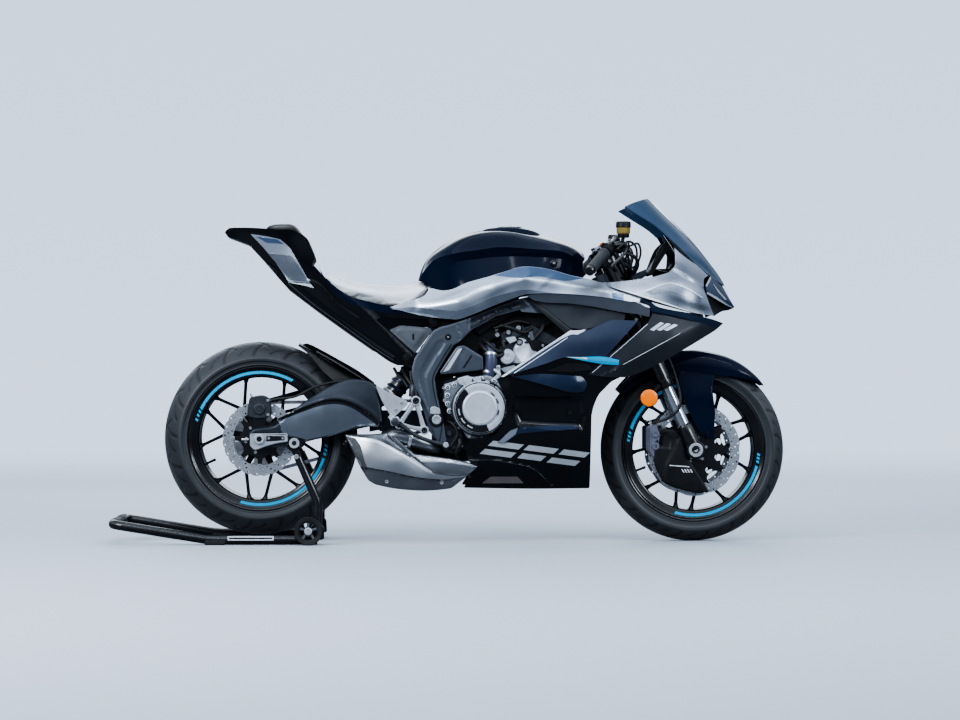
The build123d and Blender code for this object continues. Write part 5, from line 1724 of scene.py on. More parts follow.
    def _cuts(self, angles: np.ndarray, across: np.ndarray, side: np.ndarray) -> np.ndarray:
        """How deep the tread is cut at each point of the tyre.

        Args:
            angles: The angles round the tyre.
            across: The distance from the crown along the section, for each point of it.
            side: Which side of the crown each point of the section is on.

        Returns:
            An array of depths, a row for each angle.
        """
        reach = self.tyre_half * 1.18
        depth = np.zeros((len(angles), len(across)))
        pitch = 2 * math.pi / self.grooves
        for start, end, lean, bend, width, shift in (
                (0.30, 0.97, 0.33, -0.16, 4.6, 0.0), (0.06, 0.62, -0.30, 0.10, 4.2, 0.5),
                (0.55, 0.86, 0.40, -0.20, 3.6, 0.38)):
            t = np.clip((across / reach - start) / (end - start), 0.0, 1.0)
            live = (across / reach > start) & (across / reach < end)
            line = lean * t + bend * t * t
            for j in np.nonzero(live)[0]:
                offset = (shift + (0.5 if side[j] > 0 else 0.0)) * pitch
                gap = (angles - line[j] - offset + pitch / 2) % pitch - pitch / 2
                mm = np.abs(gap) * self.tyre_r * 0.8
                ends = min(1.0, t[j] * 9.0, (1.0 - t[j]) * 9.0)
                depth[:, j] = np.maximum(depth[:, j],
                                         self.tread_mm * ends * np.clip(1.6 - mm / width, 0.0, 1.0))
        return depth


# ---------------------------------------------------------------- bodywork
@dataclass
class Tank:
    """The fuel tank's shell with its raised filler deck."""

    cap_x: float = 195.0
    cap_r: float = 42.0

    def build(self) -> None:
        """Makes the shell, the deck and the filler cap."""
        draft = Draft()
        curves = [
            [(-101, 850, 0), (-92, 880, 0), (-76, 912, 0), (-52, 938, 0), (-20, 962, 0),
             (20, 986, 0), (64, 1001, 0), (115, 1009, 0), (180, 1011, 0), (245, 1006, 0),
             (291, 997, 0), (335, 985, 0), (378, 971, 0), (412, 955, 0), (434, 935, 0),
             (441, 918, 0)],
            [(-101, 848, 56), (-88, 882, 66), (-70, 914, 76), (-12, 951, 92), (52, 979, 104),
             (121, 994, 110), (190, 994, 112), (254, 982, 110), (329, 967, 100), (388, 949, 84),
             (434, 918, 62)],
            [(-100, 847, 78), (-86, 872, 96), (-50, 910, 118), (13, 929, 140), (93, 940, 154),
             (151, 948, 160), (199, 947, 160), (278, 942, 152), (358, 936, 126), (430, 905, 78)],
            [(-99, 846, 84), (-80, 858, 100), (-44, 884, 118), (20, 902, 126), (93, 912, 134),
             (151, 918, 138), (199, 920, 138), (278, 918, 134), (358, 912, 112), (428, 888, 74)],
            [(-98, 843, 84), (-66, 826, 100), (-29, 813, 112), (8, 816, 128), (50, 834, 140),
             (114, 853, 150), (178, 871, 152), (225, 886, 150), (278, 885, 146), (331, 874, 130),
             (384, 858, 106), (427, 850, 76)],
            [(-98, 841, 40), (-29, 812, 60), (50, 826, 70), (178, 850, 70), (278, 858, 70),
             (427, 848, 40)],]
        closed_loft(draft, loft(curves, 90, 8, creases=(2, 3, 4)), NAVY)
        draft.piece("fuel_tank_shell", "chassis", "fuel_tank", sharp=26.0)
        self._deck()
        self._cap()

    def _deck(self) -> None:
        """The raised deck round the filler, and the dark covers at the tank's front."""
        draft = Draft()
        loops = []
        for grow, z in ((6, 1000), (4, 1009), (0, 1014), (-4, 1016.5), (-9, 1017)):
            ring = []
            for a in turns(48):
                c, s = math.cos(a), math.sin(a)
                x = self.cap_x + math.copysign(abs(c) ** 0.75, c) * ((92 if c < 0 else 98) + grow)
                y = math.copysign(abs(s) ** 0.8, s) * (62 + grow - (14 if c > 0 else 4) * abs(c))
                drop = 0.0014 * (x - 185) ** 2
                ring.append((x, y, z - drop * (0.6 if x < 185 else 1.0)))
            loops.append(ring)
        inner = [[(self.cap_x + r * math.cos(a), r * math.sin(a), z) for a in turns(48)] for r,
                 z in ((self.cap_r + 6, 1016.2), (self.cap_r + 1.5, 1013.0),
                       (self.cap_r - 6, 1012.6))]
        draft.rings([*loops, *inner], NAVY, caps=True)
        for side in (-1, 1):
            draft.lathe([(11, -3), (11, 1.5), (9, 3), (7.5, 3), (7, 1), (0.5, 1)],
                        (332, side * 129, 899), (0.15, side, 0), BLACK_METAL, 28)
        draft.piece("filler_deck", "chassis", sharp=40.0)
        for side in (-1, 1):
            SCREWS.add("chassis", ZINC, (332.2, side * 130.4, 899), (0.15, side, 0), 4.6)
        for a in turns(7):
            SCREWS.add("filler_cap", ZINC,
                       (self.cap_x + 33 * math.cos(a + 0.3), 33 * math.sin(a + 0.3), 1019.6), UP,
                       3.4)

    def _cap(self) -> None:
        """The lockable filler cap."""
        draft = Draft()
        r = self.cap_r
        draft.lathe([(r - 2, 1013.9), (r, 1015), (r, 1018.5), (r - 1.5, 1019.8), (r - 14, 1020),
                     (r - 15, 1019), (r - 22, 1019.2), (0.5, 1020.2)], (self.cap_x, 0, 0), UP,
                    DARK_ALLOY, 48)
        draft.box((self.cap_x + 3, 0, 1019.9), (16, 9, 2.0), STEEL)
        draft.piece("filler_cap_lid", "filler_cap", "fuel_cap")


@dataclass
class SideBand:
    """The silver band that runs from the seat under the tank to the nose."""

    sheet: tuple[Place, ...] = (
        (-193, 757, 118), (-120, 742, 126), (-120, 766, 129), (-93, 787, 122), (-61, 816, 116),
        (-67, 733, 136), (-50, 775, 144), (23, 716, 160), (28, 770, 172), (28, 822, 142),
        (144, 765, 180), (145, 822, 186), (145, 862, 160), (229, 797, 188), (229, 845, 190),
        (229, 884, 164), (320, 800, 194), (320, 845, 188), (320, 874, 162), (408, 796, 196),
        (408, 830, 190), (408, 852, 168), (484, 788, 197), (484, 812, 195), (484, 834, 178),
        (603, 770, 199))
    outline: tuple[Flat, ...] = (
        (-193, 757, 0), (-157, 770), (-93, 789), (-72, 803, 3), (-61, 818, 4), (-24, 810), (8, 815),
        (50, 834), (114, 852), (177, 871), (225, 885), (278, 884), (331, 874), (384, 858),
        (426, 850), (484, 834, 0), (517, 819), (601, 797), (613, 790, 0), (600, 771, 0), (540, 780),
        (461, 791), (355, 799), (276, 800), (234, 796), (197, 783), (144, 764), (70, 733),
        (23, 716, 14), (-41, 722), (-93, 730), (-157, 746))

    def build(self) -> None:
        """Makes the band with its tinted upper zone, its painted shade and its dark lower strip."""
        draft = Draft()
        panel = Panel(self.outline, self.sheet, SILVER, (
            Feature(Relief.RIDGE,
                    ((-83, 759), (-51, 760), (29, 787), (113, 824), (177, 842), (240, 849)), 5.0,
                    20.0),
            Feature(Relief.RIDGE, ((235, 849), (300, 842), (400, 826), (500, 806)), 4.0, 16.0),),
                      spacing=8.0)
        panel.cover(draft)
        tint = ((140, 858, 0), (177, 870.5), (225, 884), (278, 883), (331, 873), (384, 857),
                (426, 849, 0), (367, 840), (336, 844), (283, 854), (219, 849), (187, 852))
        panel.cover(draft, tint, SILVER_BLUE, 0.5, 1.6)
        # The band's lower facet in a darker silver: painted shade.
        shade = ((-193, 752, 1), (-120, 740, 1), (-67, 733), (-30, 721), (24, 717, 12), (70, 734),
                 (144, 765), (196, 783), (234, 797), (276, 801), (322, 801, 1), (276, 808),
                 (232, 811), (190, 803), (130, 786), (62, 757), (20, 746), (-60, 751), (-120, 757))
        panel.cover(draft, shade, SILVER_SHADE, 0.7, 1.8, 6.0)
        panel.cover(draft, ((513, 803, 1), (551, 797, 1), (551, 777, 1), (516, 782, 1)),
                    SILVER_BLUE, 0.5, 1.6, 5.0)
        panel.cover(draft, ((552, 797, 1), (577, 792, 1), (577, 773, 1), (552, 777, 1)), WHITE, 0.5,
                    1.6, 5.0)
        draft.mirrored()
        # Soft patches of painted shade on the band, the darker streaks of its reflections.
        shaded(draft.piece("side_band_shells", "chassis", "side_bands", edge=1.2), (
            Shade(70, 768, 110, 13, 22, 0.40), Shade(150, 806, 90, 10, 26, 0.45),
            Shade(306, 833, 44, 7, 42, 0.80), Shade(452, 812, 62, 15, -13, 0.55),
            Shade(-128, 772, 44, 12, 14, 0.65), Shade(206, 858, 60, 7, 8, 0.5),
            Shade(10, 800, 60, 6, 20, 0.5), Shade(390, 834, 50, 8, -14, 0.35)))
        self._strip()

    def _strip(self) -> None:
        """The dark curved strip under the band and the scoop behind it."""
        draft = Draft()
        strip = Panel(
            ((240, 793, 0), (277, 800), (356, 799), (461, 791), (541, 780), (603, 768, 0),
             (636, 748, 4), (634, 724, 2), (600, 733), (541, 741), (461, 757), (382, 768),
             (303, 771), (268, 777, 0)),
            ((240, 790, 176), (277, 800, 188), (303, 771, 172), (382, 768, 174), (382, 799, 192),
             (461, 757, 176), (461, 791, 194), (541, 741, 180), (541, 780, 197), (603, 733, 186),
             (603, 768, 199), (636, 736, 196)), GUNMETAL, spacing=7.0)
        strip.cover(draft)
        scoop = Panel(
            ((280, 772, 4), (384, 764), (470, 750), (560, 735, 8), (556, 712, 10), (484, 699, 6),
             (432, 687), (384, 690, 6)),
            ((280, 772, 150), (384, 764, 156), (470, 750, 160), (560, 735, 166), (484, 699, 150),
             (384, 690, 140), (430, 725, 136)), SCOOP_GREY, spacing=8.0)
        scoop.cover(draft)
        rail = Panel(((238, 789, 2), (262, 786, 2), (392, 680, 2), (370, 672, 2)),
                     ((238, 789, 150), (262, 786, 150), (392, 680, 150), (370, 672, 150)),
                     DARK_PLASTIC, (Feature(Relief.RIDGE, ((250, 780), (380, 682)), 3.0, 7.0),),
                     wall=8.0, spacing=6.0)
        rail.cover(draft)
        draft.mirrored()
        draft.piece("air_scoop_strips", "chassis", edge=1.0)


@dataclass
class MidPanel:
    """The navy panel beside the radiator, with its pale leading strip and coloured accent."""

    outline: tuple[Flat, ...] = (
        (158, 534, 3), (380, 681, 12), (432, 682), (470, 697), (513, 716, 10), (598, 713, 6),
        (494, 598, 3), (364, 596), (300, 575), (199, 544, 4))
    sheet: tuple[Place, ...] = (
        (158, 534, 196), (199, 544, 204), (268, 608, 196), (300, 575, 207), (380, 681, 195),
        (384, 640, 205), (388, 598, 207), (440, 684, 196), (440, 642, 207), (446, 598, 207),
        (513, 716, 194), (504, 660, 205), (494, 600, 206), (598, 713, 194))

    def build(self) -> None:
        """Makes the panel and what is laid on it."""
        draft = Draft()
        panel = Panel(self.outline, self.sheet, MID_NAVY, spacing=8.0)
        panel.cover(draft)
        strip = ((159, 534, 1), (380, 681.5, 2), (430, 682, 1), (404, 668, 2), (382, 668),
                 (168, 533, 1))
        panel.cover(draft, strip, ALLOY, 1.0, 3.0, 6.0)
        line = ((200, 546, 0), (372, 660, 0), (372, 657.5, 0), (202, 544.5, 0))
        panel.cover(draft, line, WHITE, 0.5, 1.5, 6.0)
        draft.mirrored()
        draft.piece("mid_fairing_shells", "chassis", "mid_panels", edge=1.2)
        self._accent()

    def _accent(self) -> None:
        """The coloured blade with its thin white lead."""
        draft = Draft()
        blade = Panel(
            ((364, 597, 0), (419, 597), (484, 598), (536, 587, 3), (534, 571, 3), (484, 574),
             (432, 583, 0)),
            ((364, 596, 207), (419, 596, 212), (484, 597, 216), (536, 586, 217), (534, 571, 214),
             (432, 583, 208)), CYAN, (Feature(Relief.RIDGE, ((430, 590), (530, 580)), 2.5, 7.0),),
            wall=5.0, spacing=5.0)
        blade.cover(draft)
        blade.cover(draft, ((364, 597, 0), (430, 596, 0), (436, 589, 0)), WHITE, 0.6, 1.6, 5.0)
        draft.mirrored()
        draft.piece("accent_blades", "chassis", edge=0.8)


@dataclass
class Belly:
    """The lower fairing with its winglet bulge, scoop, ridge and plain diagonal stripes."""

    outline: tuple[Flat, ...] = (
        (203, 543, 0), (186, 500), (180, 440), (168, 390), (143, 347, 16), (100, 340),
        (62, 334, 12), (50, 296), (60, 262), (84, 238, 8), (62, 210), (42, 178, 6), (250, 174),
        (448, 175, 6), (448, 300), (449, 410, 6), (456, 440), (473, 478), (494, 500, 6), (512, 518),
        (540, 532, 4), (494, 597.5, 0), (388, 597), (364, 596), (300, 575))
    sheet: tuple[Place, ...] = (
        (203, 543, 203), (186, 430, 199), (150, 340, 190), (62, 300, 176), (84, 240, 160),
        (50, 190, 136), (300, 575, 206), (262, 430, 203), (240, 340, 194), (200, 250, 170),
        (180, 178, 124), (388, 597, 206), (350, 430, 203), (340, 340, 194), (330, 250, 168),
        (320, 178, 122), (494, 597, 205), (455, 430, 198), (448, 340, 186), (448, 250, 160),
        (448, 178, 118), (540, 532, 207))
    seam: tuple[Flat, ...] = ((40, 262), (120, 268), (200, 256), (262, 240), (310, 200), (330, 172))

    def build(self) -> None:
        """Makes the panel and all that is on it."""
        draft = Draft()
        panel = Panel(self.outline, self.sheet, BLACK_GLOSS, (
            Feature(Relief.FIELD,
                    ((200, 476, 10), (300, 470), (424, 474, 14), (436, 420, 12), (420, 362, 8),
                     (300, 366), (215, 372, 12), (196, 420)), -16.0, 26.0),
            Feature(Relief.FOLD, self.seam, -5.0, 4.0),), spacing=8.0)
        panel.cover(draft)
        draft.mirrored()
        draft.piece("belly_fairing_shells", "chassis", "belly_panels", edge=1.2)
        self._winglet()
        self._trims(panel)

    def _winglet(self) -> None:
        """The long navy bulge below the accent."""
        draft = Draft()
        lens = Panel(
            ((198, 534, 2), (280, 543), (416, 535, 8), (437, 512, 14), (424, 486, 10), (384, 484),
             (290, 510)),
            ((198, 534, 205), (280, 543, 209), (280, 516, 216), (416, 535, 210), (437, 512, 210),
             (400, 510, 232), (330, 520, 228), (384, 484, 208), (424, 486, 208), (290, 510, 212)),
            NAVY_SATIN, wall=6.0, spacing=6.0)
        lens.cover(draft)
        vent = Panel(
            ((302, 552, 2), (372, 577, 4), (436, 574, 6), (452, 556, 6), (380, 549)),
            ((302, 552, 206.5), (372, 577, 206.5), (436, 574, 206.5), (452, 556, 206.5),
             (380, 560, 204)), BLACK_PLASTIC, wall=3.0, spacing=6.0)
        vent.cover(draft)
        draft.mirrored()
        draft.piece("winglet_bulges", "chassis", edge=1.0)

    def _trims(self, panel: Panel) -> None:
        """The ridge, the plain stripes, the seam's pale line and the lower window.

        Args:
            panel: The lower fairing's surface.
        """
        draft = Draft()
        ridge = ((150, 325, 1), (188, 360, 4), (226, 372, 6), (300, 378), (392, 380, 4),
                 (408, 366, 4), (300, 360), (214, 352, 6), (178, 325, 1))
        panel.cover(draft, ridge, NAVY_SATIN, 5.0, 6.0, 6.0)
        panel.cover(draft,
                    ((152, 326, 1), (189, 362, 2), (214, 371, 1), (206, 350, 1), (168, 322, 1)),
                    SILVER, 6.0, 3.0, 6.0)
        high = 16
        slant = high * 1.1
        for x0, z0, length in ((118, 314, 98), (232, 300, 96), (344, 286, 84), (92, 288, 100),
                               (212, 274, 76), (306, 260, 92)):
            fall = -length * 0.13
            stripe = ((x0, z0, 0), (x0 + slant, z0 + high, 0),
                      (x0 + slant + length, z0 + high + fall, 0), (x0 + length, z0 + fall, 0))
            panel.cover(draft, stripe, STRIPE_GREY, 0.5, 1.2, 9.0)
        above = [(x, z + 2.2) for x, z in self.seam[:-1]]
        line = [(*above[0], 0), *above[1:-1], (*above[-1], 0),
                (self.seam[-2][0] + 1, self.seam[-2][1] - 0.5, 0), *reversed(self.seam[1:-2]),
                (*self.seam[0], 0)]
        panel.cover(draft, line, SILVER, 0.5, 1.2, 7.0)
        window = ((100, 192, 4), (128, 214, 6), (214, 214, 4), (236, 192, 6))
        panel.cover(draft, window, VENT_TINT, 0.6, 1.6, 7.0)
        draft.mirrored()
        draft.piece("belly_trims", "chassis", edge=0.5)


@dataclass
class DuctPanel:
    """The dark side panel that runs down from the nose, with its navy top edge and pale lines."""

    outline: tuple[Flat, ...] = (
        (437, 541, 4), (497, 600, 10), (565, 652), (628, 706, 6), (640, 728, 4), (645, 741, 3),
        (700, 731), (778, 714), (832, 697), (854, 684, 3), (731, 613, 16), (640, 563),
        (561, 532, 10), (500, 533))
    sheet: tuple[Place, ...] = (
        (437, 541, 211), (497, 600, 213), (561, 532, 209), (560, 590, 221), (628, 706, 210),
        (640, 563, 206), (640, 640, 222), (645, 741, 203), (731, 613, 196), (700, 690, 212),
        (740, 726, 190), (790, 690, 176), (832, 697, 146), (854, 684, 126))
    navy_edge: tuple[Flat, ...] = (
        (603, 783, 0), (640, 768), (700, 754), (777, 731), (838, 719), (879, 706, 3), (854, 684, 2),
        (826, 697), (738, 722), (660, 738), (640, 742, 4), (634, 757, 4))

    def build(self) -> None:
        """Makes the panel, its pale lines and its navy top edge."""
        draft = Draft()
        panel = Panel(self.outline, self.sheet, GRAPHITE, (
            Feature(Relief.FOLD, ((541, 570), (636, 619), (729, 672), (800, 705)), -7.0, 60.0),),
                      spacing=8.0)
        panel.cover(draft)
        for start, end in (((444, 545), (626, 702)), ((541, 571), (731, 673))):
            dx, dz = end[0] - start[0], end[1] - start[1]
            run = math.hypot(dx, dz)
            nx, nz = -dz / run * 1.5, dx / run * 1.5
            line = ((start[0] + 6, start[1] + 2, 0), (end[0], end[1], 0),
                    (end[0] - nx, end[1] - nz, 0), (start[0] - nx + 6, start[1] - nz + 2, 0))
            panel.cover(draft, line, WHITE, 0.5, 1.4, 7.0)
        for k in range(3):
            x0 = 634 + 22 * k
            panel.cover(draft, ((x0, 684, 0), (x0 + 34, 708 - 3 * k, 0), (x0 + 46, 704 - 3 * k, 0),
                                (x0 + 12, 680, 0)), SILVER, 0.5, 1.4, 8.0)
        top = Panel(self.navy_edge, (
            (603, 783, 200), (640, 768, 204), (700, 754, 202), (777, 731, 184), (838, 719, 152),
            (879, 706, 122), (854, 684, 122), (826, 697, 150), (738, 722, 194), (650, 742, 206)),
            NAVY_SATIN, spacing=7.0)
        top.cover(draft)
        draft.mirrored()
        draft.piece("duct_side_shells", "chassis", "duct_panels", edge=1.2)


@dataclass
class Nose:
    """The silver nose cheeks, the beak, the lamps and the intake under them."""

    outline: tuple[Flat, ...] = (
        (480, 834, 0), (540, 838), (598, 845), (655, 855), (700, 868, 10), (720, 890, 8),
        (721, 930), (719, 957, 2), (729, 948, 0), (790, 896), (832, 860, 3), (816, 850, 4),
        (812, 820), (822, 790), (846, 728, 2), (775, 739), (700, 762), (613, 791, 0), (601, 797),
        (540, 812))
    sheet: tuple[Place, ...] = (
        (480, 834, 178), (520, 816, 196), (598, 845, 182), (598, 794, 201), (655, 856, 178),
        (655, 790, 202), (700, 868, 168), (708, 832, 190), (708, 788, 199), (700, 762, 200),
        (720, 900, 148), (720, 955, 130), (748, 868, 168), (777, 849, 162), (775, 739, 186),
        (790, 800, 176), (790, 896, 118), (815, 827, 146), (832, 860, 100), (846, 728, 150))

    def build(self) -> None:
        """Makes every part of the nose."""
        draft = Draft()
        panel = Panel(self.outline, self.sheet, NOSE_SHADED_SILVER, (
            Feature(Relief.RIDGE, ((722, 884), (748, 868), (777, 849), (812, 828)), 6.0, 9.0),
        ), spacing=6.5)
        panel.cover(draft)
        # Under the arc, a darker silver as painted shade.
        panel.cover(draft,
                    ((622, 806, 1), (673, 826), (703, 831), (721, 828), (765, 810), (804, 786, 1),
                     (800, 768, 1), (760, 782), (714, 797), (680, 800), (640, 795, 1)), NOSE_SHADE,
                    0.7, 1.8, 5.0)
        # Along the arc's top edge, a bright silver as a painted highlight.
        panel.cover(draft,
                    ((614, 806, 1), (673, 829), (703, 834), (722, 831), (767, 812.5), (809, 788, 1),
                     (804, 786, 1), (765, 810), (721, 828), (703, 831), (673, 826), (622, 806, 1)),
                    NOSE_HIGHLIGHT, 1.2, 2.4, 4.0)
        # In the small recess, a darker silver as painted shade.
        panel.cover(draft,
                    ((668, 816, 1), (705, 815, 1), (754, 795, 1), (752, 789, 1), (705, 808, 1),
                     (670, 809, 1)), FACET_SHADE, 1.3, 2.2, 5.0)
        for blade in (((500, 824, 0), (611, 794), (689, 769), (771, 739, 0), (700, 760),
                       (620, 785)),
                      ((640, 771, 0), (700, 755), (771, 737, 0), (708, 746), (655, 759))):
            panel.cover(draft, blade, WHITE, 2.0, 3.0, 6.0)
        draft.mirrored()
        # Soft patches of painted shade on the nose.
        shaded(draft.piece("nose_cheek_shells", "chassis", "nose_cowl", edge=1.2), (
            Shade(740, 776, 96, 16, -22, 0.80), Shade(806, 842, 66, 40, -40, 0.60),
            Shade(690, 846, 40, 9, 0, 0.25), Shade(742, 868, 26, 40, 0, 0.30),
            Shade(610, 826, 34, 7, 10, 0.30), Shade(800, 758, 60, 14, -10, 0.6)))
        self._beak()

    def _beak(self) -> None:
        """The pointed front: the lens, its pale edging and the dark intake below."""
        draft = Draft()
        lens = Panel(
            ((819, 826, 4), (839, 858, 2), (851, 832), (878, 800), (903, 776), (927, 759, 3),
             (905, 763), (856, 786), (824, 801, 4)),
            ((819, 826, 142), (839, 858, 100), (851, 832, 100), (878, 800, 78), (903, 776, 50),
             (927, 759, 8), (905, 763, 44), (856, 786, 106), (824, 801, 142)), LAMP, spacing=5.0)
        lens.cover(draft)
        for edge in (((819, 826, 1), (839, 858, 1), (842, 851, 1), (824, 822, 1)),
                     ((822, 801, 1), (856, 784), (905, 762), (927, 758, 1), (905, 766), (860, 791),
                      (826, 806, 1)),
                     ((845, 838, 1), (872, 808), (897, 783), (893, 782), (866, 806, 1))):
            lens.cover(draft, edge, ALLOY, 1.5, 3.0, 4.0)
        intake = Panel(
            ((823, 800, 2), (856, 784), (905, 762), (925, 757, 2), (908, 750, 3), (884, 746),
             (848, 728, 3)),
            ((823, 800, 138), (856, 784, 100), (905, 762, 38), (925, 757, 8), (908, 750, 8),
             (884, 746, 46), (848, 728, 132), (860, 760, 78)), BLACK_PLASTIC, spacing=5.0)
        intake.cover(draft)
        draft.mirrored()
        top = loft([[(839, 858, 100), (851, 832, 98), (878, 800, 76), (903, 776, 48),
                     (927, 759, 8)],
                    [(846, 872, 60), (868, 842, 58), (892, 806, 46), (912, 780, 30), (928, 760, 5)],
                    [(850, 884, 0), (880, 846, 0), (902, 808, 0), (918, 780, 0), (930, 761, 0)]],
                   20, 5)
        whole = top + [[(x, -y, z) for x, y, z in row] for row in reversed(top[:-1])]
        draft.add([p for row in whole for p in row], grid_faces(len(whole), 20), NAVY_SATIN)
        draft.add([(x - 3, y * 0.98, z - 3) for row in whole for x, y, z in row],
                  grid_faces(len(whole), 20, True), BLACK_PLASTIC)
        draft.piece("nose_beak_and_lamps", "chassis", "headlamps", edge=0.0)


@dataclass
class Windscreen:
    """The tinted screen, with its dark lower frame."""

    curves: tuple[tuple[Place, ...], ...] = (
        ((561, 1081, 128), (600, 1056, 130), (660, 1018, 131), (712, 972, 132), (745, 941, 131),
         (790, 898, 118), (837, 861, 99)),
        ((590, 1094, 116), (640, 1058, 118), (686, 1024, 119), (736, 978, 119), (774, 936, 117),
         (812, 892, 100), (856, 848, 76)),
        ((628, 1107, 78), (684, 1056, 80), (728, 1016, 82), (778, 964, 82), (822, 912, 78),
         (856, 868, 62), (880, 836, 46)),
        ((655, 1112, 0), (707, 1059, 0), (754, 1014, 0), (804, 960, 0), (848, 904, 0),
         (878, 864, 0), (897, 832, 0)))
    glass: float = 3.0

    def build(self) -> None:
        """Makes the screen."""
        draft = Draft()
        rows = loft(self.curves, 44, 7)
        whole = rows + [[(x, -y, z) for x, y, z in row] for row in reversed(rows[:-1])]
        columns = len(whole[0])
        front = [p for row in whole for p in row]
        back = [(x - self.glass * 0.75, y * 0.985, z - self.glass * 0.75) for x, y, z in front]
        draft.add(front, grid_faces(len(whole), columns), SMOKE)
        draft.add(back, grid_faces(len(whole), columns, True), SMOKE)
        border = [(0, j) for j in range(columns)] + [(i, columns - 1) for i in range(1, len(whole))]
        border += [(len(whole) - 1, j) for j in range(columns - 2, -1, -1)]
        border += [(i, 0) for i in range(len(whole) - 2, 0, -1)]
        ring = [front[i * columns + j] for i, j in border]
        under = [back[i * columns + j] for i, j in border]
        count = len(ring)
        draft.add(ring + under,
                  [(i, i + count, (i + 1) % count + count, (i + 1) % count) for i in range(count)],
                  SMOKE)
        draft.piece("tinted_screen", "chassis", "windscreen", sharp=60.0)
        trim = Draft()
        edge = [(p[0], -p[2], p[1]) for p in catmull(self.curves[0])]
        for side in (1, -1):
            trim.tube([(x - 3, y * side, z - 4) for x, y, z in edge[30:]], 3.4, BLACK_PLASTIC, 8)
        trim.piece("screen_edge_trim", "chassis")


@dataclass
class Tail:
    """The tail cowl, its silver insert, the passenger pad and the small side covers."""

    outline: tuple[Flat, ...] = (
        (-727, 1003, 6), (-711, 1014, 4), (-660, 1014), (-618, 1012, 4), (-520, 1004, 10),
        (-477, 992, 6), (-458, 975, 4), (-434, 917, 6), (-446, 898, 6), (-414, 863, 4), (-375, 822),
        (-331, 792), (-261, 773), (-198, 760), (-104, 745, 2), (-50, 731, 4), (-54, 700, 6),
        (-80, 719, 4), (-220, 725, 6), (-240, 717, 6), (-200, 682), (-128, 612, 4), (-121, 600, 4),
        (-135, 592), (-169, 571, 4), (-194, 582), (-242, 615), (-338, 682), (-431, 749),
        (-518, 815, 24), (-546, 844), (-598, 907), (-633, 947, 12), (-647, 960), (-716, 986, 6))
    sheet: tuple[Place, ...] = (
        (-727, 1000, 42), (-690, 1012, 64), (-690, 975, 58), (-618, 1012, 86), (-610, 940, 76),
        (-560, 990, 100), (-546, 844, 82), (-500, 900, 104), (-500, 1000, 100), (-434, 917, 112),
        (-431, 749, 98), (-414, 860, 116), (-375, 780, 116), (-331, 792, 120), (-338, 682, 106),
        (-261, 773, 120), (-242, 615, 108), (-198, 760, 122), (-230, 700, 116), (-50, 731, 128),
        (-104, 745, 126), (-54, 700, 124), (-169, 571, 110), (-121, 600, 112), (-200, 682, 116))
    insert: tuple[Flat, ...] = (
        (-642, 992, 2), (-603, 951), (-559, 898), (-520, 840, 4), (-450, 834, 2), (-476, 881),
        (-515, 948, 8), (-546, 975, 6), (-600, 986))

    def build(self) -> None:
        """Makes the whole tail."""
        draft = Draft()
        crest = Feature(Relief.FOLD,
                        ((-431, 915), (-400, 850), (-352, 806), (-282, 752), (-220, 690),
                         (-160, 628), (-122, 596)), -9.0, 34.0)
        lip = Feature(Relief.RIDGE,
                      ((-612, 900), (-520, 838), (-440, 772), (-345, 703), (-250, 634),
                       (-184, 590)), 4.0, 8.0)
        edge = Feature(Relief.RIDGE, ((-452, 838), (-424, 826), (-372, 770), (-296, 716)), 4.0, 7.0)
        panel = Panel(self.outline, self.sheet, BLACK_GLOSS, (crest, lip, edge), wall=5.0,
                      spacing=7.0)
        panel.cover(draft)
        draft.mirrored()
        self._deck(draft, panel)
        draft.piece("tail_cowl_shell", "chassis", "tail_cowl", edge=1.4)
        trim = Draft()
        panel.cover(trim, self.insert, SILVER, 4.0, 6.0, 6.0)
        panel.cover(trim, ((-626, 985, 2), (-556, 975, 5), (-534, 960, 3), (-590, 964, 3)),
                    SILVER_BLUE, 5.0, 3.0, 6.0)
        # The insert's lower facet in a darker silver: painted shade.
        panel.cover(trim,
                    ((-588, 932, 2), (-510, 922, 3), (-480, 879), (-456, 838, 2), (-518, 844, 3),
                     (-558, 897)), FACET_SHADE, 5.0, 3.0, 6.0)
        # A thin white strip under the insert: a painted highlight.
        panel.cover(trim, ((-524, 838, 1), (-449, 832, 1), (-437, 818, 1), (-466, 826, 1)), WHITE,
                    1.0, 2.0, 5.0)
        # Navy laid on the upper facet of the black cowl: a painted reflection.
        panel.cover(trim,
                    ((-431, 910, 2), (-412, 866), (-373, 824), (-330, 795), (-261, 775),
                     (-198, 762), (-104, 747, 1), (-118, 735, 1), (-225, 742), (-312, 766),
                     (-366, 800), (-412, 862)), NAVY, 0.6, 1.8, 7.0)
        # A thin pale line along the cowl's lower lip: a painted highlight.
        panel.cover(trim,
                    ((-520, 835, 1), (-440, 768), (-345, 700), (-250, 632), (-184, 588, 1),
                     (-184, 586, 1), (-250, 629.5), (-345, 697.5), (-440, 765.5), (-520, 832, 1)),
                    GUNMETAL, 3.6, 4.4, 7.0)
        cover = Panel(
            ((-196, 684, 5), (-161, 699, 6), (-65, 691, 5), (-58, 679, 4), (-113, 609, 5)),
            ((-196, 684, 112), (-161, 699, 112), (-65, 691, 114), (-58, 679, 114),
             (-113, 609, 112)), GREY_PLASTIC,
            (Feature(Relief.FIELD, ((-180, 682, 4), (-158, 692, 4), (-72, 685, 4), (-114, 622, 4)),
                     2.0, 6.0),), wall=3.0, spacing=6.0)
        cover.cover(trim)
        slot = ((-122, 672, 2), (-116, 672, 2), (-116, 652, 2), (-122, 652, 2))
        cover.cover(trim, slot, BLACK_PLASTIC, 0.4, 1.0, 4.0)
        trim.plate(((-240, 716, 4), (-220, 724, 5), (-54, 716, 4), (-54, 696, 4), (-160, 696, 4),
                    (-200, 680, 4)), -98, -106, BLACK_GLOSS, 2.0)
        trim.mirrored()
        trim.piece("tail_inserts_and_covers", "chassis", "tail_trim", edge=1.0)
        self._pad()
        for x, z in ((-54, 708), (-139, 593)):
            LugBolt.add(x, z, -126.0)

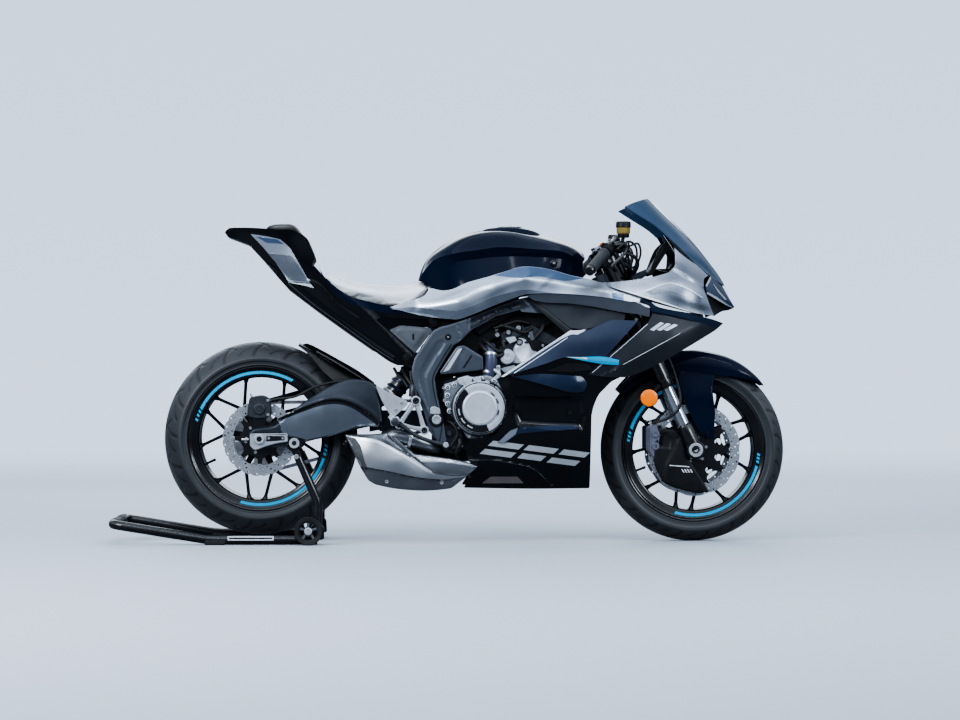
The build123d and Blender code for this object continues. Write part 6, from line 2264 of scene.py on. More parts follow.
    def _deck(self, draft: Draft, panel: Panel) -> None:
        """Closes the tail across its top and underside.

        Args:
            draft: Where its faces go.
            panel: The tail's right side.
        """
        for line, crown in ((((-727, 1003), (-711, 1013), (-618, 1011), (-520, 1003), (-477, 991),
                              (-458, 974), (-434, 917), (-446, 898), (-414, 862), (-375, 821),
                              (-331, 791), (-261, 772), (-198, 759), (-104, 744), (-50, 731)), 6.0),
                            (((-727, 1001), (-716, 987), (-647, 961), (-598, 908), (-518, 816),
                              (-431, 750), (-338, 683), (-242, 616)), -3.0)):
            pts = spaced(line, 60)
            y = panel.half_width(np.array(pts)) - 2.0
            rows = []
            for t in np.linspace(-1.0, 1.0, 9):
                rows.append([(x, yy * t, z - 1.5
                              + crown * (1 - t * t) * (0.0 if k in (0, 59) else 1.0)) for k,
                             ((x, z), yy) in enumerate(zip(pts, y))])
            flip = crown > 0
            draft.add([p for row in rows for p in row], grid_faces(9, 60, flip), BLACK_GLOSS)
            draft.add([(x, y2, z - math.copysign(3.0, crown)) for row in rows for x, y2, z in row],
                      grid_faces(9, 60, not flip), BLACK_PLASTIC)

    def _pad(self) -> None:
        """The passenger's pad on top of the tail."""
        draft = Draft()
        rings = []
        for x, low, high, half, power in ((-594, 1006, 1010, 44, 2.4), (-588, 1003, 1020, 60, 3.0),
                                          (-576, 1001, 1025, 70, 3.4), (-540, 1000, 1028, 82, 3.6),
                                          (-512, 998, 1027, 88, 3.6), (-496, 992, 1019, 88, 3.4),
                                          (-480, 980, 1000, 84, 3.0), (-470, 974, 986, 74, 2.6)):
            middle, tall = (low + high) / 2, (high - low) / 2
            rings.append([(x, math.copysign(abs(math.cos(a)) ** (2 / power), math.cos(a)) * half,
                           middle
                           + math.copysign(abs(math.sin(a)) ** (2 / power), math.sin(a)) * tall)
                          for a in turns(28)])
        smooth = [catmull([r[i] for r in rings], 4) for i in range(28)]
        draft.rings([[column[k] for column in smooth] for k in range(len(smooth[0]))], DARK_LEATHER)
        made = draft.piece("passenger_pad", "chassis")


class LugBolt:
    """The large ringed bolts that hold the subframe."""

    spots: list[tuple[float, float, float]] = []

    @classmethod
    def add(cls, x: float, z: float, y: float) -> None:
        """Notes one bolt on the right side and its twin on the left."""
        cls.spots.append((x, z, y))

    @classmethod
    def build(cls) -> None:
        """Makes them as one piece."""
        draft = Draft()
        for x, z, y in cls.spots:
            draft.lathe([(14, -4), (14, 2.5), (12.5, 4), (10.5, 4), (10, 1.5), (8.2, 1.5), (8, 5),
                         (6.6, 6.2), (4, 6.2), (3.6, 3), (0.5, 3)], (x, y, z), RIGHT, BLACK_BOLT,
                        28)
        draft.mirrored()
        draft.piece("subframe_bolts", "chassis")


# ---------------------------------------------------------------- fork, brakes and front mudguard
def fork_at(along: float, forward: float = 0.0, y: float = 0.0) -> Place:
    """A point in the fork's frame: up the legs from the axle, and forward of them."""
    return (FRONT_AXLE[0] - along * math.sin(RAKE) + forward * math.cos(RAKE), y,
            FRONT_AXLE[1] + along * math.cos(RAKE) + forward * math.sin(RAKE))


def shell(draft: Draft, rows: Sequence[Sequence[Place]], wall: float, finish: Finish,
          inner: Finish | None = None) -> None:
    """Adds a sheet through a grid of points, with its wall on the side away from its outward faces.

    Args:
        draft: Where its faces go.
        rows: The grid, its outer side to the left of a row and towards the next one.
        wall: How thick it is.
        finish: Its finish.
        inner: The finish of its back.
    """
    grid = np.array(rows, float)
    u = np.gradient(grid, axis=1)
    v = np.gradient(grid, axis=0)
    out = np.cross(u, v)
    out /= np.maximum(np.linalg.norm(out, axis=2), TINY)[:, :, None]
    back = grid - out * wall
    n, m = grid.shape[:2]
    draft.add([tuple(p) for p in grid.reshape(-1, 3)], grid_faces(n, m), finish)
    draft.add([tuple(p) for p in back.reshape(-1, 3)], grid_faces(n, m, True), inner or finish)
    border = [(0, j) for j in range(m)] + [(i, m - 1) for i in range(1, n)]
    border += [(n - 1, j) for j in range(m - 2, -1, -1)] + [(i, 0) for i in range(n - 2, 0, -1)]
    ring = [tuple(grid[i, j]) for i, j in border] + [tuple(back[i, j]) for i, j in border]
    count = len(border)
    draft.add(ring,
              [(i, i + count, (i + 1) % count + count, (i + 1) % count) for i in range(count)],
              finish)


@dataclass
class Fork:
    """The fork's tubes, bright legs, feet and clamps."""

    half: float = 104.0
    tube_r: float = 27.0
    leg_r: float = 20.5

    def build(self) -> None:
        """Makes the tubes, the legs and what is fixed to them."""
        self._tubes()
        self._legs()
        dress("fork_clamps", BLACK_METAL)
        for side in (-1, 1):
            for along in (462, 488, 668):
                SCREWS.add("steering", ZINC, fork_at(along, -2, side * (self.half + 38)),
                           (0, side, 0), 5.0)

    def _turned(self, draft: Draft, profile: Sequence[tuple[float, float]], finish: Finish,
                sides: int = 40) -> None:
        """Adds a form turned about both fork legs.

        Args:
            draft: The mesh being built.
            profile: Points as (radius, distance up the leg).
            finish: The form's finish.
            sides: Its number of facets.
        """
        up = (-math.sin(RAKE), 0.0, math.cos(RAKE))
        for side in (-1, 1):
            draft.lathe(profile, fork_at(0, 0, side * self.half), up, finish, sides)

    def _tubes(self) -> None:
        """The dark upper tubes, with their dust seals, collars and adjusters."""
        draft, r = Draft(), self.tube_r
        self._turned(draft,
                     [(r - 3, 225), (r - 0.5, 226.5), (r, 229), (r, 246), (r - 1.5, 248),
                      (r - 1.5, 252), (r, 254), (r, 712), (r - 1, 715), (r - 4, 716)], BLACK_METAL)
        self._turned(draft, [(r - 4, 715), (r - 6, 721), (r - 9, 722)], NAVY_SATIN)
        self._turned(draft, [(10, 721), (10, 728), (8, 730), (3, 730)], ALLOY, 6)
        self._turned(draft, [(self.leg_r + 0.3, 219), (r - 4, 220), (r - 3, 225)], RUBBER)
        draft.piece("fork_outer_tubes", "steering", "fork_tubes")

    def _legs(self) -> None:
        """The hard bright legs, the cast feet and the axle."""
        draft = Draft()
        self._turned(draft, [(self.leg_r, 78), (self.leg_r, 222)], LEG_CHROME, 48)
        self._turned(draft,
                     [(22, -6), (26, 2), (27, 18), (26.5, 60), (25.5, 84), (24, 88),
                      (self.leg_r + 0.5, 90)], BLACK_METAL)
        x, z = FRONT_AXLE
        for side in (-1, 1):
            y = side * self.half
            draft.lathe([(27, -21), (30, -18), (30, 20), (27, 23), (19, 23), (18, 19)], (x, y, z),
                        (0, side, 0), BLACK_METAL, 40)
            draft.lathe([(23, 22), (23, 27), (21, 29), (14.5, 29), (13.2, 26), (13, 10)], (x, y, z),
                        (0, side, 0), STEEL, 48)
            draft.lathe([(13.4, 18), (13.0, 22.5), (7.4, 22.5), (7.0, 16)], (x, y, z), (0, side, 0),
                        BLACK_METAL, 6)
            draft.lathe([(6.9, 15), (6.6, 24.5), (0.5, 25)], (x, y, z), (0, side, 0), ALLOY, 20)
            for dx in (-13, 13):
                SCREWS.add("steering", ZINC, (x + dx, y + side * 10, z - 27), (0, 0, -1), 4.0)
            lug = ((742, 312, 4), (764, 300, 2), (772, 340, 2), (758, 362, 4), (716, 350, 4),
                   (700, 322, 4))
            draft.plate(lug, side * 82, side * 92, BLACK_METAL, 1.5)
        draft.lathe([(11, -100), (11, 100)], (x, 0, z), LEFT, STEEL, 24)
        draft.lathe([(17, -80), (19, -77), (19, -71)], (x, 0, z), LEFT, ALLOY, 24)
        draft.lathe([(19, 71), (19, 77), (17, 80)], (x, 0, z), LEFT, ALLOY, 24)
        draft.piece("fork_lower_legs", "steering", "fork_sliders", sharp=40.0)


@dataclass
class Disc:
    """A brake disc: a drilled ring with a waved edge on a dark carrier."""

    name: str
    body: str
    node: str
    x: float
    z: float
    outer: float
    inner: float
    sides: tuple[float, ...]
    thick: float = 5.0
    bobbins: int = 10
    waves: int = 10
    carrier_r: float = 46.0
    rows: tuple[tuple[float, float], ...] = ((0.20, 0.0), (0.50, 0.33), (0.80, 0.66))

    def build(self) -> None:
        """Makes the ring, the carrier and the bobbins."""
        draft = Draft()
        face = turned(f"{self.name}_disc_face", DISC_STEEL, self.x, self.z, 1.6)
        loop = []
        for k in range(self.waves * 16):
            a = 360.0 * k / (self.waves * 16)
            wave = 0.5 + 0.5 * math.cos(math.radians(a * self.waves))
            loop.append(polar(self.x, self.z, self.outer - 3.2 * wave ** 4, a))
        width = self.outer - self.inner
        holes = [(self.x, self.z, self.inner)]
        steps = self.bobbins * 3
        for k in range(steps):
            for share, shift in self.rows:
                hx, hz = polar(self.x, self.z, self.inner + width * share,
                               360.0 * (k + shift) / steps)
                holes.append((hx, hz, 2.7))
        for y in self.sides:
            draft.flat(loop, y - self.thick / 2, y + self.thick / 2, face, 0.5, holes)
            self._carrier(draft, y)
        draft.piece(f"{self.name}_brake_disc", self.body, self.node)

    def _carrier(self, draft: Draft, y: float) -> None:
        """The dark star that carries the ring.

        Args:
            draft: Where its faces go.
            y: The disc's middle across the machine.
        """
        loop = []
        arms = self.bobbins
        for k in range(arms):
            a = 360.0 * k / arms
            for lean, r in ((-7.5, self.inner - 20), (-4.2, self.inner - 3), (-1.8, self.inner + 4),
                            (1.8, self.inner + 4), (4.2, self.inner - 3), (7.5, self.inner - 20),
                            (180.0 / arms, self.inner - 27)):
                loop.append(polar(self.x, self.z, r, a + lean))
        holes = [(self.x, self.z, 30.0)]
        for k in range(arms):
            mx, mz = polar(self.x, self.z, (self.carrier_r + self.inner) / 2,
                           360.0 * (k + 0.5) / arms)
            holes.append((mx, mz, min(11.0, (self.inner - self.carrier_r) * 0.26)))
        draft.flat(loop, y - 2.2, y + 2.2, BLACK_METAL, 0.6, holes)
        side = -1 if y < 0 else 1
        for k in range(arms):
            bx, bz = polar(self.x, self.z, self.inner + 1.5, 360.0 * k / arms)
            draft.lathe([(7.0, -1.2), (7.0, 3.4), (6.2, 4.0), (3.6, 4.0), (3.4, 2.2), (0.4, 2.2)],
                        (bx, y, bz), (0, side, 0), ZINC, 16)
        for k in range(6 if arms > 8 else 5):
            sx, sz = polar(self.x, self.z, self.carrier_r - 6, 60.0 * k + 12)
            SCREWS.add(self.body, ZINC, (sx, y + side * 2.2, sz), (0, side, 0), 5.2)


@dataclass
class FrontBrakes:
    """The front calipers and the cooling covers behind the fork legs."""

    cover: tuple[Flat, ...] = (
        (673, 367, 5), (700, 366), (726, 360, 5), (741, 346, 4), (752, 318), (760, 292),
        (768, 268, 5), (796, 226), (836, 163, 4), (800, 158), (759, 166, 10), (692, 191),
        (664, 236, 12), (658, 262), (661, 309))

    def build(self) -> None:
        """Makes both calipers and both covers."""
        draft = Draft()
        half = ((640, 374, 6), (668, 382, 6), (690, 318), (686, 268, 6), (664, 262, 6),
                (640, 292, 4))
        draft.plate(half, -97, -76.6, CALIPER, 4.0)
        draft.plate(half, -60.0, -48.0, CALIPER, 3.0)
        draft.plate(((634, 372, 5), (652, 378, 5), (650, 290), (634, 296, 5)), -90, -52, CALIPER,
                    4.0)
        for z in (350, 310):
            draft.lathe([(13, 0), (13, 3.5), (11.5, 5), (6, 5), (5.5, 3), (0.5, 3)], (662, -97, z),
                        RIGHT, CALIPER, 24)
        draft.tube([(650, -84, 376), (646, -84, 392)], 4.0, CHROME, 10)
        draft.mirrored()
        draft.piece("front_brake_calipers", "steering", "front_calipers", edge=1.0)
        for z in (372, 292):
            SCREWS.pair("steering", BLACK_BOLT, (676, -97, z), 5.5)
        self._covers()

    def _covers(self) -> None:
        """The satin covers, each with a slot and a plain pale mark."""
        draft = Draft()
        panel = Panel(self.cover,
                      ((673, 367, 100), (741, 346, 103), (658, 262, 100), (768, 268, 104),
                       (720, 260, 109), (700, 200, 103), (836, 163, 100), (770, 200, 106)),
                      BLACK_PLASTIC,
                      (Feature(Relief.FIELD,
                               ((664, 300, 4), (664, 352, 4), (700, 356, 6), (716, 330, 6),
                                (712, 296, 8)), -5.0, 9.0),
                       Feature(Relief.FOLD, ((742, 348), (716, 300), (690, 240), (690, 190)), 3.0,
                               10.0)), wall=4.0, spacing=7.0, roll=4.0)
        panel.cover(draft)
        panel.cover(draft, ((672, 312, 3), (676, 344, 3), (688, 346, 3), (684, 312, 3)),
                    BLACK_GLOSS, 1.0, 2.0, 5.0)
        panel.cover(draft, ((706, 247, 0), (706, 250, 0), (770, 245, 0), (770, 242, 0)), WHITE, 0.4,
                    1.2, 3.0)
        for k in range(4):
            x0 = 744 + 9 * k
            panel.cover(draft,
                        ((x0, 236, 0), (x0 + 4, 236, 0), (x0 + 11, 225, 0), (x0 + 7, 225, 0)),
                        WHITE, 0.4, 1.0, 5.0)
        draft.mirrored()
        draft.piece("brake_cooling_covers", "steering", "brake_ducts", edge=0.8)
        for x, z in ((664, 322), (734, 340), (706, 196), (806, 172)):
            SCREWS.pair("steering", BLACK_BOLT, panel.on(x, z, -0.3), 4.2)


@dataclass
class FrontMudguard:
    """The front mudguard: its crown, its side blades and the covers that run down the legs."""

    reach: float = 314.0
    sections: tuple[tuple[float, float, float, float], ...] = (
        # degrees round the axle, lift over the reach, half-width, how far its sides come down
        (142, 0, 60, 26), (128, 2, 66, 40), (112, 4, 72, 56), (98, 5, 78, 66), (84, 5, 80, 70),
        (72, 4, 80, 64), (62, 3, 77, 50), (54, 1, 70, 32), (47, -1, 58, 14), (42, -3, 40, 4))

    def build(self) -> None:
        """Makes the whole mudguard."""
        draft = Draft()
        rows = []
        table = catmull(self.sections, 4)
        for degrees, lift, half, drop in table:
            gx, gz = polar(*FRONT_AXLE, self.reach + lift, degrees)
            dx, dz = polar(0, 0, 1, degrees)
            section = catmull([(-half, drop), (-half * 1.0, drop * 0.55),
                               (-half * 0.86, drop * 0.10), (-half * 0.55, -1.0), (0, -3.0),
                               (half * 0.55, -1.0), (half * 0.86, drop * 0.10),
                               (half * 1.0, drop * 0.55), (half, drop)], 4)
            rows.append([(gx - dx * fall, y, gz - dz * fall) for y, fall in section])
        shell(draft, rows[::-1], 3.0, NAVY, BLACK_PLASTIC)
        leg = Panel(
            ((735, 520, 2), (742, 552, 2), (800, 566), (862, 552, 3), (849, 500), (856, 420),
             (852, 336, 3), (828, 334, 4), (800, 360), (776, 410), (742, 493, 4)),
            ((738, 548, 78), (800, 562, 77), (862, 548, 74), (864, 520, 79), (760, 450, 88),
             (857, 440, 86), (790, 380, 89), (848, 365, 87), (829, 347, 88), (806, 470, 91),
             (760, 510, 84), (850, 500, 82)), NAVY, (), wall=3.5, spacing=7.0, roll=2.0)
        side = Draft()
        leg.cover(side)
        side.mirrored()
        start = len(draft.points)
        draft.points += side.points
        for face in side.faces:
            draft.faces.append(tuple(start + i for i in face))
            draft.face_finish.append(0)
        draft.piece("front_mudguard_shell", "steering", "front_mudguard", edge=0.8, sharp=40.0)
        for x, z in ((800, 540), (832, 352)):
            SCREWS.pair("steering", BLACK_BOLT, leg.on(x, z, -0.3), 5.0)
        lamp = Draft()
        for side_y in (-1, 1):
            at = fork_at(216, -69, side_y * 136)
            lamp.lathe([(26, 0), (29, 1.5), (29, 7), (27.5, 9)], at, (0, side_y, 0), BLACK_PLASTIC,
                       40)
            lamp.lathe([(27.5, 7.5), (27.1, 9.4), (23, 11.2), (12, 12.6), (0.5, 13)], at,
                       (0, side_y, 0), AMBER, 40)
            beam(lamp, [fork_at(240, -20, side_y * 134), fork_at(228, -44, side_y * 135), at],
                 (14, 12, 20), (5, 5, 5), BLACK_PLASTIC)
        lamp.piece("fork_reflectors", "steering")


# ---------------------------------------------------------------- rear wheel's company
@dataclass
class RearBrake:
    """The rear caliper, its hose and the axle's ends."""

    def build(self) -> None:
        """Makes them."""
        draft = Draft()
        body = ((-652, 408, 8), (-644, 468, 10), (-600, 474), (-576, 462, 8), (-572, 414, 6),
                (-592, 400), (-632, 400))
        draft.plate(body, -122, -107.5, DARK_ALLOY, 4.0)
        draft.plate(body, -92.5, -82, DARK_ALLOY, 3.0)
        draft.plate(((-640, 458, 6), (-612, 474, 8), (-584, 462, 6), (-590, 456), (-612, 462),
                     (-632, 456)), -110, -88, DARK_ALLOY, 3.0)
        draft.lathe([(18, 0), (18, 5), (15, 7), (8, 7), (7, 5), (0.5, 5)], (-612, -121, 430), RIGHT,
                    DARK_ALLOY, 32)
        draft.tube([(-636, -112, 468), (-640, -112, 480)], [4.0, 3.4], CHROME, 10)
        draft.plate(((-632, 322, 5), (-592, 322, 5), (-590, 402, 5), (-634, 402, 5)), -115.6,
                    -108.2, BLACK_METAL, 1.5)
        draft.tube([(-590, -118, 452), (-560, -126, 462), (-500, -136, 470), (-420, -130, 506),
                    (-330, -124, 520), (-250, -118, 500)], 4.0, RUBBER, 10, smooth=True)
        draft.piece("rear_brake_caliper", "chassis", "rear_caliper", edge=0.8)
        for z in (412, 458):
            SCREWS.add("chassis", ZINC, (-584, -122, z), RIGHT, 5.0)


@dataclass
class Hugger:
    """The mudguard over the rear tyre, with a thin pale line along its blade."""

    blade: tuple[Flat, ...] = (
        (-477, 637, 3), (-462, 641), (-420, 622), (-362, 590), (-298, 553), (-244, 514, 4),
        (-256, 500), (-300, 520), (-352, 556), (-400, 590), (-440, 614))

    def build(self) -> None:
        """Makes the hugger."""
        draft = Draft()
        rows = []
        for degrees, radius, half, drop in catmull(((68, 329, 54, 6), (60, 330, 76, 18),
                                                    (48, 338, 94, 42), (37, 360, 110, 58),
                                                    (29, 388, 114, 66)), 4):
            hx, hz = polar(*REAR_AXLE, radius, degrees)
            dx, dz = polar(0, 0, 1, degrees)
            section = catmull([(-half, drop), (-half * 0.94, drop * 0.3), (-half * 0.5, 0), (0, -3),
                               (half * 0.5, 0), (half * 0.94, drop * 0.3), (half, drop)], 4)
            rows.append([(hx - dx * fall, y, hz - dz * fall) for y, fall in section])
        shell(draft, rows[::-1], 3.0, BLACK_PLASTIC)
        panel = Panel(self.blade,
                      ((-477, 637, 66), (-420, 610, 92), (-352, 570, 108), (-298, 540, 114),
                       (-250, 508, 118)), BLACK_GLOSS, wall=3.0, spacing=6.0, roll=2.5)
        side = Draft()
        panel.cover(side)
        panel.cover(side,
                    ((-430, 618, 0), (-362, 580, 0), (-300, 541, 0), (-270, 522, 0), (-270, 519, 0),
                     (-300, 537, 0), (-362, 575, 0), (-430, 613, 0)), ALLOY, 0.5, 1.2, 6.0)
        side.mirrored()
        for face, index in zip(side.faces, side.face_finish):
            draft.add([side.points[i] for i in face], [tuple(range(len(face)))],
                      side.finishes[index])
        draft.plate(((-644, 440, 4), (-628, 452, 6), (-585, 464), (-480, 494), (-366, 532, 4),
                     (-350, 514, 4), (-470, 476), (-585, 444), (-630, 432, 6)), 95, 113,
                    BLACK_PLASTIC, 3.0)
        draft.piece("rear_hugger_shell", "chassis", "rear_hugger", sharp=40.0)


@dataclass
class Chain:
    """The drive chain's links, and the sprockets' teeth."""

    y: float = 104.0
    pitch: float = 15.875
    front: tuple[float, float] = (5.0, 418.0)
    front_r: float = 38.0
    rear_r: float = 113.8

    def build(self) -> None:
        """Lays the links along the chain's own loop."""
        x1, z1, x2, z2 = *REAR_AXLE, *self.front
        r1, r2 = self.rear_r, self.front_r
        run, lean = math.hypot(x2 - x1, z2 - z1), math.atan2(z2 - z1, x2 - x1)
        free = math.acos((r1 - r2) / run)
        loop = [(x1 + r1 * math.cos(a), z1 + r1 * math.sin(a))
                for a in (lean + free + (2 * math.pi - 2 * free) * k / 40 for k in range(41))]
        loop += [(x2 + r2 * math.cos(a), z2 + r2 * math.sin(a))
                 for a in (lean - free + 2 * free * k / 14 for k in range(15))]
        loop.append(loop[0])
        links = 2 * round(length_of(loop) / self.pitch / 2)
        path = spaced(loop, links * 4 + 1)[:-1]
        mesh = bpy.data.meshes.new("chain_path")
        mesh.from_pydata([(x * MM, self.y * MM, z * MM) for x, z in path],
                         [(i, (i + 1) % len(path)) for i in range(len(path))], [])
        outer, inner, half = Draft(), Draft(), 7.9
        for draft, gap, wall in ((outer, 6.9, 1.7), (inner, 4.4, 1.9)):
            for side in (-1, 1):
                link = []
                for k in range(12):
                    a = 30.0 * k
                    px, pz = polar(0, 0, 6.6, a)
                    link.append((px + math.copysign(half, math.cos(math.radians(a)) + TINY),
                                 pz * (1.0 if abs(px) > 1 else 0.78)))
                draft.flat(link, side * gap, side * (gap + wall), STEEL, 0.4)
        for draft, r, reach in ((outer, 2.7, 9.6), (inner, 4.8, 4.4)):
            for x in (half, -half):
                draft.lathe([(r, -reach), (r, reach)], (x, 0, 0), LEFT, STEEL, 8)
        step = length_of([*path, path[0]]) / links * MM
        made = Repeats.along_path().run("drive_chain", mesh, "chassis", STEEL, Pitch=step,
                                        Even_part=small_part("outer_link", outer),
                                        Odd_part=small_part("inner_link", inner))
        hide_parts("chain")
        self._teeth()

    def _teeth(self) -> None:
        """The rear sprocket, its teeth in the chain's own spaces."""
        draft, teeth = Draft(), 45
        loop = []
        for k in range(teeth):
            a = 360.0 * k / teeth
            for share, r in ((0.0, 103.0), (0.22, 104.4), (0.40, 108.3), (0.60, 108.3),
                             (0.78, 104.4)):
                loop.append(polar(*REAR_AXLE, r, a + share * 360.0 / teeth))
        holes = [(*REAR_AXLE, 40.0)] + [(*polar(*REAR_AXLE, 84.0, 60.0 * k), 14.0)
                                        for k in range(6)]
        draft.flat(loop, self.y - 3.0, self.y + 3.0, STEEL, 0.6, holes)
        draft.lathe([(44, -8), (52, -4), (52, 3), (58, 3)], (REAR_AXLE[0], self.y, REAR_AXLE[1]),
                    LEFT, ALLOY, 32)
        draft.piece("rear_wheel_sprocket", "rear_wheel", "rear_sprocket")
        for k in range(5):
            sx, sz = polar(*REAR_AXLE, 66.0, 72.0 * k + 10)
            SCREWS.add("rear_wheel", ZINC, (sx, self.y + 3.0, sz), LEFT, 6.5)


# ---------------------------------------------------------------- frame and swingarm


@dataclass
class FrameDress:
    """The cast skins of the frame's plates and spars, the swingarm's shells and their bolts."""

    plate: tuple[Flat, ...] = (
        (-56, 681, 5), (-84, 640), (-116, 592, 8), (-125, 546), (-110, 492), (-85, 442), (-60, 372),
        (-44, 330, 8), (-30, 316, 8), (-13, 316, 6), (-22, 386), (-42, 461), (-51, 530, 8),
        (-24, 582), (8, 634, 10), (26, 643), (72, 686), (146, 729), (250, 756, 4), (256, 765, 3),
        (231, 787, 5), (146, 757), (56, 721), (-8, 699), (-30, 694))
    arm: tuple[Flat, ...] = (
        (-643, 352, 4), (-628, 367, 5), (-562, 378), (-528, 404), (-489, 438), (-430, 478),
        (-371, 511), (-330, 525), (-300, 527), (-262, 520), (-239, 508, 8), (-228, 460),
        (-217, 385, 10), (-280, 372), (-342, 357), (-400, 340), (-459, 328, 6), (-518, 342))

    def build(self) -> None:
        """Makes the skins, the bolts, the axle's ends and the spring."""
        dress("main_frame", FRAME_GREY)
        dress("subframe", BLACK_METAL)
        dress("swingarm", ARM_GREY)
        draft = Draft()
        hollow = ((-96, 560, 8), (-70, 606), (-44, 648, 8), (-22, 655, 8), (-16, 640), (-48, 590),
                  (-78, 536, 8), (-66, 462), (-48, 392, 6), (-58, 392, 6), (-86, 462), (-104, 520))
        rib = ((44, 700, 3), (52, 709, 3), (140, 746), (226, 772, 3), (232, 760, 3), (146, 738),
               (70, 698, 3))
        groove = ((26, 651), (30, 672), (22, 700))
        panel = Panel(self.plate,
                      ((-100, 560, 155), (-60, 640, 155), (-60, 480, 157), (-30, 350, 156),
                       (20, 670, 155), (120, 724, 155), (240, 772, 154)), FRAME_GREY,
                      (Feature(Relief.FIELD, hollow, -2.6, 7.0),
                       Feature(Relief.FIELD, rib, -3.0, 3.0),
                       Feature(Relief.RIDGE, groove, -2.4, 2.6)), wall=3.0, spacing=5.5, roll=2.8)
        panel.cover(draft)
        # A darker grey on the spar's face: painted shade.
        panel.cover(draft,
                    ((64, 686, 2), (146, 732), (248, 760, 2), (230, 781, 2), (146, 753),
                     (66, 721, 2)), ARM_GREY, 0.8, 2.0, 6.0)
        panel.cover(draft, ((56, 683, 1), (61, 685, 1), (63, 722, 1), (57, 720, 1)), GUNMETAL, 1.2,
                    2.4, 6.0)
        # Two dark lines along the spar's rib: painted shade.
        for low in (0, 9):
            panel.cover(draft,
                        ((92, 712 + low, 1), (146, 737 + low), (222, 760 + low, 1),
                         (222, 763 + low, 1), (146, 740 + low), (92, 715 + low, 1)), BLACK_METAL,
                        1.4, 2.6, 6.0)
        # A pale line along the plate's rear edge: a painted highlight.
        panel.cover(draft,
                    ((-122, 546, 1), (-113, 590), (-81, 638), (-53, 678), (-30, 691), (-8, 696),
                     (52, 718, 1), (52, 715, 1), (-7, 692.5), (-28, 687), (-50, 674), (-78, 635),
                     (-109, 588), (-118, 546, 1)), GUNMETAL, 1.0, 2.4, 6.0)
        # A dark line along the plate's inner edge: painted shade.
        panel.cover(draft,
                    ((-34, 325, 1), (-26, 386), (-46, 461), (-55, 530), (-29, 584), (4, 637, 1),
                     (1, 640, 1), (-32, 586), (-58.5, 531), (-49.5, 461), (-29.5, 386),
                     (-37.5, 325, 1)), ARM_GREY, 1.0, 2.4, 6.0)
        draft.mirrored()
        draft.piece("frame_cast_skins", "chassis", edge=0.6)
        shell_draft = Draft()
        ridge = ((-552, 402), (-480, 436), (-404, 463), (-360, 466), (-316, 455), (-246, 411),
                 (-211, 367))
        below = ((-552, 396, 4), (-480, 430), (-404, 457), (-360, 460), (-316, 449), (-250, 408),
                 (-222, 380, 4), (-300, 372), (-342, 357), (-459, 328), (-540, 350, 6))
        arm = Panel(self.arm,
                    ((-630, 358, 152), (-540, 362, 158), (-562, 378, 152), (-489, 438, 150),
                     (-552, 402, 159), (-430, 478, 149), (-371, 511, 149), (-300, 525, 149),
                     (-239, 505, 150), (-480, 436, 164), (-404, 463, 166), (-316, 455, 166),
                     (-240, 408, 163), (-400, 345, 157), (-300, 376, 158), (-460, 335, 157)),
                    ARM_GREY,
                    (Feature(Relief.FIELD, below, -7.0, 5.0),
                     Feature(Relief.RIDGE, ridge, 2.0, 8.0)), wall=3.0, spacing=5.6, roll=4.0)
        arm.cover(shell_draft)
        # A dark band just under the ridge: a painted shadow.
        arm.cover(shell_draft,
                  ((-552, 400, 1), (-480, 434), (-404, 461), (-360, 464), (-316, 453), (-248, 410),
                   (-216, 371, 1), (-222, 371, 1), (-256, 398), (-318, 438), (-360, 449),
                   (-404, 446), (-480, 422), (-550, 393, 1)), BLACK_METAL, 1.4, 2.6, 5.0)
        # The lower face in a lighter grey: painted light.
        arm.cover(shell_draft,
                  ((-549, 391, 2), (-480, 419), (-404, 443), (-360, 446), (-318, 435), (-258, 396),
                   (-228, 374, 3), (-300, 375), (-342, 361), (-400, 345), (-459, 333, 3),
                   (-538, 353, 4)), ARM_PAINTED_LIGHT, 1.0, 2.4, 5.0)
        shell_draft.mirrored()
        shell_draft.piece("swingarm_shells", "chassis", edge=0.6)
        self._bolts(panel)
        self._axle_ends()
        self._spring()

    def _bolts(self, panel: Panel) -> None:
        """The frame's ringed bolts and its plug.

        Args:
            panel: The frame's right skin.
        """
        draft = Draft()
        at = panel.on(-8, 661)
        draft.lathe([(10, -2), (10, 1.6), (8.5, 2.6), (7.5, 2.6), (7, 0.6), (0.5, 0.4)], at, RIGHT,
                    BLACK_BOLT, 24)
        draft.lathe([(3.2, 0.4), (3.0, 2.2), (0.4, 2.4)], at, RIGHT, ZINC, 12)
        pivot = (-45, -152, 397)
        draft.lathe([(24, -6), (24, 8), (21, 12), (16, 12.5)], pivot, RIGHT, BLACK_METAL, 40)
        draft.lathe([(15.5, 4), (15.5, 14), (13.5, 16), (9, 16), (8.4, 13), (0.5, 13)], pivot,
                    RIGHT, STEEL, 12)
        draft.plate(((-66, 436, 8), (-50, 440, 8), (-34, 432, 6), (-33, 414, 4), (-66, 414, 4)),
                    -157, -168, ALLOY, 2.5)
        draft.mirrored()
        draft.piece("frame_bolts", "chassis", "pivot_and_axle")

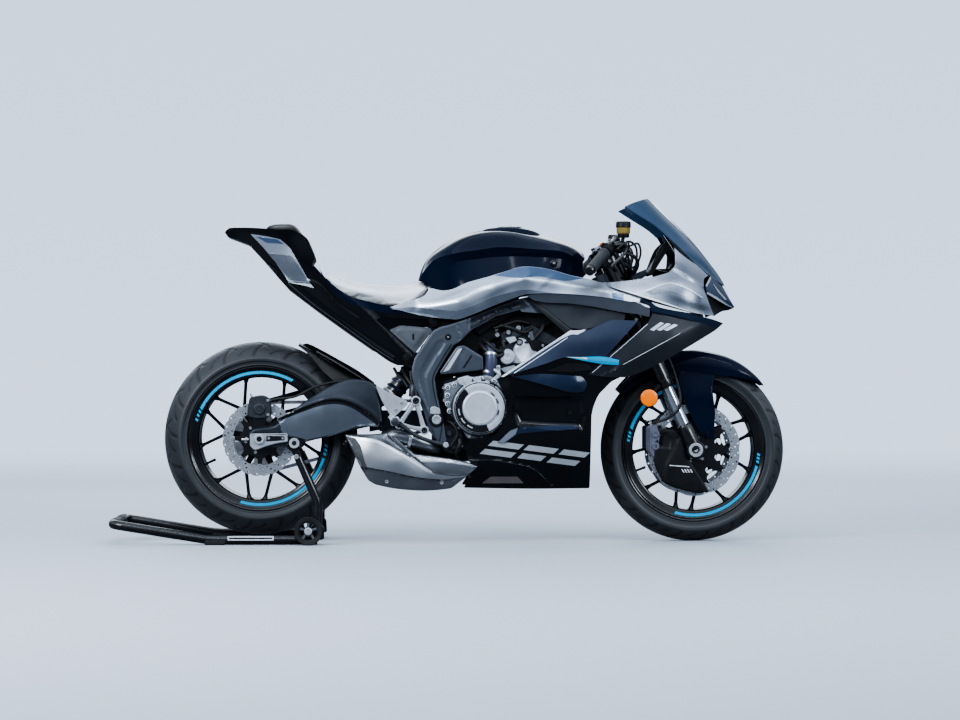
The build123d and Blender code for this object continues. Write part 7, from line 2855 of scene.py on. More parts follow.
    def _axle_ends(self) -> None:
        """The pale axle blocks, the round nuts, the chain adjusters and the stand bobbins."""
        draft = Draft()
        x, z = REAR_AXLE
        block = ((-641, 349, 4), (-604, 352), (-560, 350, 3), (-520, 350, 3), (-520, 326, 3),
                 (-566, 318), (-626, 298, 8), (-640, 312, 6))
        draft.plate(block, -146.2, -157, ALLOY, 2.5)
        draft.lathe([(17, 0), (17, 9), (14.5, 12), (9, 12), (8, 8), (0.5, 8)], (x, -157, z), RIGHT,
                    ALLOY, 32)
        draft.lathe([(8.2, 7), (8.2, 9.4), (0.5, 9.4)], (x, -157, z), RIGHT, BLACK_METAL, 24)
        draft.plate(((-588, 345, 3), (-530, 344, 3), (-530, 331, 3), (-588, 327, 3)), -156.4,
                    -158.2, BLACK_METAL, 0.5)
        draft.plate(((-640, 352, 2), (-522, 353, 2), (-522, 350, 2), (-640, 348, 2)), -156, -159,
                    STEEL, 0.6)
        draft.lathe([(11, -146), (11, 146)], (x, 0, z), LEFT, STEEL, 20)
        draft.tube([(-646, -131, 333), (-668, -131, 333)], 4.0, ZINC, 8)
        draft.lathe([(7.5, 0), (7.5, 5)], (-650, -131, 333), (-1, 0, 0), ZINC, 6)
        draft.lathe([(12, 0), (14, 3), (14, 13), (17.5, 15), (18, 20), (16, 22), (8, 22), (6.5, 18),
                     (0.5, 18)], (BOBBIN[0], -147.5, BOBBIN[1]), RIGHT, ALLOY, 32)
        draft.mirrored()
        draft.piece("axle_blocks_and_bobbins", "chassis", edge=0.6)
        for bx in (-580, -536):
            SCREWS.pair("chassis", ZINC, (bx, -158.2, 337), 4.0)

    def _spring(self) -> None:
        """The shock's coil spring, its collars and its body."""
        draft = Draft()
        top, low = Vector((-92, 0, 593)), Vector((-186, 0, 478))
        way = (low - top).normalized()
        u, v = Vector(LEFT), way.cross(Vector(LEFT))
        length = (low - top).length
        path = []
        coils, steps = 6.5, 120
        for k in range(steps + 1):
            t, a = k / steps, 2 * math.pi * coils * k / steps
            path.append(tuple(top + way * length * t + (u * math.cos(a) + v * math.sin(a)) * 29.0))
        draft.tube(path, 5.6, NAVY_SATIN, 8)
        draft.lathe([(36, -6), (37, -4), (37, 2), (34, 5), (22, 5)], tuple(top), tuple(way), ALLOY,
                    32)
        draft.lathe([(22, -5), (35, -4), (36, 0), (34, 6)], tuple(low), tuple(way), ALLOY, 32)
        draft.lathe([(22, -30), (22, length * 0.55), (11, length * 0.56), (11, length + 34)],
                    tuple(top), tuple(way), BLACK_METAL, 28)
        draft.piece("shock_spring_and_body", "chassis")
        dress("rear_shock", BLACK_METAL)


# ---------------------------------------------------------------- engine
@dataclass
class Engine:
    """The engine's covers, its head, hoses, pump and everything bolted to it."""

    clutch: tuple[float, float] = (93.0, 434.0)
    generator: tuple[float, float] = (130.0, 440.0)
    fins: int = 71
    fin_pitch: float = 4.03

    def build(self) -> None:
        """Makes all of the engine's dressing."""
        dress("engine_block", DARK_ALLOY)
        self._clutch_side()
        self._left_side()
        self._head()
        self._box()
        self._plumbing()
        self._intake()
        self._radiator()

    def _clutch_side(self) -> None:
        """The pale right-hand cover with its clutch cover and dark arc."""
        draft = Draft()
        x, z = self.clutch
        case = ((-22, 511, 5), (-6, 515), (46, 533, 6), (80, 535), (116, 540, 8), (146, 530, 8),
                (168, 486), (178, 430), (160, 380), (130, 350), (92, 336), (56, 334, 8), (36, 364),
                (10, 398), (-22, 452, 8))
        draft.plate(case, -112, -146, CASE_GREY, 3.0)
        panel = Panel(case,
                      ((0, 490, 150), (60, 520, 156), (140, 500, 158), (150, 400, 158),
                       (60, 360, 156), (0, 440, 150), (90, 434, 160)), CASE_GREY, wall=6.0,
                      spacing=7.0, roll=5.0)
        panel.cover(draft)
        draft.lathe([(90, 0), (90, 8), (87, 12), (82, 13)], (x, -152, z), RIGHT, CASE_GREY, 96)
        draft.lathe([(86, 4), (86, 20), (83, 25), (78, 26.5), (56, 27), (54, 26)], (x, -152, z),
                    RIGHT, VALVE_GREY, 96)
        for start, end, finish, inner, outer, y in ((128, 292, BLACK_METAL, 57, 78, -180.0),
                                                    (182, 200, VALVE_GREY, 66, 70, -181.6),
                                                    (208, 226, VALVE_GREY, 66, 70, -181.6),
                                                    (234, 250, VALVE_GREY, 66, 70, -181.6)):
            arc_band(draft, x, z, inner, outer, y, 3.0, start, end, finish)
        draft.lathe([(56, 20), (56, 31), (54, 34), (50, 35.5), (46, 35.5), (45, 34.6), (0.5, 34.6)],
                    (x, -152, z), RIGHT, turned("clutch_cap_face", VALVE_GREY, x, z, 2.4), 96)
        for bx, bz in ((-9, 499), (12, 507), (-10, 474), (-9, 447), (-3, 424), (40, 517), (67, 524),
                       (97, 527), (139, 519)):
            place = panel.on(bx, bz)
            draft.lathe([(9.0, -5), (9.0, 3), (7.6, 4.6), (0.5, 4.6)], place, RIGHT, VALVE_GREY, 20)
            draft.lathe([(5.4, 4), (5.2, 6), (3.0, 6), (2.8, 4.4)], place, RIGHT, BLACK_METAL, 12)
        # Dark rings round the clutch cover and short dark arcs by its cap: painted shade in the
        # grooves.
        arc_band(draft, x, z, 79.2, 82.4, -178.9, 2.0, 0, 359.9, BLACK_METAL)
        arc_band(draft, x, z, 87.5, 91.5, -163.6, 3.0, 0, 359.9, BLACK_METAL)
        for a in (14, 40, -22):
            arc_band(draft, x, z, 58.5, 62.0, -181.0, 2.0, a, a + 16, BLACK_METAL)
        draft.plate(((20, 528, 6), (60, 536), (76, 505, 6), (62, 488, 6), (44, 502), (26, 510, 6)),
                    -150, -166, VALVE_GREY, 3.0)
        for bx, bz, r in ((52, 520, 10), (86, 522, 12), (116, 512, 10)):
            draft.lathe([(r, 0), (r, 20), (r - 2, 22), (r * 0.5, 22)], (bx, -152, bz), RIGHT,
                        VALVE_GREY, 20)
        draft.lathe([(15, 0), (15, 23), (13, 25), (9, 25), (8, 22), (0.5, 22)], (128, -152, 500),
                    RIGHT, BLACK_METAL, 28)
        draft.piece("clutch_side_covers", "chassis", "engine_covers", edge=0.9, sharp=34.0)
        for bx, bz in ((-22, 498), (-20, 458), (-2, 420), (28, 372), (60, 344), (98, 344),
                       (138, 364), (162, 400), (40, 522), (66, 529), (96, 529), (138, 522),
                       (158, 486)):
            SCREWS.add("chassis", ZINC, (bx, -155.5 if bx > 0 else -150, bz), RIGHT, 5.4)
        for k in range(7):
            sx, sz = polar(x, z, 82, -64 + 27 * k)
            SCREWS.add("chassis", ZINC, (sx, -174, sz), RIGHT, 4.6)

    def _left_side(self) -> None:
        """The generator cover and the sprocket cover on the left."""
        draft = Draft()
        case = ((62, 512, 6), (143, 538, 8), (186, 500, 10), (182, 400, 12), (131, 345, 10),
                (62, 345, 6))
        draft.plate(case, 94, 128, DARK_ALLOY, 3.0)
        at = (self.generator[0], 126, self.generator[1])
        draft.lathe([(68, 0), (68, 22), (64, 28), (56, 30), (40, 30), (38, 28), (0.5, 28)], at,
                    LEFT, DARK_ALLOY, 72)
        draft.lathe([(30, 27), (30, 31), (27, 33), (0.5, 33)], at, LEFT, VALVE_GREY, 48)
        draft.plate(((-34, 470, 12), (40, 486, 14), (54, 440), (48, 372, 14), (-10, 366, 12),
                     (-36, 400)), 114, 122, DARK_ALLOY, 3.0)
        draft.piece("generator_side_covers", "chassis", edge=0.9)
        for bx, bz in ((72, 504), (136, 528), (176, 494), (176, 404), (130, 354), (72, 354),
                       (-22, 462), (38, 476), (36, 380), (-10, 376)):
            SCREWS.add("chassis", ZINC, (bx, 128 if bx > 60 else 122, bz), LEFT, 5.4)

    def _head(self) -> None:
        """The cylinder head's end, the cam cover and their bolts, below the frame."""
        draft = Draft()
        for side in (-1, 1):
            draft.plate(((196, 578, 4), (204, 628, 6), (222, 660, 5), (250, 650), (290, 628, 5),
                         (300, 604, 4), (250, 572, 4)), side * 117, side * 134, VALVE_GREY, 3.0)
            draft.plate(((168, 640, 4), (206, 654, 6), (230, 668, 4), (250, 676, 6), (232, 700, 5),
                         (186, 690, 6), (158, 668, 5)), side * 117, side * 130, DARK_ALLOY, 3.0)
            draft.plate(((176, 658, 3), (206, 664, 3), (214, 650, 3), (190, 640, 3)), side * 130,
                        side * 136, VALVE_GREY, 1.5)
            draft.lathe([(24, -10), (25, 0), (25, 18), (22, 22), (10, 23), (8, 20), (0.5, 20)],
                        (182, side * 122, 598), (0, side, 0), VALVE_GREY, 36)
            draft.plate(((158, 560, 4), (206, 572, 4), (216, 556, 4), (176, 544, 4)), side * 118,
                        side * 132, VALVE_GREY, 2.5)
            for bx, bz, r in ((186, 676, 11), (218, 690, 12), (222, 644, 11), (150, 668, 11)):
                draft.lathe([(r, -4), (r, 5), (r - 1.5, 6.5), (r - 3, 6.5), (r - 3.5, 4)],
                            (bx, side * 130, bz), (0, side, 0), BLACK_BOLT, 24)
                draft.lathe([(r - 3.6, 3), (r - 3.6, 6.5), (r - 5, 8), (2.5, 8), (2.3, 6)],
                            (bx, side * 130, bz), (0, side, 0), ZINC, 16)
            draft.plate(((100, 548, 4), (110, 586, 5), (152, 622), (172, 640, 5), (184, 620, 4),
                         (150, 560, 5)), side * 112, side * 124, DARK_ALLOY, 3.0)
            for k in range(5):
                fx, fz = 118 + 14 * k, 566 + 16 * k
                draft.plate(((fx, fz, 1), (fx + 30, fz - 20, 1), (fx + 33, fz - 16, 1),
                             (fx + 3, fz + 4, 1)), side * 118, side * 128, DARK_ALLOY, 0.8)
        draft.piece("cylinder_head_ends", "chassis", edge=0.7)
        cover = Draft()
        cover.plate(((262, 690, 8), (348, 652, 8), (352, 628, 6), (236, 676, 6)), -112, 112,
                    BLACK_METAL, 6.0)
        for y in (-74, 0, 74):
            cover.lathe([(19, 0), (19, 16), (16, 19), (0.5, 19)], (292, y, 672), (0.42, 0, 0.91),
                        BLACK_PLASTIC, 28)
        cover.piece("cam_cover_and_coils", "chassis")

    def _box(self) -> None:
        """The grey box in front of the frame plate, with its pale bevel and slot."""
        draft = Draft()
        outline = ((-30, 540, 4), (-36, 548, 3), (20, 632, 9), (44, 635, 8), (104, 598, 6),
                   (106, 556, 6), (58, 550))
        panel = Panel(outline,
                      ((-20, 550, 146), (30, 620, 148), (98, 590, 150), (98, 560, 150),
                       (40, 580, 152)), FRAME_GREY,
                      (Feature(Relief.FOLD, ((10, 530), (26, 580), (50, 640)), 3.0, 6.0),),
                      wall=26.0, spacing=6.0, roll=4.0)
        panel.cover(draft)
        panel.cover(draft, ((-24, 548, 3), (24, 622, 6), (38, 626, 5), (-4, 556, 3)), VALVE_GREY,
                    1.0, 2.0, 6.0)
        panel.cover(draft, ((38, 562, 2), (66, 604, 2), (71, 602, 2), (44, 560, 2)), BLACK_PLASTIC,
                    0.6, 1.6, 5.0)
        draft.piece("engine_side_case", "chassis", "engine_side_box", edge=0.6)

    def _plumbing(self) -> None:
        """Hoses, pipes and wiring round the engine's right side."""
        draft = Draft()
        draft.plate(((-122, 300, 4), (-60, 322), (20, 330, 6), (64, 322, 6), (60, 262, 4),
                     (-60, 246, 6), (-122, 262, 4)), -62, -72, BLACK_PLASTIC, 2.0)
        draft.tube([(128, -126, 632), (130, -142, 610), (131, -146, 580), (126, -140, 545),
                    (112, -128, 520)], [17, 18.5, 19, 18, 16], NAVY_HOSE, 18, smooth=True)
        for at in ((130, -143, 606), (124, -139, 548)):
            draft.lathe([(20.5, -4), (21, 0), (20.5, 4)], at, (0.1, 0.2, 1), ZINC, 24)
        for path, r in (
                (((96, -120, 640), (112, -144, 622), (140, -150, 600), (166, -140, 606),
                  (176, -126, 630)), 8.5),
                (((104, -122, 654), (122, -148, 640), (150, -152, 616), (172, -136, 622),
                  (168, -120, 650)), 6.5),
                (((160, -120, 700), (196, -134, 690), (236, -132, 676), (262, -118, 690)), 6.0),
                (((140, -118, 690), (176, -130, 700), (214, -128, 712), (250, -112, 706)), 4.5),
                (((-10, -134, 392), (10, -150, 380), (22, -152, 352), (8, -146, 322),
                  (-16, -136, 300)), 6.0),
                (((18, -120, 330), (26, -140, 336), (30, -148, 318), (18, -140, 292),
                  (30, -120, 270)), 8.0),
                (((-150, -60, 560), (-140, -96, 530), (-120, -112, 500), (-112, -116, 470)), 7.0),
                (((-180, -30, 560), (-168, -80, 540), (-150, -108, 520), (-136, -118, 500)), 5.0),
                (((-60, -116, 620), (0, -124, 656), (60, -122, 690), (150, -118, 720)), 6.0),
                (((230, -126, 640), (262, -132, 652), (286, -130, 676), (300, -116, 700)), 7.0)):
            draft.tube(path, r, RUBBER, 12, smooth=True)
        draft.tube([(118, -146, 566), (146, -156, 552), (158, -158, 538)], 6.0, ALLOY, 12,
                   smooth=True)
        draft.plate(((146, 570, 4), (158, 572, 4), (162, 534, 5), (140, 520, 5), (134, 528, 4),
                     (148, 542)), -150, -160, VALVE_GREY, 2.0)
        draft.plate(((238, 668, 6), (282, 650, 6), (310, 640, 6), (302, 610, 6), (262, 618, 6)),
                    -126, -140, BLACK_PLASTIC, 3.0)
        draft.plate(((250, 676, 3), (262, 682, 3), (270, 652, 3), (258, 648, 3)), -138, -144,
                    GREY_PLASTIC, 1.5)
        for x, z in ((-18, 330), (10, 310), (26, 300), (-4, 352)):
            draft.lathe([(9, 0), (9, 12), (7, 14), (3, 14)], (x, -128, z), RIGHT, DARK_ALLOY, 20)
        draft.plate(((-24, 376, 6), (20, 392, 8), (44, 350, 8), (40, 300, 8), (4, 284, 8),
                     (-28, 300, 8)), -104, -128, DARK_ALLOY, 4.0)
        draft.piece("hoses_and_wiring", "chassis", sharp=40.0)
        for bx, bz in ((150, 562), (254, 664), (296, 634), (16, 382), (-14, 306), (36, 312)):
            SCREWS.add("chassis", ZINC, (bx, -160 if bx == 150 else -140 if bx > 200 else -128, bz),
                       RIGHT, 5.0)

    def _intake(self) -> None:
        """The airbox between the spars, its ducts, the throttle bodies and their dark covers."""
        draft = Draft()
        # The side sheets also fill the gaps under the spars where shadow shows: partly airbox,
        # partly painted shade.
        for side in (-1, 1):
            draft.plate(((-52, 536, 6), (-30, 610), (10, 668), (70, 704), (130, 736), (226, 772, 5),
                         (262, 762, 5), (330, 764, 6), (344, 720, 8), (300, 690), (238, 700),
                         (170, 668), (96, 622), (60, 540, 6)), side * 92, side * 104, BLACK_PLASTIC,
                        3.0)
            # This sheet between the spar and the band stands only for shadow: a painted shadow.
            draft.plate(((-60, 692, 3), (-52, 728, 3), (20, 722), (70, 740), (150, 772, 3),
                         (150, 750, 3), (60, 712), (-8, 688, 3)), side * 100, side * 114,
                        BLACK_PLASTIC, 2.0)
            draft.plate(((60, 700, 4), (150, 742), (228, 770, 4), (236, 744, 4), (160, 706),
                         (92, 664, 4)), side * 104, side * 116, BLACK_PLASTIC, 4.0)
        draft.plate(((84, 690, 12), (116, 706, 10), (190, 740, 14), (232, 800, 12), (60, 800, 14),
                     (30, 752, 14)), -110, 110, BLACK_PLASTIC, 10.0)
        draft.plate(((-56, 540, 6), (-40, 612), (10, 672), (70, 700), (150, 740), (230, 775, 8),
                     (400, 762, 8), (418, 700, 8), (372, 655), (300, 640), (240, 600),
                     (60, 530, 6)), -88, 88, BLACK_PLASTIC, 8.0)
        for side in (-1, 1):
            draft.plate(((-60, 545, 4), (10, 540, 4), (4, 400), (0, 330, 4), (-30, 320, 4),
                         (-66, 400), (-78, 470)), side * 90, side * 98, BLACK_PLASTIC, 2.0)
        for y in (-78, 0, 78):
            draft.tube([(128, y, 704), (166, y, 669), (205, y, 634)], [24, 22, 24], DARK_ALLOY, 24)
            draft.lathe([(26, -4), (27, 0), (26, 4)], (150, y, 684), (0.74, 0, -0.67), ZINC, 24)
        draft.tube([(176, -112, 668), (176, 112, 668)], 6.0, BLACK_METAL, 12)
        draft.piece("airbox_and_throttles", "chassis", "intake")

    def _radiator(self) -> None:
        """The radiator's fins, tanks and fan cowl."""
        dress("radiator", BLACK_METAL)
        fin = Draft()
        fin.flat([(-0.5, -101), (0.5, -101), (0.5, 101), (-0.5, 101)], -9, 9, BLACK_METAL, 0.1)
        part = small_part("radiator_fin", fin)
        way = Vector((46, 0, 210)).normalized()
        middle = Vector((395, 0, 497))
        spots = [(tuple(middle + Vector((0, -141 + self.fin_pitch * k, 0))), tuple(way), 1.0)
                 for k in range(self.fins)]
        Repeats.on_spots("radiator_fins", "chassis", DARK_ALLOY, part, spots)
        draft = Draft()
        for y in (-152, 138):
            draft.plate(((346, 386, 5), (390, 386, 5), (438, 604, 5), (394, 604, 5)), y, y + 14,
                        BLACK_METAL, 4.0)
        draft.tube([(380, -138, 420), (340, -126, 380), (290, -110, 352), (230, -100, 350)], 15,
                   RUBBER, 16, smooth=True)
        draft.tube([(420, 138, 585), (400, 130, 640), (340, 122, 668), (290, 118, 660)], 14, RUBBER,
                   16, smooth=True)
        draft.piece("radiator_tanks_and_hoses", "chassis", edge=1.0)


# ---------------------------------------------------------------- exhaust
@dataclass
class Exhaust:
    """The silencer's folded body, its dark mesh end, its lower plate and the header pipes."""

    body: tuple[Flat, ...] = (
        (-338, 349, 4), (-300, 348), (-239, 349), (-206, 354, 10), (-180, 343), (-146, 312),
        (-114, 287, 5), (-86, 283), (-20, 274), (39, 263), (86, 248, 3), (60, 224), (20, 192, 6),
        (2, 178, 8), (-50, 172), (-103, 171), (-182, 178), (-240, 190, 8), (-262, 203, 6),
        (-276, 225), (-289, 248, 3), (-312, 296))

    def build(self) -> None:
        """Makes the silencer and dresses the pipes."""
        draft = Draft()
        panel = Panel(
            self.body,
            ((-330, 345, 168), (-295, 300, 190), (-262, 215, 196), (-239, 335, 196),
             (-206, 345, 186), (-180, 330, 190), (-165, 270, 214), (-180, 190, 200),
             (-114, 280, 200), (-80, 215, 214), (-60, 180, 200), (0, 255, 204), (30, 215, 204),
             (80, 246, 198)), EXHAUST_ALLOY,
            (Feature(Relief.FIELD,
                     ((-338, 349, 0), (-304, 342), (-239, 334), (-204, 319), (-165, 297),
                      (-125, 274), (-52, 226), (-46, 226), (-69, 240), (-108, 268), (-165, 319),
                      (-204, 353), (-206, 360, 0), (-338, 360, 0)), -7.0, 9.0),
             Feature(Relief.FIELD,
                     ((-204, 356, 0), (-165, 319), (-108, 268), (-69, 240), (-46, 226), (40, 219),
                      (100, 246), (90, 300, 0), (-100, 330, 0)), 5.0, 7.0),
             Feature(Relief.FIELD,
                     ((50, 216, 0), (-35, 207), (-125, 216), (-205, 234), (-295, 249, 0),
                      (-270, 160, 0), (60, 160, 0)), -8.0, 6.0)), wall=120.0, spacing=6.0, roll=6.0)
        panel.cover(draft)
        mesh_end = ((-337, 345, 2), (-304, 338, 3), (-289, 316), (-273, 262), (-266, 243),
                    (-252, 200, 3), (-264, 206, 3), (-289, 248), (-312, 296))
        panel.cover(draft, mesh_end, EXHAUST_DARK, 0.8, 3.0, 6.0)
        # The upper face, the side face and the lower plate in the darker brushed finish: painted
        # shade.
        upper = ((-298, 345, 2), (-239, 346), (-206, 351), (-181, 340), (-148, 310), (-118, 287, 1),
                 (-100, 264, 1), (-69, 238), (-55, 228, 1), (-125, 276), (-165, 299), (-204, 321),
                 (-239, 336), (-290, 343, 1))
        panel.cover(draft, upper, EXHAUST_SHADE, 1.0, 3.0, 6.0)
        side = ((-96, 262, 1), (-40, 262), (30, 254), (84, 246, 1), (41, 223, 1), (-40, 229, 1))
        panel.cover(draft, side, EXHAUST_SHADE, 1.0, 3.0, 6.0)
        low = ((-288, 244, 1), (-205, 229), (-125, 212), (-60, 203), (0, 202), (34, 207, 1),
               (18, 194), (0, 180, 4), (-50, 175), (-103, 174), (-181, 181), (-238, 193, 5),
               (-260, 206, 4))
        panel.cover(draft, low, EXHAUST_SHADE, 1.0, 3.0, 6.0)
        # The crown and the band along the fold in the paler brushed finish: painted highlights.
        crown = ((-112, 285, 1), (-86, 283, 1), (-20, 273), (39, 263), (84, 248, 1), (30, 256),
                 (-40, 264), (-94, 265, 1))
        panel.cover(draft, crown, EXHAUST_HIGHLIGHT, 1.2, 3.0, 6.0)
        panel.cover(draft,
                    ((-290, 340, 1), (-239, 333), (-204, 318), (-165, 296), (-125, 273),
                     (-56, 227, 1), (-48, 221, 1), (-66, 226), (-128, 264), (-167, 287),
                     (-205, 308), (-239, 323), (-284, 330, 1)), EXHAUST_HIGHLIGHT, 1.0, 3.0, 6.0)
        seam = ((-288, 250, 0), (-205, 235), (-125, 218), (-60, 209), (0, 208), (44, 214, 0),
                (0, 205, 0), (-60, 206), (-125, 215), (-205, 232), (-288, 246.5, 0))
        panel.cover(draft, seam, BLACK_METAL, 0.5, 3.0, 6.0)
        draft.piece("silencer_body", "chassis", "silencer", edge=0.8, sharp=30.0)
        for x, z in ((-204, 200), (-29, 196)):
            SCREWS.add("chassis", ZINC, panel.on(x, z, -0.4), RIGHT, 6.0)
        dress("exhaust_headers", HEAT_STEEL)
        pipe = Draft()
        # The link pipe takes the silencer's darker painted-shade finish.
        pipe.tube([(-214, -120, 338), (-176, -132, 344), (-120, -134, 330), (-70, -118, 312),
                   (-40, -96, 300)], [23, 24, 23, 21, 18], EXHAUST_SHADE, 28, smooth=True)
        pipe.lathe([(27.5, -5), (28.5, 0), (27.5, 5)], (-128, -134, 332), (-0.95, 0.0, 0.25), ZINC,
                   28)
        pipe.lathe([(13, 0), (15, 2), (15, 10), (13, 10), (12, 4)], (-331, -150, 322),
                   (-1, -0.25, 0.1), BLACK_METAL, 24)
        pipe.piece("link_pipe_and_outlet", "chassis")


# ---------------------------------------------------------------- footrests
@dataclass
class Footrests:
    """The heel plates, forged hangers, pegs, pedals and their bolts."""

    heel: tuple[Flat, ...] = ((-240, 505, 3), (-190, 480), (-140, 457, 5), (-136, 446, 4),
                              (-180, 405, 5), (-196, 414, 5), (-222, 462))

    def build(self) -> None:
        """Makes both sides."""
        draft = Draft()
        draft.plate(self.heel, -163, -167, ALLOY, 1.2)
        knots = ((-111, 457), (-84, 363), (-164, 381))
        for (ax, az), (bx, bz) in zip(knots, [*knots[1:], knots[0]]):
            beam(draft, [(ax, -166, az), ((ax + bx) / 2, -166, (az + bz) / 2), (bx, -166, bz)],
                 (17, 12, 17), (13, 11, 13), ALLOY)
        beam(draft, [(-160, -166, 385), (-176, -166, 392), (-196, -165, 410)], (18, 20, 16),
             (13, 12, 8), ALLOY)
        for (x, z), r in zip(knots, (15.5, 14.5, 15)):
            draft.lathe([(r, -10), (r, 9), (r - 2, 11), (r - 5, 11)], (x, -166, z), RIGHT, ALLOY,
                        32)
            draft.lathe([(r - 5, 4), (r - 5, 11), (r - 6.5, 12.5), (4, 12.5), (3.5, 9)],
                        (x, -166, z), RIGHT, BLACK_BOLT, 24)
            draft.lathe([(4.4, 8), (4.2, 11), (0.4, 11)], (x, -166, z), RIGHT, ZINC, 12)
        draft.mirrored()
        draft.piece("footrest_plates", "chassis", "footrest_hangers", edge=0.8)
        for x, z in ((-156, 450), (-174, 427)):
            SCREWS.pair("chassis", ZINC, (x, -167, z), 5.6)
        self._pegs()

    def _pegs(self) -> None:
        """The folding pegs with their grooves, the brake pedal and the gear pedal."""
        draft = Draft()
        profile = [(7, 0), (10, 4), (10, 12)]
        for k in range(14):
            profile += [(12.5, 14 + 5 * k), (12.5, 16.4 + 5 * k), (11.2, 16.8 + 5 * k),
                        (11.2, 18.6 + 5 * k)]
        profile += [(13, 84), (13, 90), (9, 92)]
        for side in (-1, 1):
            draft.lathe(profile, (-178, side * 170, 392), (0, side, 0), DARK_ALLOY, 24)
            draft.box((-178, side * 172, 392), (30, 16, 26), ALLOY, 12, 4)
        draft.tube([(-160, -176, 381), (-120, -182, 352), (-70, -186, 330), (-22, -188, 318)],
                   [8, 6.5, 6.5, 6.5], DARK_ALLOY, 14, smooth=True)
        draft.lathe([(8, -16), (9, -14), (9, 14), (8, 16)], (-16, -196, 317), LEFT, ALLOY, 20)
        draft.tube([(-160, 176, 381), (-120, 182, 372), (-84, 186, 366), (-44, 188, 362)],
                   [7, 5.5, 5.5, 5.5], DARK_ALLOY, 14, smooth=True)
        draft.lathe([(8, -16), (9, -14), (9, 14), (8, 16)], (-40, 196, 362), LEFT, RUBBER, 20)
        draft.tube([(-104, 178, 368), (-90, 150, 392), (-50, 120, 410), (-20, 112, 420)], 4.0, ZINC,
                   10, smooth=True)
        draft.tube([(-108, -170, 462), (-112, -150, 492), (-124, -130, 520), (-128, -118, 552)],
                   5.0, RUBBER, 12, smooth=True)
        draft.lathe([(12, 0), (13, 3), (13, 34), (11, 38), (6, 40)], (-121, -138, 470),
                    (0.06, 0.1, 1), DARK_ALLOY, 24)
        draft.piece("pegs_and_pedals", "chassis", edge=0.5)


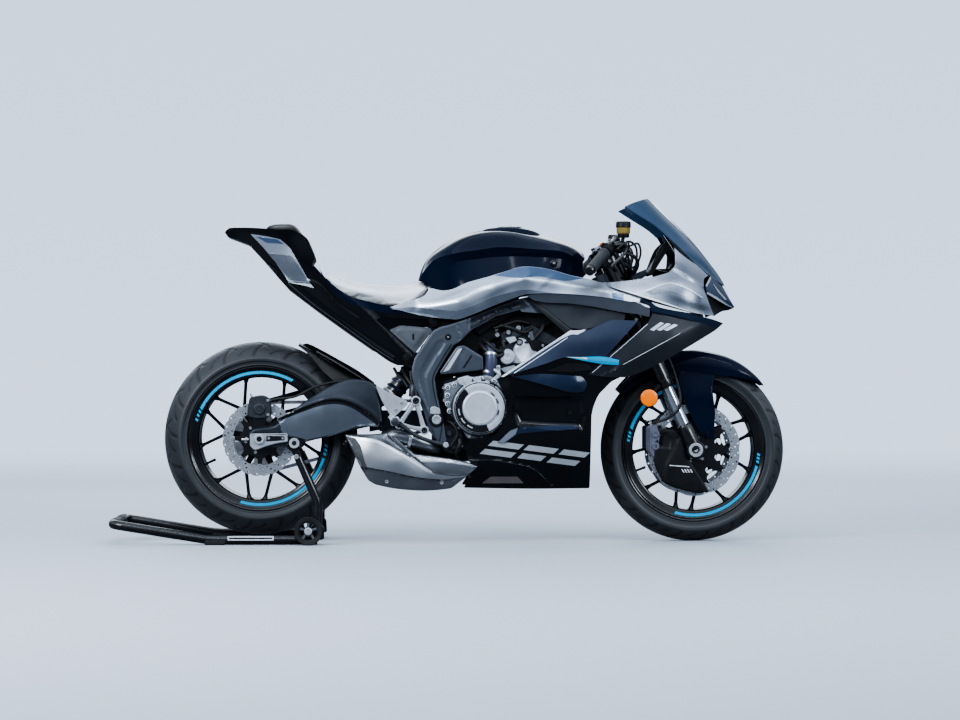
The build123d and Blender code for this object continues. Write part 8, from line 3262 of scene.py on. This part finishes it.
# ---------------------------------------------------------------- seat
@dataclass
class RiderSeat:
    """The pale padded rider's seat, blown up from a smaller pad, with its piped seams."""

    stations: tuple[tuple[float, float, float, float], ...] = (
        # x, underside, top, half-width
        (-414, 861, 871, 92), (-396, 846, 867, 104), (-375, 826, 858, 111), (-331, 796, 842, 117),
        (-290, 783, 831, 119), (-240, 770, 826, 117), (-198, 763, 822, 112), (-150, 762, 828, 104),
        (-112, 776, 838, 98), (-84, 800, 843, 92), (-68, 818, 830, 84))
    inset_mm: float = 7.0
    puff_mm: float = 8.0
    voxel_mm: float = 5.0
    pressure: float = 4.0
    swell_frames: int = 20

    def build(self) -> None:
        """Makes the pad and its seams."""
        table = catmull(self.stations, 4)
        rings = [self._ring(x, low, high, half, self.inset_mm) for x, low, high, half in table]
        draft = Draft()
        draft.rings(rings, LEATHER)
        made = draft.piece("rider_seat_pad", "chassis", "rider_seat", sharp=80.0)
        self._swell(made)
        self._seams()

    def _ring(self, x: float, low: float, high: float, half: float, less: float) -> list[Place]:
        """A rounded section of the pad.

        Args:
            x: Its place along the machine.
            low: Its underside.
            high: Its top.
            half: Its half-width.
            less: How much smaller it is made all round.

        Returns:
            The section's points.
        """
        middle, tall = (low + high) / 2, max((high - low) / 2 - less * 0.55, 3.0)
        made = []
        for a in turns(40):
            c, s = math.cos(a), math.sin(a)
            y = math.copysign(abs(c) ** 0.62, c) * (half - less)
            z = math.copysign(abs(s) ** 0.7, s) * tall
            made.append((x, y, middle + z))
        return made

    def _swell(self, pad: bpy.types.Object) -> None:
        """Fills the pad with air as a cloth, so that it stands up like foam under its cover.

        Args:
            pad: The pad's object.
        """
        scene = bpy.context.scene
        remesh = pad.modifiers.new("even", "REMESH")
        remesh.mode = "VOXEL"
        remesh.voxel_size = self.voxel_mm * MM
        self._apply(pad)
        before = np.empty(len(pad.data.vertices) * 3)
        pad.data.vertices.foreach_get("co", before)
        cloth = pad.modifiers.new("swell", "CLOTH")
        cloth.settings.use_pressure = True
        cloth.settings.uniform_pressure_force = self.pressure
        cloth.settings.quality = 6
        cloth.settings.effector_weights.gravity = 0.0
        cloth.point_cache.frame_start, cloth.point_cache.frame_end = 1, self.swell_frames
        for number in range(1, self.swell_frames + 1):
            scene.frame_set(number)
        self._apply(pad)
        scene.frame_set(1)
        after = np.empty_like(before)
        pad.data.vertices.foreach_get("co", after)
        moved = (after - before).reshape(-1, 3)
        size = np.linalg.norm(moved, axis=1, keepdims=True)
        limit = self.puff_mm * MM
        moved *= np.where(size > limit, limit / np.maximum(size, TINY), 1.0)
        pad.data.vertices.foreach_set("co", (before.reshape(-1, 3) + moved).ravel())
        smooth = pad.modifiers.new("round", "SUBSURF")
        smooth.levels = smooth.render_levels = 1
        self._apply(pad)
        pad.data.polygons.foreach_set("use_smooth", [True] * len(pad.data.polygons))
        pad.data.update()

    @staticmethod
    def _apply(pad: bpy.types.Object) -> None:
        """Makes the pad's modifiers part of its mesh, its finish kept.

        Args:
            pad: The swollen cushion.
        """
        bpy.context.view_layer.update()
        result = pad.evaluated_get(bpy.context.evaluated_depsgraph_get())
        mesh = bpy.data.meshes.new_from_object(result)
        mesh.materials.clear()
        mesh.materials.append(LEATHER.material())
        pad.modifiers.clear()
        old, pad.data = pad.data, mesh
        bpy.data.meshes.remove(old)
        mesh.name = pad.name

    def _seams(self) -> None:
        """The piping along both sides and the stitches beside it."""
        draft = Draft()
        table = catmull(self.stations[1:-1], 5)
        spots: list[tuple[Place, Place, float]] = []
        for side in (-1, 1):
            path = [(x, side * (half - 14), high - 1.5) for x, _, high, half in table]
            draft.tube(path, 1.7, LEATHER, 8)
            spots += [((x, y - side * 7, z + 1.6), UP, 1.0) for x, y, z in spaced(path, 58)]
        draft.piece("seat_piping", "chassis")
        stitch = Draft()
        stitch.lathe([(0.3, -2.1), (0.8, -1.4), (0.8, 1.4), (0.3, 2.1)], (0, 0, 0), (1, 0, 0),
                     DARK_LEATHER, 6)
        Repeats.on_spots("seat_stitches", "chassis", DARK_LEATHER, small_part("stitch", stitch),
                         spots)


# ---------------------------------------------------------------- cockpit
GRIP_IN: Place = (487.0, 222.0, 925.0)
GRIP_OUT: Place = (433.0, 345.0, 867.0)


def bar_at(t: float, up: float = 0.0, ahead: float = 0.0, side: int = 1) -> Place:
    """A point on the bar's line: 0 at the grip's inner end, 1 at its outer end."""
    p = [a + (b - a) * t for a, b in zip(GRIP_IN, GRIP_OUT)]
    return (p[0] + ahead, p[1] * side, p[2] + up)


@dataclass
class Cockpit:
    """The bars with their ribbed grips, levers, switches and reservoirs, and the display."""

    def build(self) -> None:
        """Makes all of it."""
        dress("handlebars", BLACK_METAL)
        self._grips()
        self._controls()
        self._reservoir()
        self._hoses()
        self._display()

    def _grips(self) -> None:
        """The ribbed grips and the bar ends."""
        draft, ends = Draft(), Draft()
        run = (Vector(GRIP_OUT) - Vector(GRIP_IN)).length
        profile = [(13, 0), (20, 1), (21, 3), (21, 6), (17, 8)]
        for k in range(22):
            a = 10 + (run * 0.93 - 18) * k / 22
            profile += [(16.9, a), (16.9, a + 2.6), (15.6, a + 3.2), (15.6, a + 4.6)]
        profile += [(17.5, run * 0.93 - 6), (17.5, run * 0.93 - 1), (14, run * 0.93)]
        for side in (-1, 1):
            start = bar_at(0, side=side)
            way = tuple(Vector(bar_at(1, side=side)) - Vector(start))
            draft.lathe(profile, start, way, GREY_RUBBER, 28)
            ends.lathe([(8, run * 0.93), (15, run * 0.935), (16, run * 0.95), (16, run * 1.03),
                        (13, run * 1.06), (5, run * 1.06)], start, way, BLACK_METAL, 28)
        draft.piece("ribbed_grips", "steering", "grips")
        ends.piece("bar_end_weights", "steering")

    def _controls(self) -> None:
        """The switch housings, the levers with their clamps, and the master cylinder."""
        draft = Draft()
        for side in (-1, 1):
            at = lambda t, up=0.0, ahead=0.0: bar_at(t, up, ahead, side)
            way = tuple(Vector(at(1)) - Vector(at(0)))
            draft.lathe([(16, 0), (20, 2), (22, 8), (22, 26), (19, 34), (14, 36)], at(-0.33), way,
                        BLACK_PLASTIC, 24)
            draft.box(at(-0.2, 16, -8), (26, 30, 16), BLACK_PLASTIC, -12, 4)
            draft.lathe([(6, 0), (6, 4), (4.5, 5.5), (0.5, 5.5)], at(-0.14, 22, -14), (-0.4, 0, 1),
                        AMBER if side < 0 else GREY_PLASTIC, 16)
            draft.lathe([(15, 0), (18, 2), (18, 12), (15, 14)], at(-0.48), way, BLACK_METAL, 24)
            draft.tube([at(-0.42, 4, 14), at(-0.44, 6, 34), at(-0.40, 6, 52)], [11, 12, 12],
                       BLACK_METAL, 16)
            draft.lathe([(11, -9), (12, -7), (12, 7), (11, 9)], at(-0.40, 6, 52), UP, BLACK_METAL,
                        24)
            draft.tube([at(-0.40, 6, 52), at(-0.1, 5, 66), at(0.3, 3, 66), at(0.7, 2, 60),
                        at(0.92, 4, 64)], [7.5, 6.5, 5.5, 5.5, 6.5], BLACK_METAL, 12, smooth=True)
        draft.piece("switches_and_levers", "steering", "hand_controls")

    def _reservoir(self) -> None:
        """The brake fluid's reservoir on the right, with its pipe, and a small one on the left."""
        draft = Draft()
        for side, x, y, z, r, tall in ((-1, 553, -163, 991, 22.0, 34.0),
                                       (1, 548, 168, 972, 17.0, 26.0)):
            draft.lathe([(r - 3, 0), (r - 1, 2), (r, 5), (r, tall - 6)], (x, y, z), UP, FLUID, 32)
            draft.lathe([(r + 0.6, tall - 14), (r + 2.2, tall - 13), (r + 2.2, tall + 2),
                         (r + 0.5, tall + 5), (r - 5, tall + 6), (0.5, tall + 6)], (x, y, z), UP,
                        BLACK_PLASTIC, 32)
            draft.lathe([(r - 4, -12), (r - 3, -9), (r - 3, 1)], (x, y, z), UP, BLACK_PLASTIC, 24)
            draft.tube([(x, y, z - 10), (x - 6, y, z - 34), (x - 18, y - side * 2, z - 52),
                        (x - 34, y, z - 60)], 6.0, RUBBER, 12, smooth=True)
            draft.tube([(x + 4, y, z - 4), (x - 10, y + side * 4, z - 30), (520, side * 170, 942)],
                       5.0, BLACK_METAL, 10, smooth=True)
            draft.tube([(500, side * 172, 938), (528, side * 160, 946), (548, side * 150, 938)],
                       [13, 14, 11], BLACK_METAL, 16)
        draft.piece("fluid_reservoirs", "steering")

    def _hoses(self) -> None:
        """The brake hoses down the fork, and the cables at the head."""
        draft = Draft()
        for side in (-1, 1):
            draft.tube([(548, side * 150, 940), (568, side * 142, 922), (580, side * 128, 874),
                        fork_at(520, 20, side * 116), fork_at(400, 38, side * 118),
                        fork_at(250, 40, side * 120), fork_at(150, 12, side * 128),
                        (700, side * 112, 400), (652, side * 92, 384)], 4.2, RUBBER, 12,
                       smooth=True)
            draft.tube([(530, side * 190, 940), (566, side * 176, 966), (596, side * 130, 950),
                        (600, side * 90, 900), (580, side * 60, 850)], 3.6, RUBBER, 10, smooth=True)
            draft.tube([(520, side * 196, 930), (548, side * 186, 896), (560, side * 150, 862),
                        (545, side * 96, 838)], 5.0, RUBBER, 10, smooth=True)
            draft.tube([(490, side * 190, 920), (500, side * 180, 892), (520, side * 150, 880),
                        (540, side * 110, 868)], 4.0, RUBBER, 10, smooth=True)
            draft.tube([(536, side * 120, 920), (560, side * 130, 905), (572, side * 120, 880),
                        (556, side * 100, 856)], 6.0, RUBBER, 10, smooth=True)
            draft.tube([(572, side * 168, 952), (600, side * 160, 960), (610, side * 146, 930),
                        (596, side * 136, 892), (580, side * 132, 884), (562, side * 140, 908),
                        (574, side * 150, 940)], 3.6, RUBBER, 10, smooth=True)
            draft.tube([(556, side * 160, 930), (588, side * 152, 920), (602, side * 134, 896),
                        (590, side * 118, 866), (566, side * 108, 852)], 5.5, RUBBER, 10,
                       smooth=True)
            draft.tube([(542, side * 158, 902), (564, side * 158, 890), (578, side * 138, 868),
                        (568, side * 116, 846)], 7.0, BLACK_PLASTIC, 12, smooth=True)
        draft.piece("hoses_and_cables", "steering")

    def _display(self) -> None:
        """The display in its hood, the bracket behind the screen and the stay."""
        dress("dash_display", BLACK_PLASTIC)
        draft = Draft()
        draft.add([(647, -76, 871), (647, 76, 871), (700, 76, 961), (700, -76, 961)],
                  [(0, 1, 2, 3)], DISPLAY)
        draft.add([(650, -76, 869), (650, 76, 869), (703, 76, 959), (703, -76, 959)],
                  [(3, 2, 1, 0)], BLACK_PLASTIC)
        for side in (-1, 1):
            draft.plate(((648, 884, 4), (655, 880, 4), (704, 960, 4), (700, 974, 6), (676, 950)),
                        side * 82, side * 92, BLACK_PLASTIC, 2.0)
            draft.tube([(655, side * 40, 880), (690, side * 70, 868), (720, side * 104, 872),
                        (738, side * 122, 900)], 8.0, BLACK_METAL, 14, smooth=True)
            draft.tube([(690, side * 86, 990), (708, side * 100, 962), (726, side * 116, 930)], 6.0,
                       BLACK_METAL, 12, smooth=True)
        draft.piece("display_and_stay", "chassis", edge=0.8)


# ---------------------------------------------------------------- stands
@dataclass
class PaddockStand:
    """The black tubular stand under the swingarm, with its rollers, pads and cradles."""

    rail_y: float = 205.0
    bar_x: float = -1072.5
    post_x: float = -424.0
    low_z: float = 16.5
    tube_r: float = 15.0
    roller: Place = (-452.0, 238.3, 45.0)

    def build(self) -> None:
        """Dresses the stand and makes its rollers."""
        tubes = Draft()
        tubes.tube([(self.bar_x, y, 66) for y in (-178, -90, 0, 90, 178)], self.tube_r,
                   BLACK_METAL, 24)
        draft = Draft()
        for side in (-1, 1):
            y = side * self.rail_y
            tubes.tube([(self.bar_x, side * 176, 66), (-1069, side * 192, 65.4),
                        (-1058, side * 202, 63.6), (-1040, y, 60.7), (-930, y, 42.8),
                        (-800, y, 21.8), (-775, y, 18.2), (-745, y, 16.6), (-600, y, self.low_z),
                        (self.post_x, y, self.low_z)], self.tube_r, BLACK_METAL, 24)
            tubes.tube([(self.post_x, y, self.low_z), (self.post_x, y, 128), (-426, y, 143),
                        (-488, y, 284)], [15, 15, 15, 13], BLACK_METAL, 24)
            tubes.tube([(-488, y + side * 14, 283), (-488, side * 149, 283)], 9.0, BLACK_METAL, 18)
            cradle: list[Flat] = []
            for r, start, end in ((27, 1.04, 1.96), (19, 1.96, 1.04)):
                bow = [(BOBBIN[0] + r * math.cos(a), BOBBIN[1] + r * math.sin(a))
                       for a in np.linspace(math.pi * start, math.pi * end, 16)]
                cradle += [(*bow[0], 1), *bow[1:-1], (*bow[-1], 1)]
            tubes.plate(cradle, side * 149, side * 163, BLACK_METAL, 2.0, spacing=4.0)
            tubes.plate(((-508, 297, 2), (-484, 299, 2), (-474, 284, 6), (-482, 270, 6),
                         (-496, 272, 6)), side * 149, side * 163, BLACK_METAL, 2.0)
            draft.lathe([(15.2, -34), (17, -32), (17, 32), (15.2, 34)], (self.bar_x, side * 96, 65),
                        LEFT, RUBBER, 24)
            draft.box((-748, y, 8), (64, 34, 16), RUBBER, 0, 3)
            draft.plate(((-446, 18, 6), (-402, 18, 6), (-404, 60, 8), (-424, 74, 8), (-446, 60, 8)),
                        y - side * 17, y + side * 12, BLACK_METAL, 3.0)
            draft.lathe([(17.5, 0), (17.5, 26)], (self.post_x, y, 98), UP, BLACK_METAL, 28)
            draft.box((-635, side * 220.4, 22), (146, 1.6, 14), WHITE, 0, 0.4)
            draft.box((-635, side * 221.0, 22), (136, 1.6, 5), BLACK_METAL, 0, 0.4)
        tubes.piece("paddock_stand_tubes", "chassis", "paddock_stand", edge=0.6)
        draft.piece("stand_pads_and_cradles", "chassis", edge=0.6)
        for side in (-1, 1):
            SCREWS.add("chassis", ZINC, (-490, side * 220, 280), (0, side, 0), 8.0)
        for name, side in (("right", -1), ("left", 1)):
            self._roller(name, side)

    def _roller(self, name: str, side: int) -> None:
        """One roller: a dark tyre on a spoked pale hub.

        Args:
            name: Its side's name.
            side: -1 on the right, 1 on the left.
        """
        draft = Draft()
        x, y, z = self.roller
        y *= side
        tyre = [(33, -12), (43, -13), (45, -10), (45, 10), (43, 13), (33, 12)]
        draft.lathe(tyre, (x, y, z), LEFT, RUBBER, 56, closed=True)
        draft.lathe([(28, -11), (33.5, -12), (33.5, 12), (28, 11)], (x, y, z), LEFT, BLACK_METAL,
                    48, closed=True)
        for k in range(5):
            a, b = polar(x, z, 10, 72 * k + 18), polar(x, z, 31, 72 * k + 18)
            beam(draft, [(a[0], y, a[1]), (b[0], y, b[1])], (8, 10), (18, 20), GUNMETAL)
        draft.lathe([(9.0, -11.6), (14, -11.6), (15, -8), (15, 8), (14, 11.6), (9.0, 11.6)],
                    (x, y, z), LEFT, BLACK_METAL, 32, closed=True)
        draft.piece(f"stand_roller_wheel_{name}", f"{name}_roller", f"stand_roller_{name}")
        pin = Draft()
        pin.lathe([(8, 0), (8, 12.2), (12.5, 12.2), (12.5, 17), (10, 19), (5, 19), (4.5, 17),
                   (0.5, 17)], (x, y, z), (0, side, 0), ALLOY, 24)
        pin.piece(f"roller_pin_{name}", "chassis")


@dataclass
class SideStand:
    """The folding side stand on the left."""

    def build(self) -> None:
        """Makes the leg, foot and spring."""
        draft = Draft()
        x, y, z = -28.0, 144.0, 304.0
        draft.lathe([(14, -9), (15, -7), (15, 7), (14, 9)], (x, y - 1, z), LEFT, BLACK_METAL, 28)
        draft.tube([(x - 6, y, z), (x - 90, y + 8, z - 8), (x - 170, y + 17, z - 16),
                    (x - 240, y + 24, z - 22)], [11, 10, 9.5, 9], BLACK_METAL, 16, smooth=True)
        draft.tube([(x - 236, y + 24, z - 22), (x - 252, y + 52, z - 46)], [8, 8], BLACK_METAL, 14)
        draft.box((x - 246, y + 42, z - 40), (52, 34, 6), BLACK_METAL, 6, 2)
        for k in range(11):
            t = k / 10
            draft.lathe([(5, -3), (6, 0), (5, 3)], (x - 20 - 60 * t, y + 15, z + 8 - 6 * t),
                        (-1, 0, -0.1), ZINC, 12)
        draft.piece("side_stand_leg_and_foot", "side_stand_leg", "side_stand")


# ---------------------------------------------------------------- the whole
def main() -> None:
    """Builds every assembly and notes the sizes."""
    logging.basicConfig(level=logging.INFO, format="%(name)s: %(message)s")
    Studio().build()
    Wheel("front", "front_wheel", *FRONT_AXLE, tyre_r=298.0, tyre_half=60.0, rim_half=52.0,
          spoke_base=21.7, fork_r=92.0,
          stripes=((-3.0, -5.0), (-6.2, -8.2), (-9.4, -11.4), (-14, -106), (173.5, 171.5),
                   (170, 168), (166.8, 164.8), (162, 74)),
          valve=-159.0, hub_r=32.0, hub_half=52.0).build()
    Wheel("rear", "rear_wheel", *REAR_AXLE, tyre_r=312.0, tyre_half=90.0, rim_half=80.0,
          spoke_base=26.0, fork_r=112.0,
          stripes=((-4.8, -7.0), (-8.4, -10.6), (-12.0, -14.2), (-16.7, -107), (165, 163),
                   (161, 159), (157.4, 155.4), (154, 61.4)),
          valve=205.0, hub_r=42.0, hub_half=62.0, grooves=17).build()
    Disc("front", "front_wheel", "front_discs", *FRONT_AXLE, outer=150.0, inner=118.0,
         sides=(-68.0, 68.0)).build()
    Disc("rear", "rear_wheel", "rear_disc", *REAR_AXLE, outer=120.0, inner=86.0, sides=(-100.0,),
         bobbins=8, waves=24, carrier_r=52.0).build()
    for assembly in (Fork(), FrontBrakes(), FrontMudguard(), RearBrake(), Hugger(), Chain(),
                     FrameDress(), Engine(), Exhaust(), Footrests(), RiderSeat(), Cockpit(), Tank(),
                     SideBand(), MidPanel(), Belly(), DuctPanel(), Nose(), Windscreen(), Tail(),
                     PaddockStand(), SideStand()):
        assembly.build()
    LugBolt.build()
    SCREWS.build()


if __name__ == "__main__":
    main()
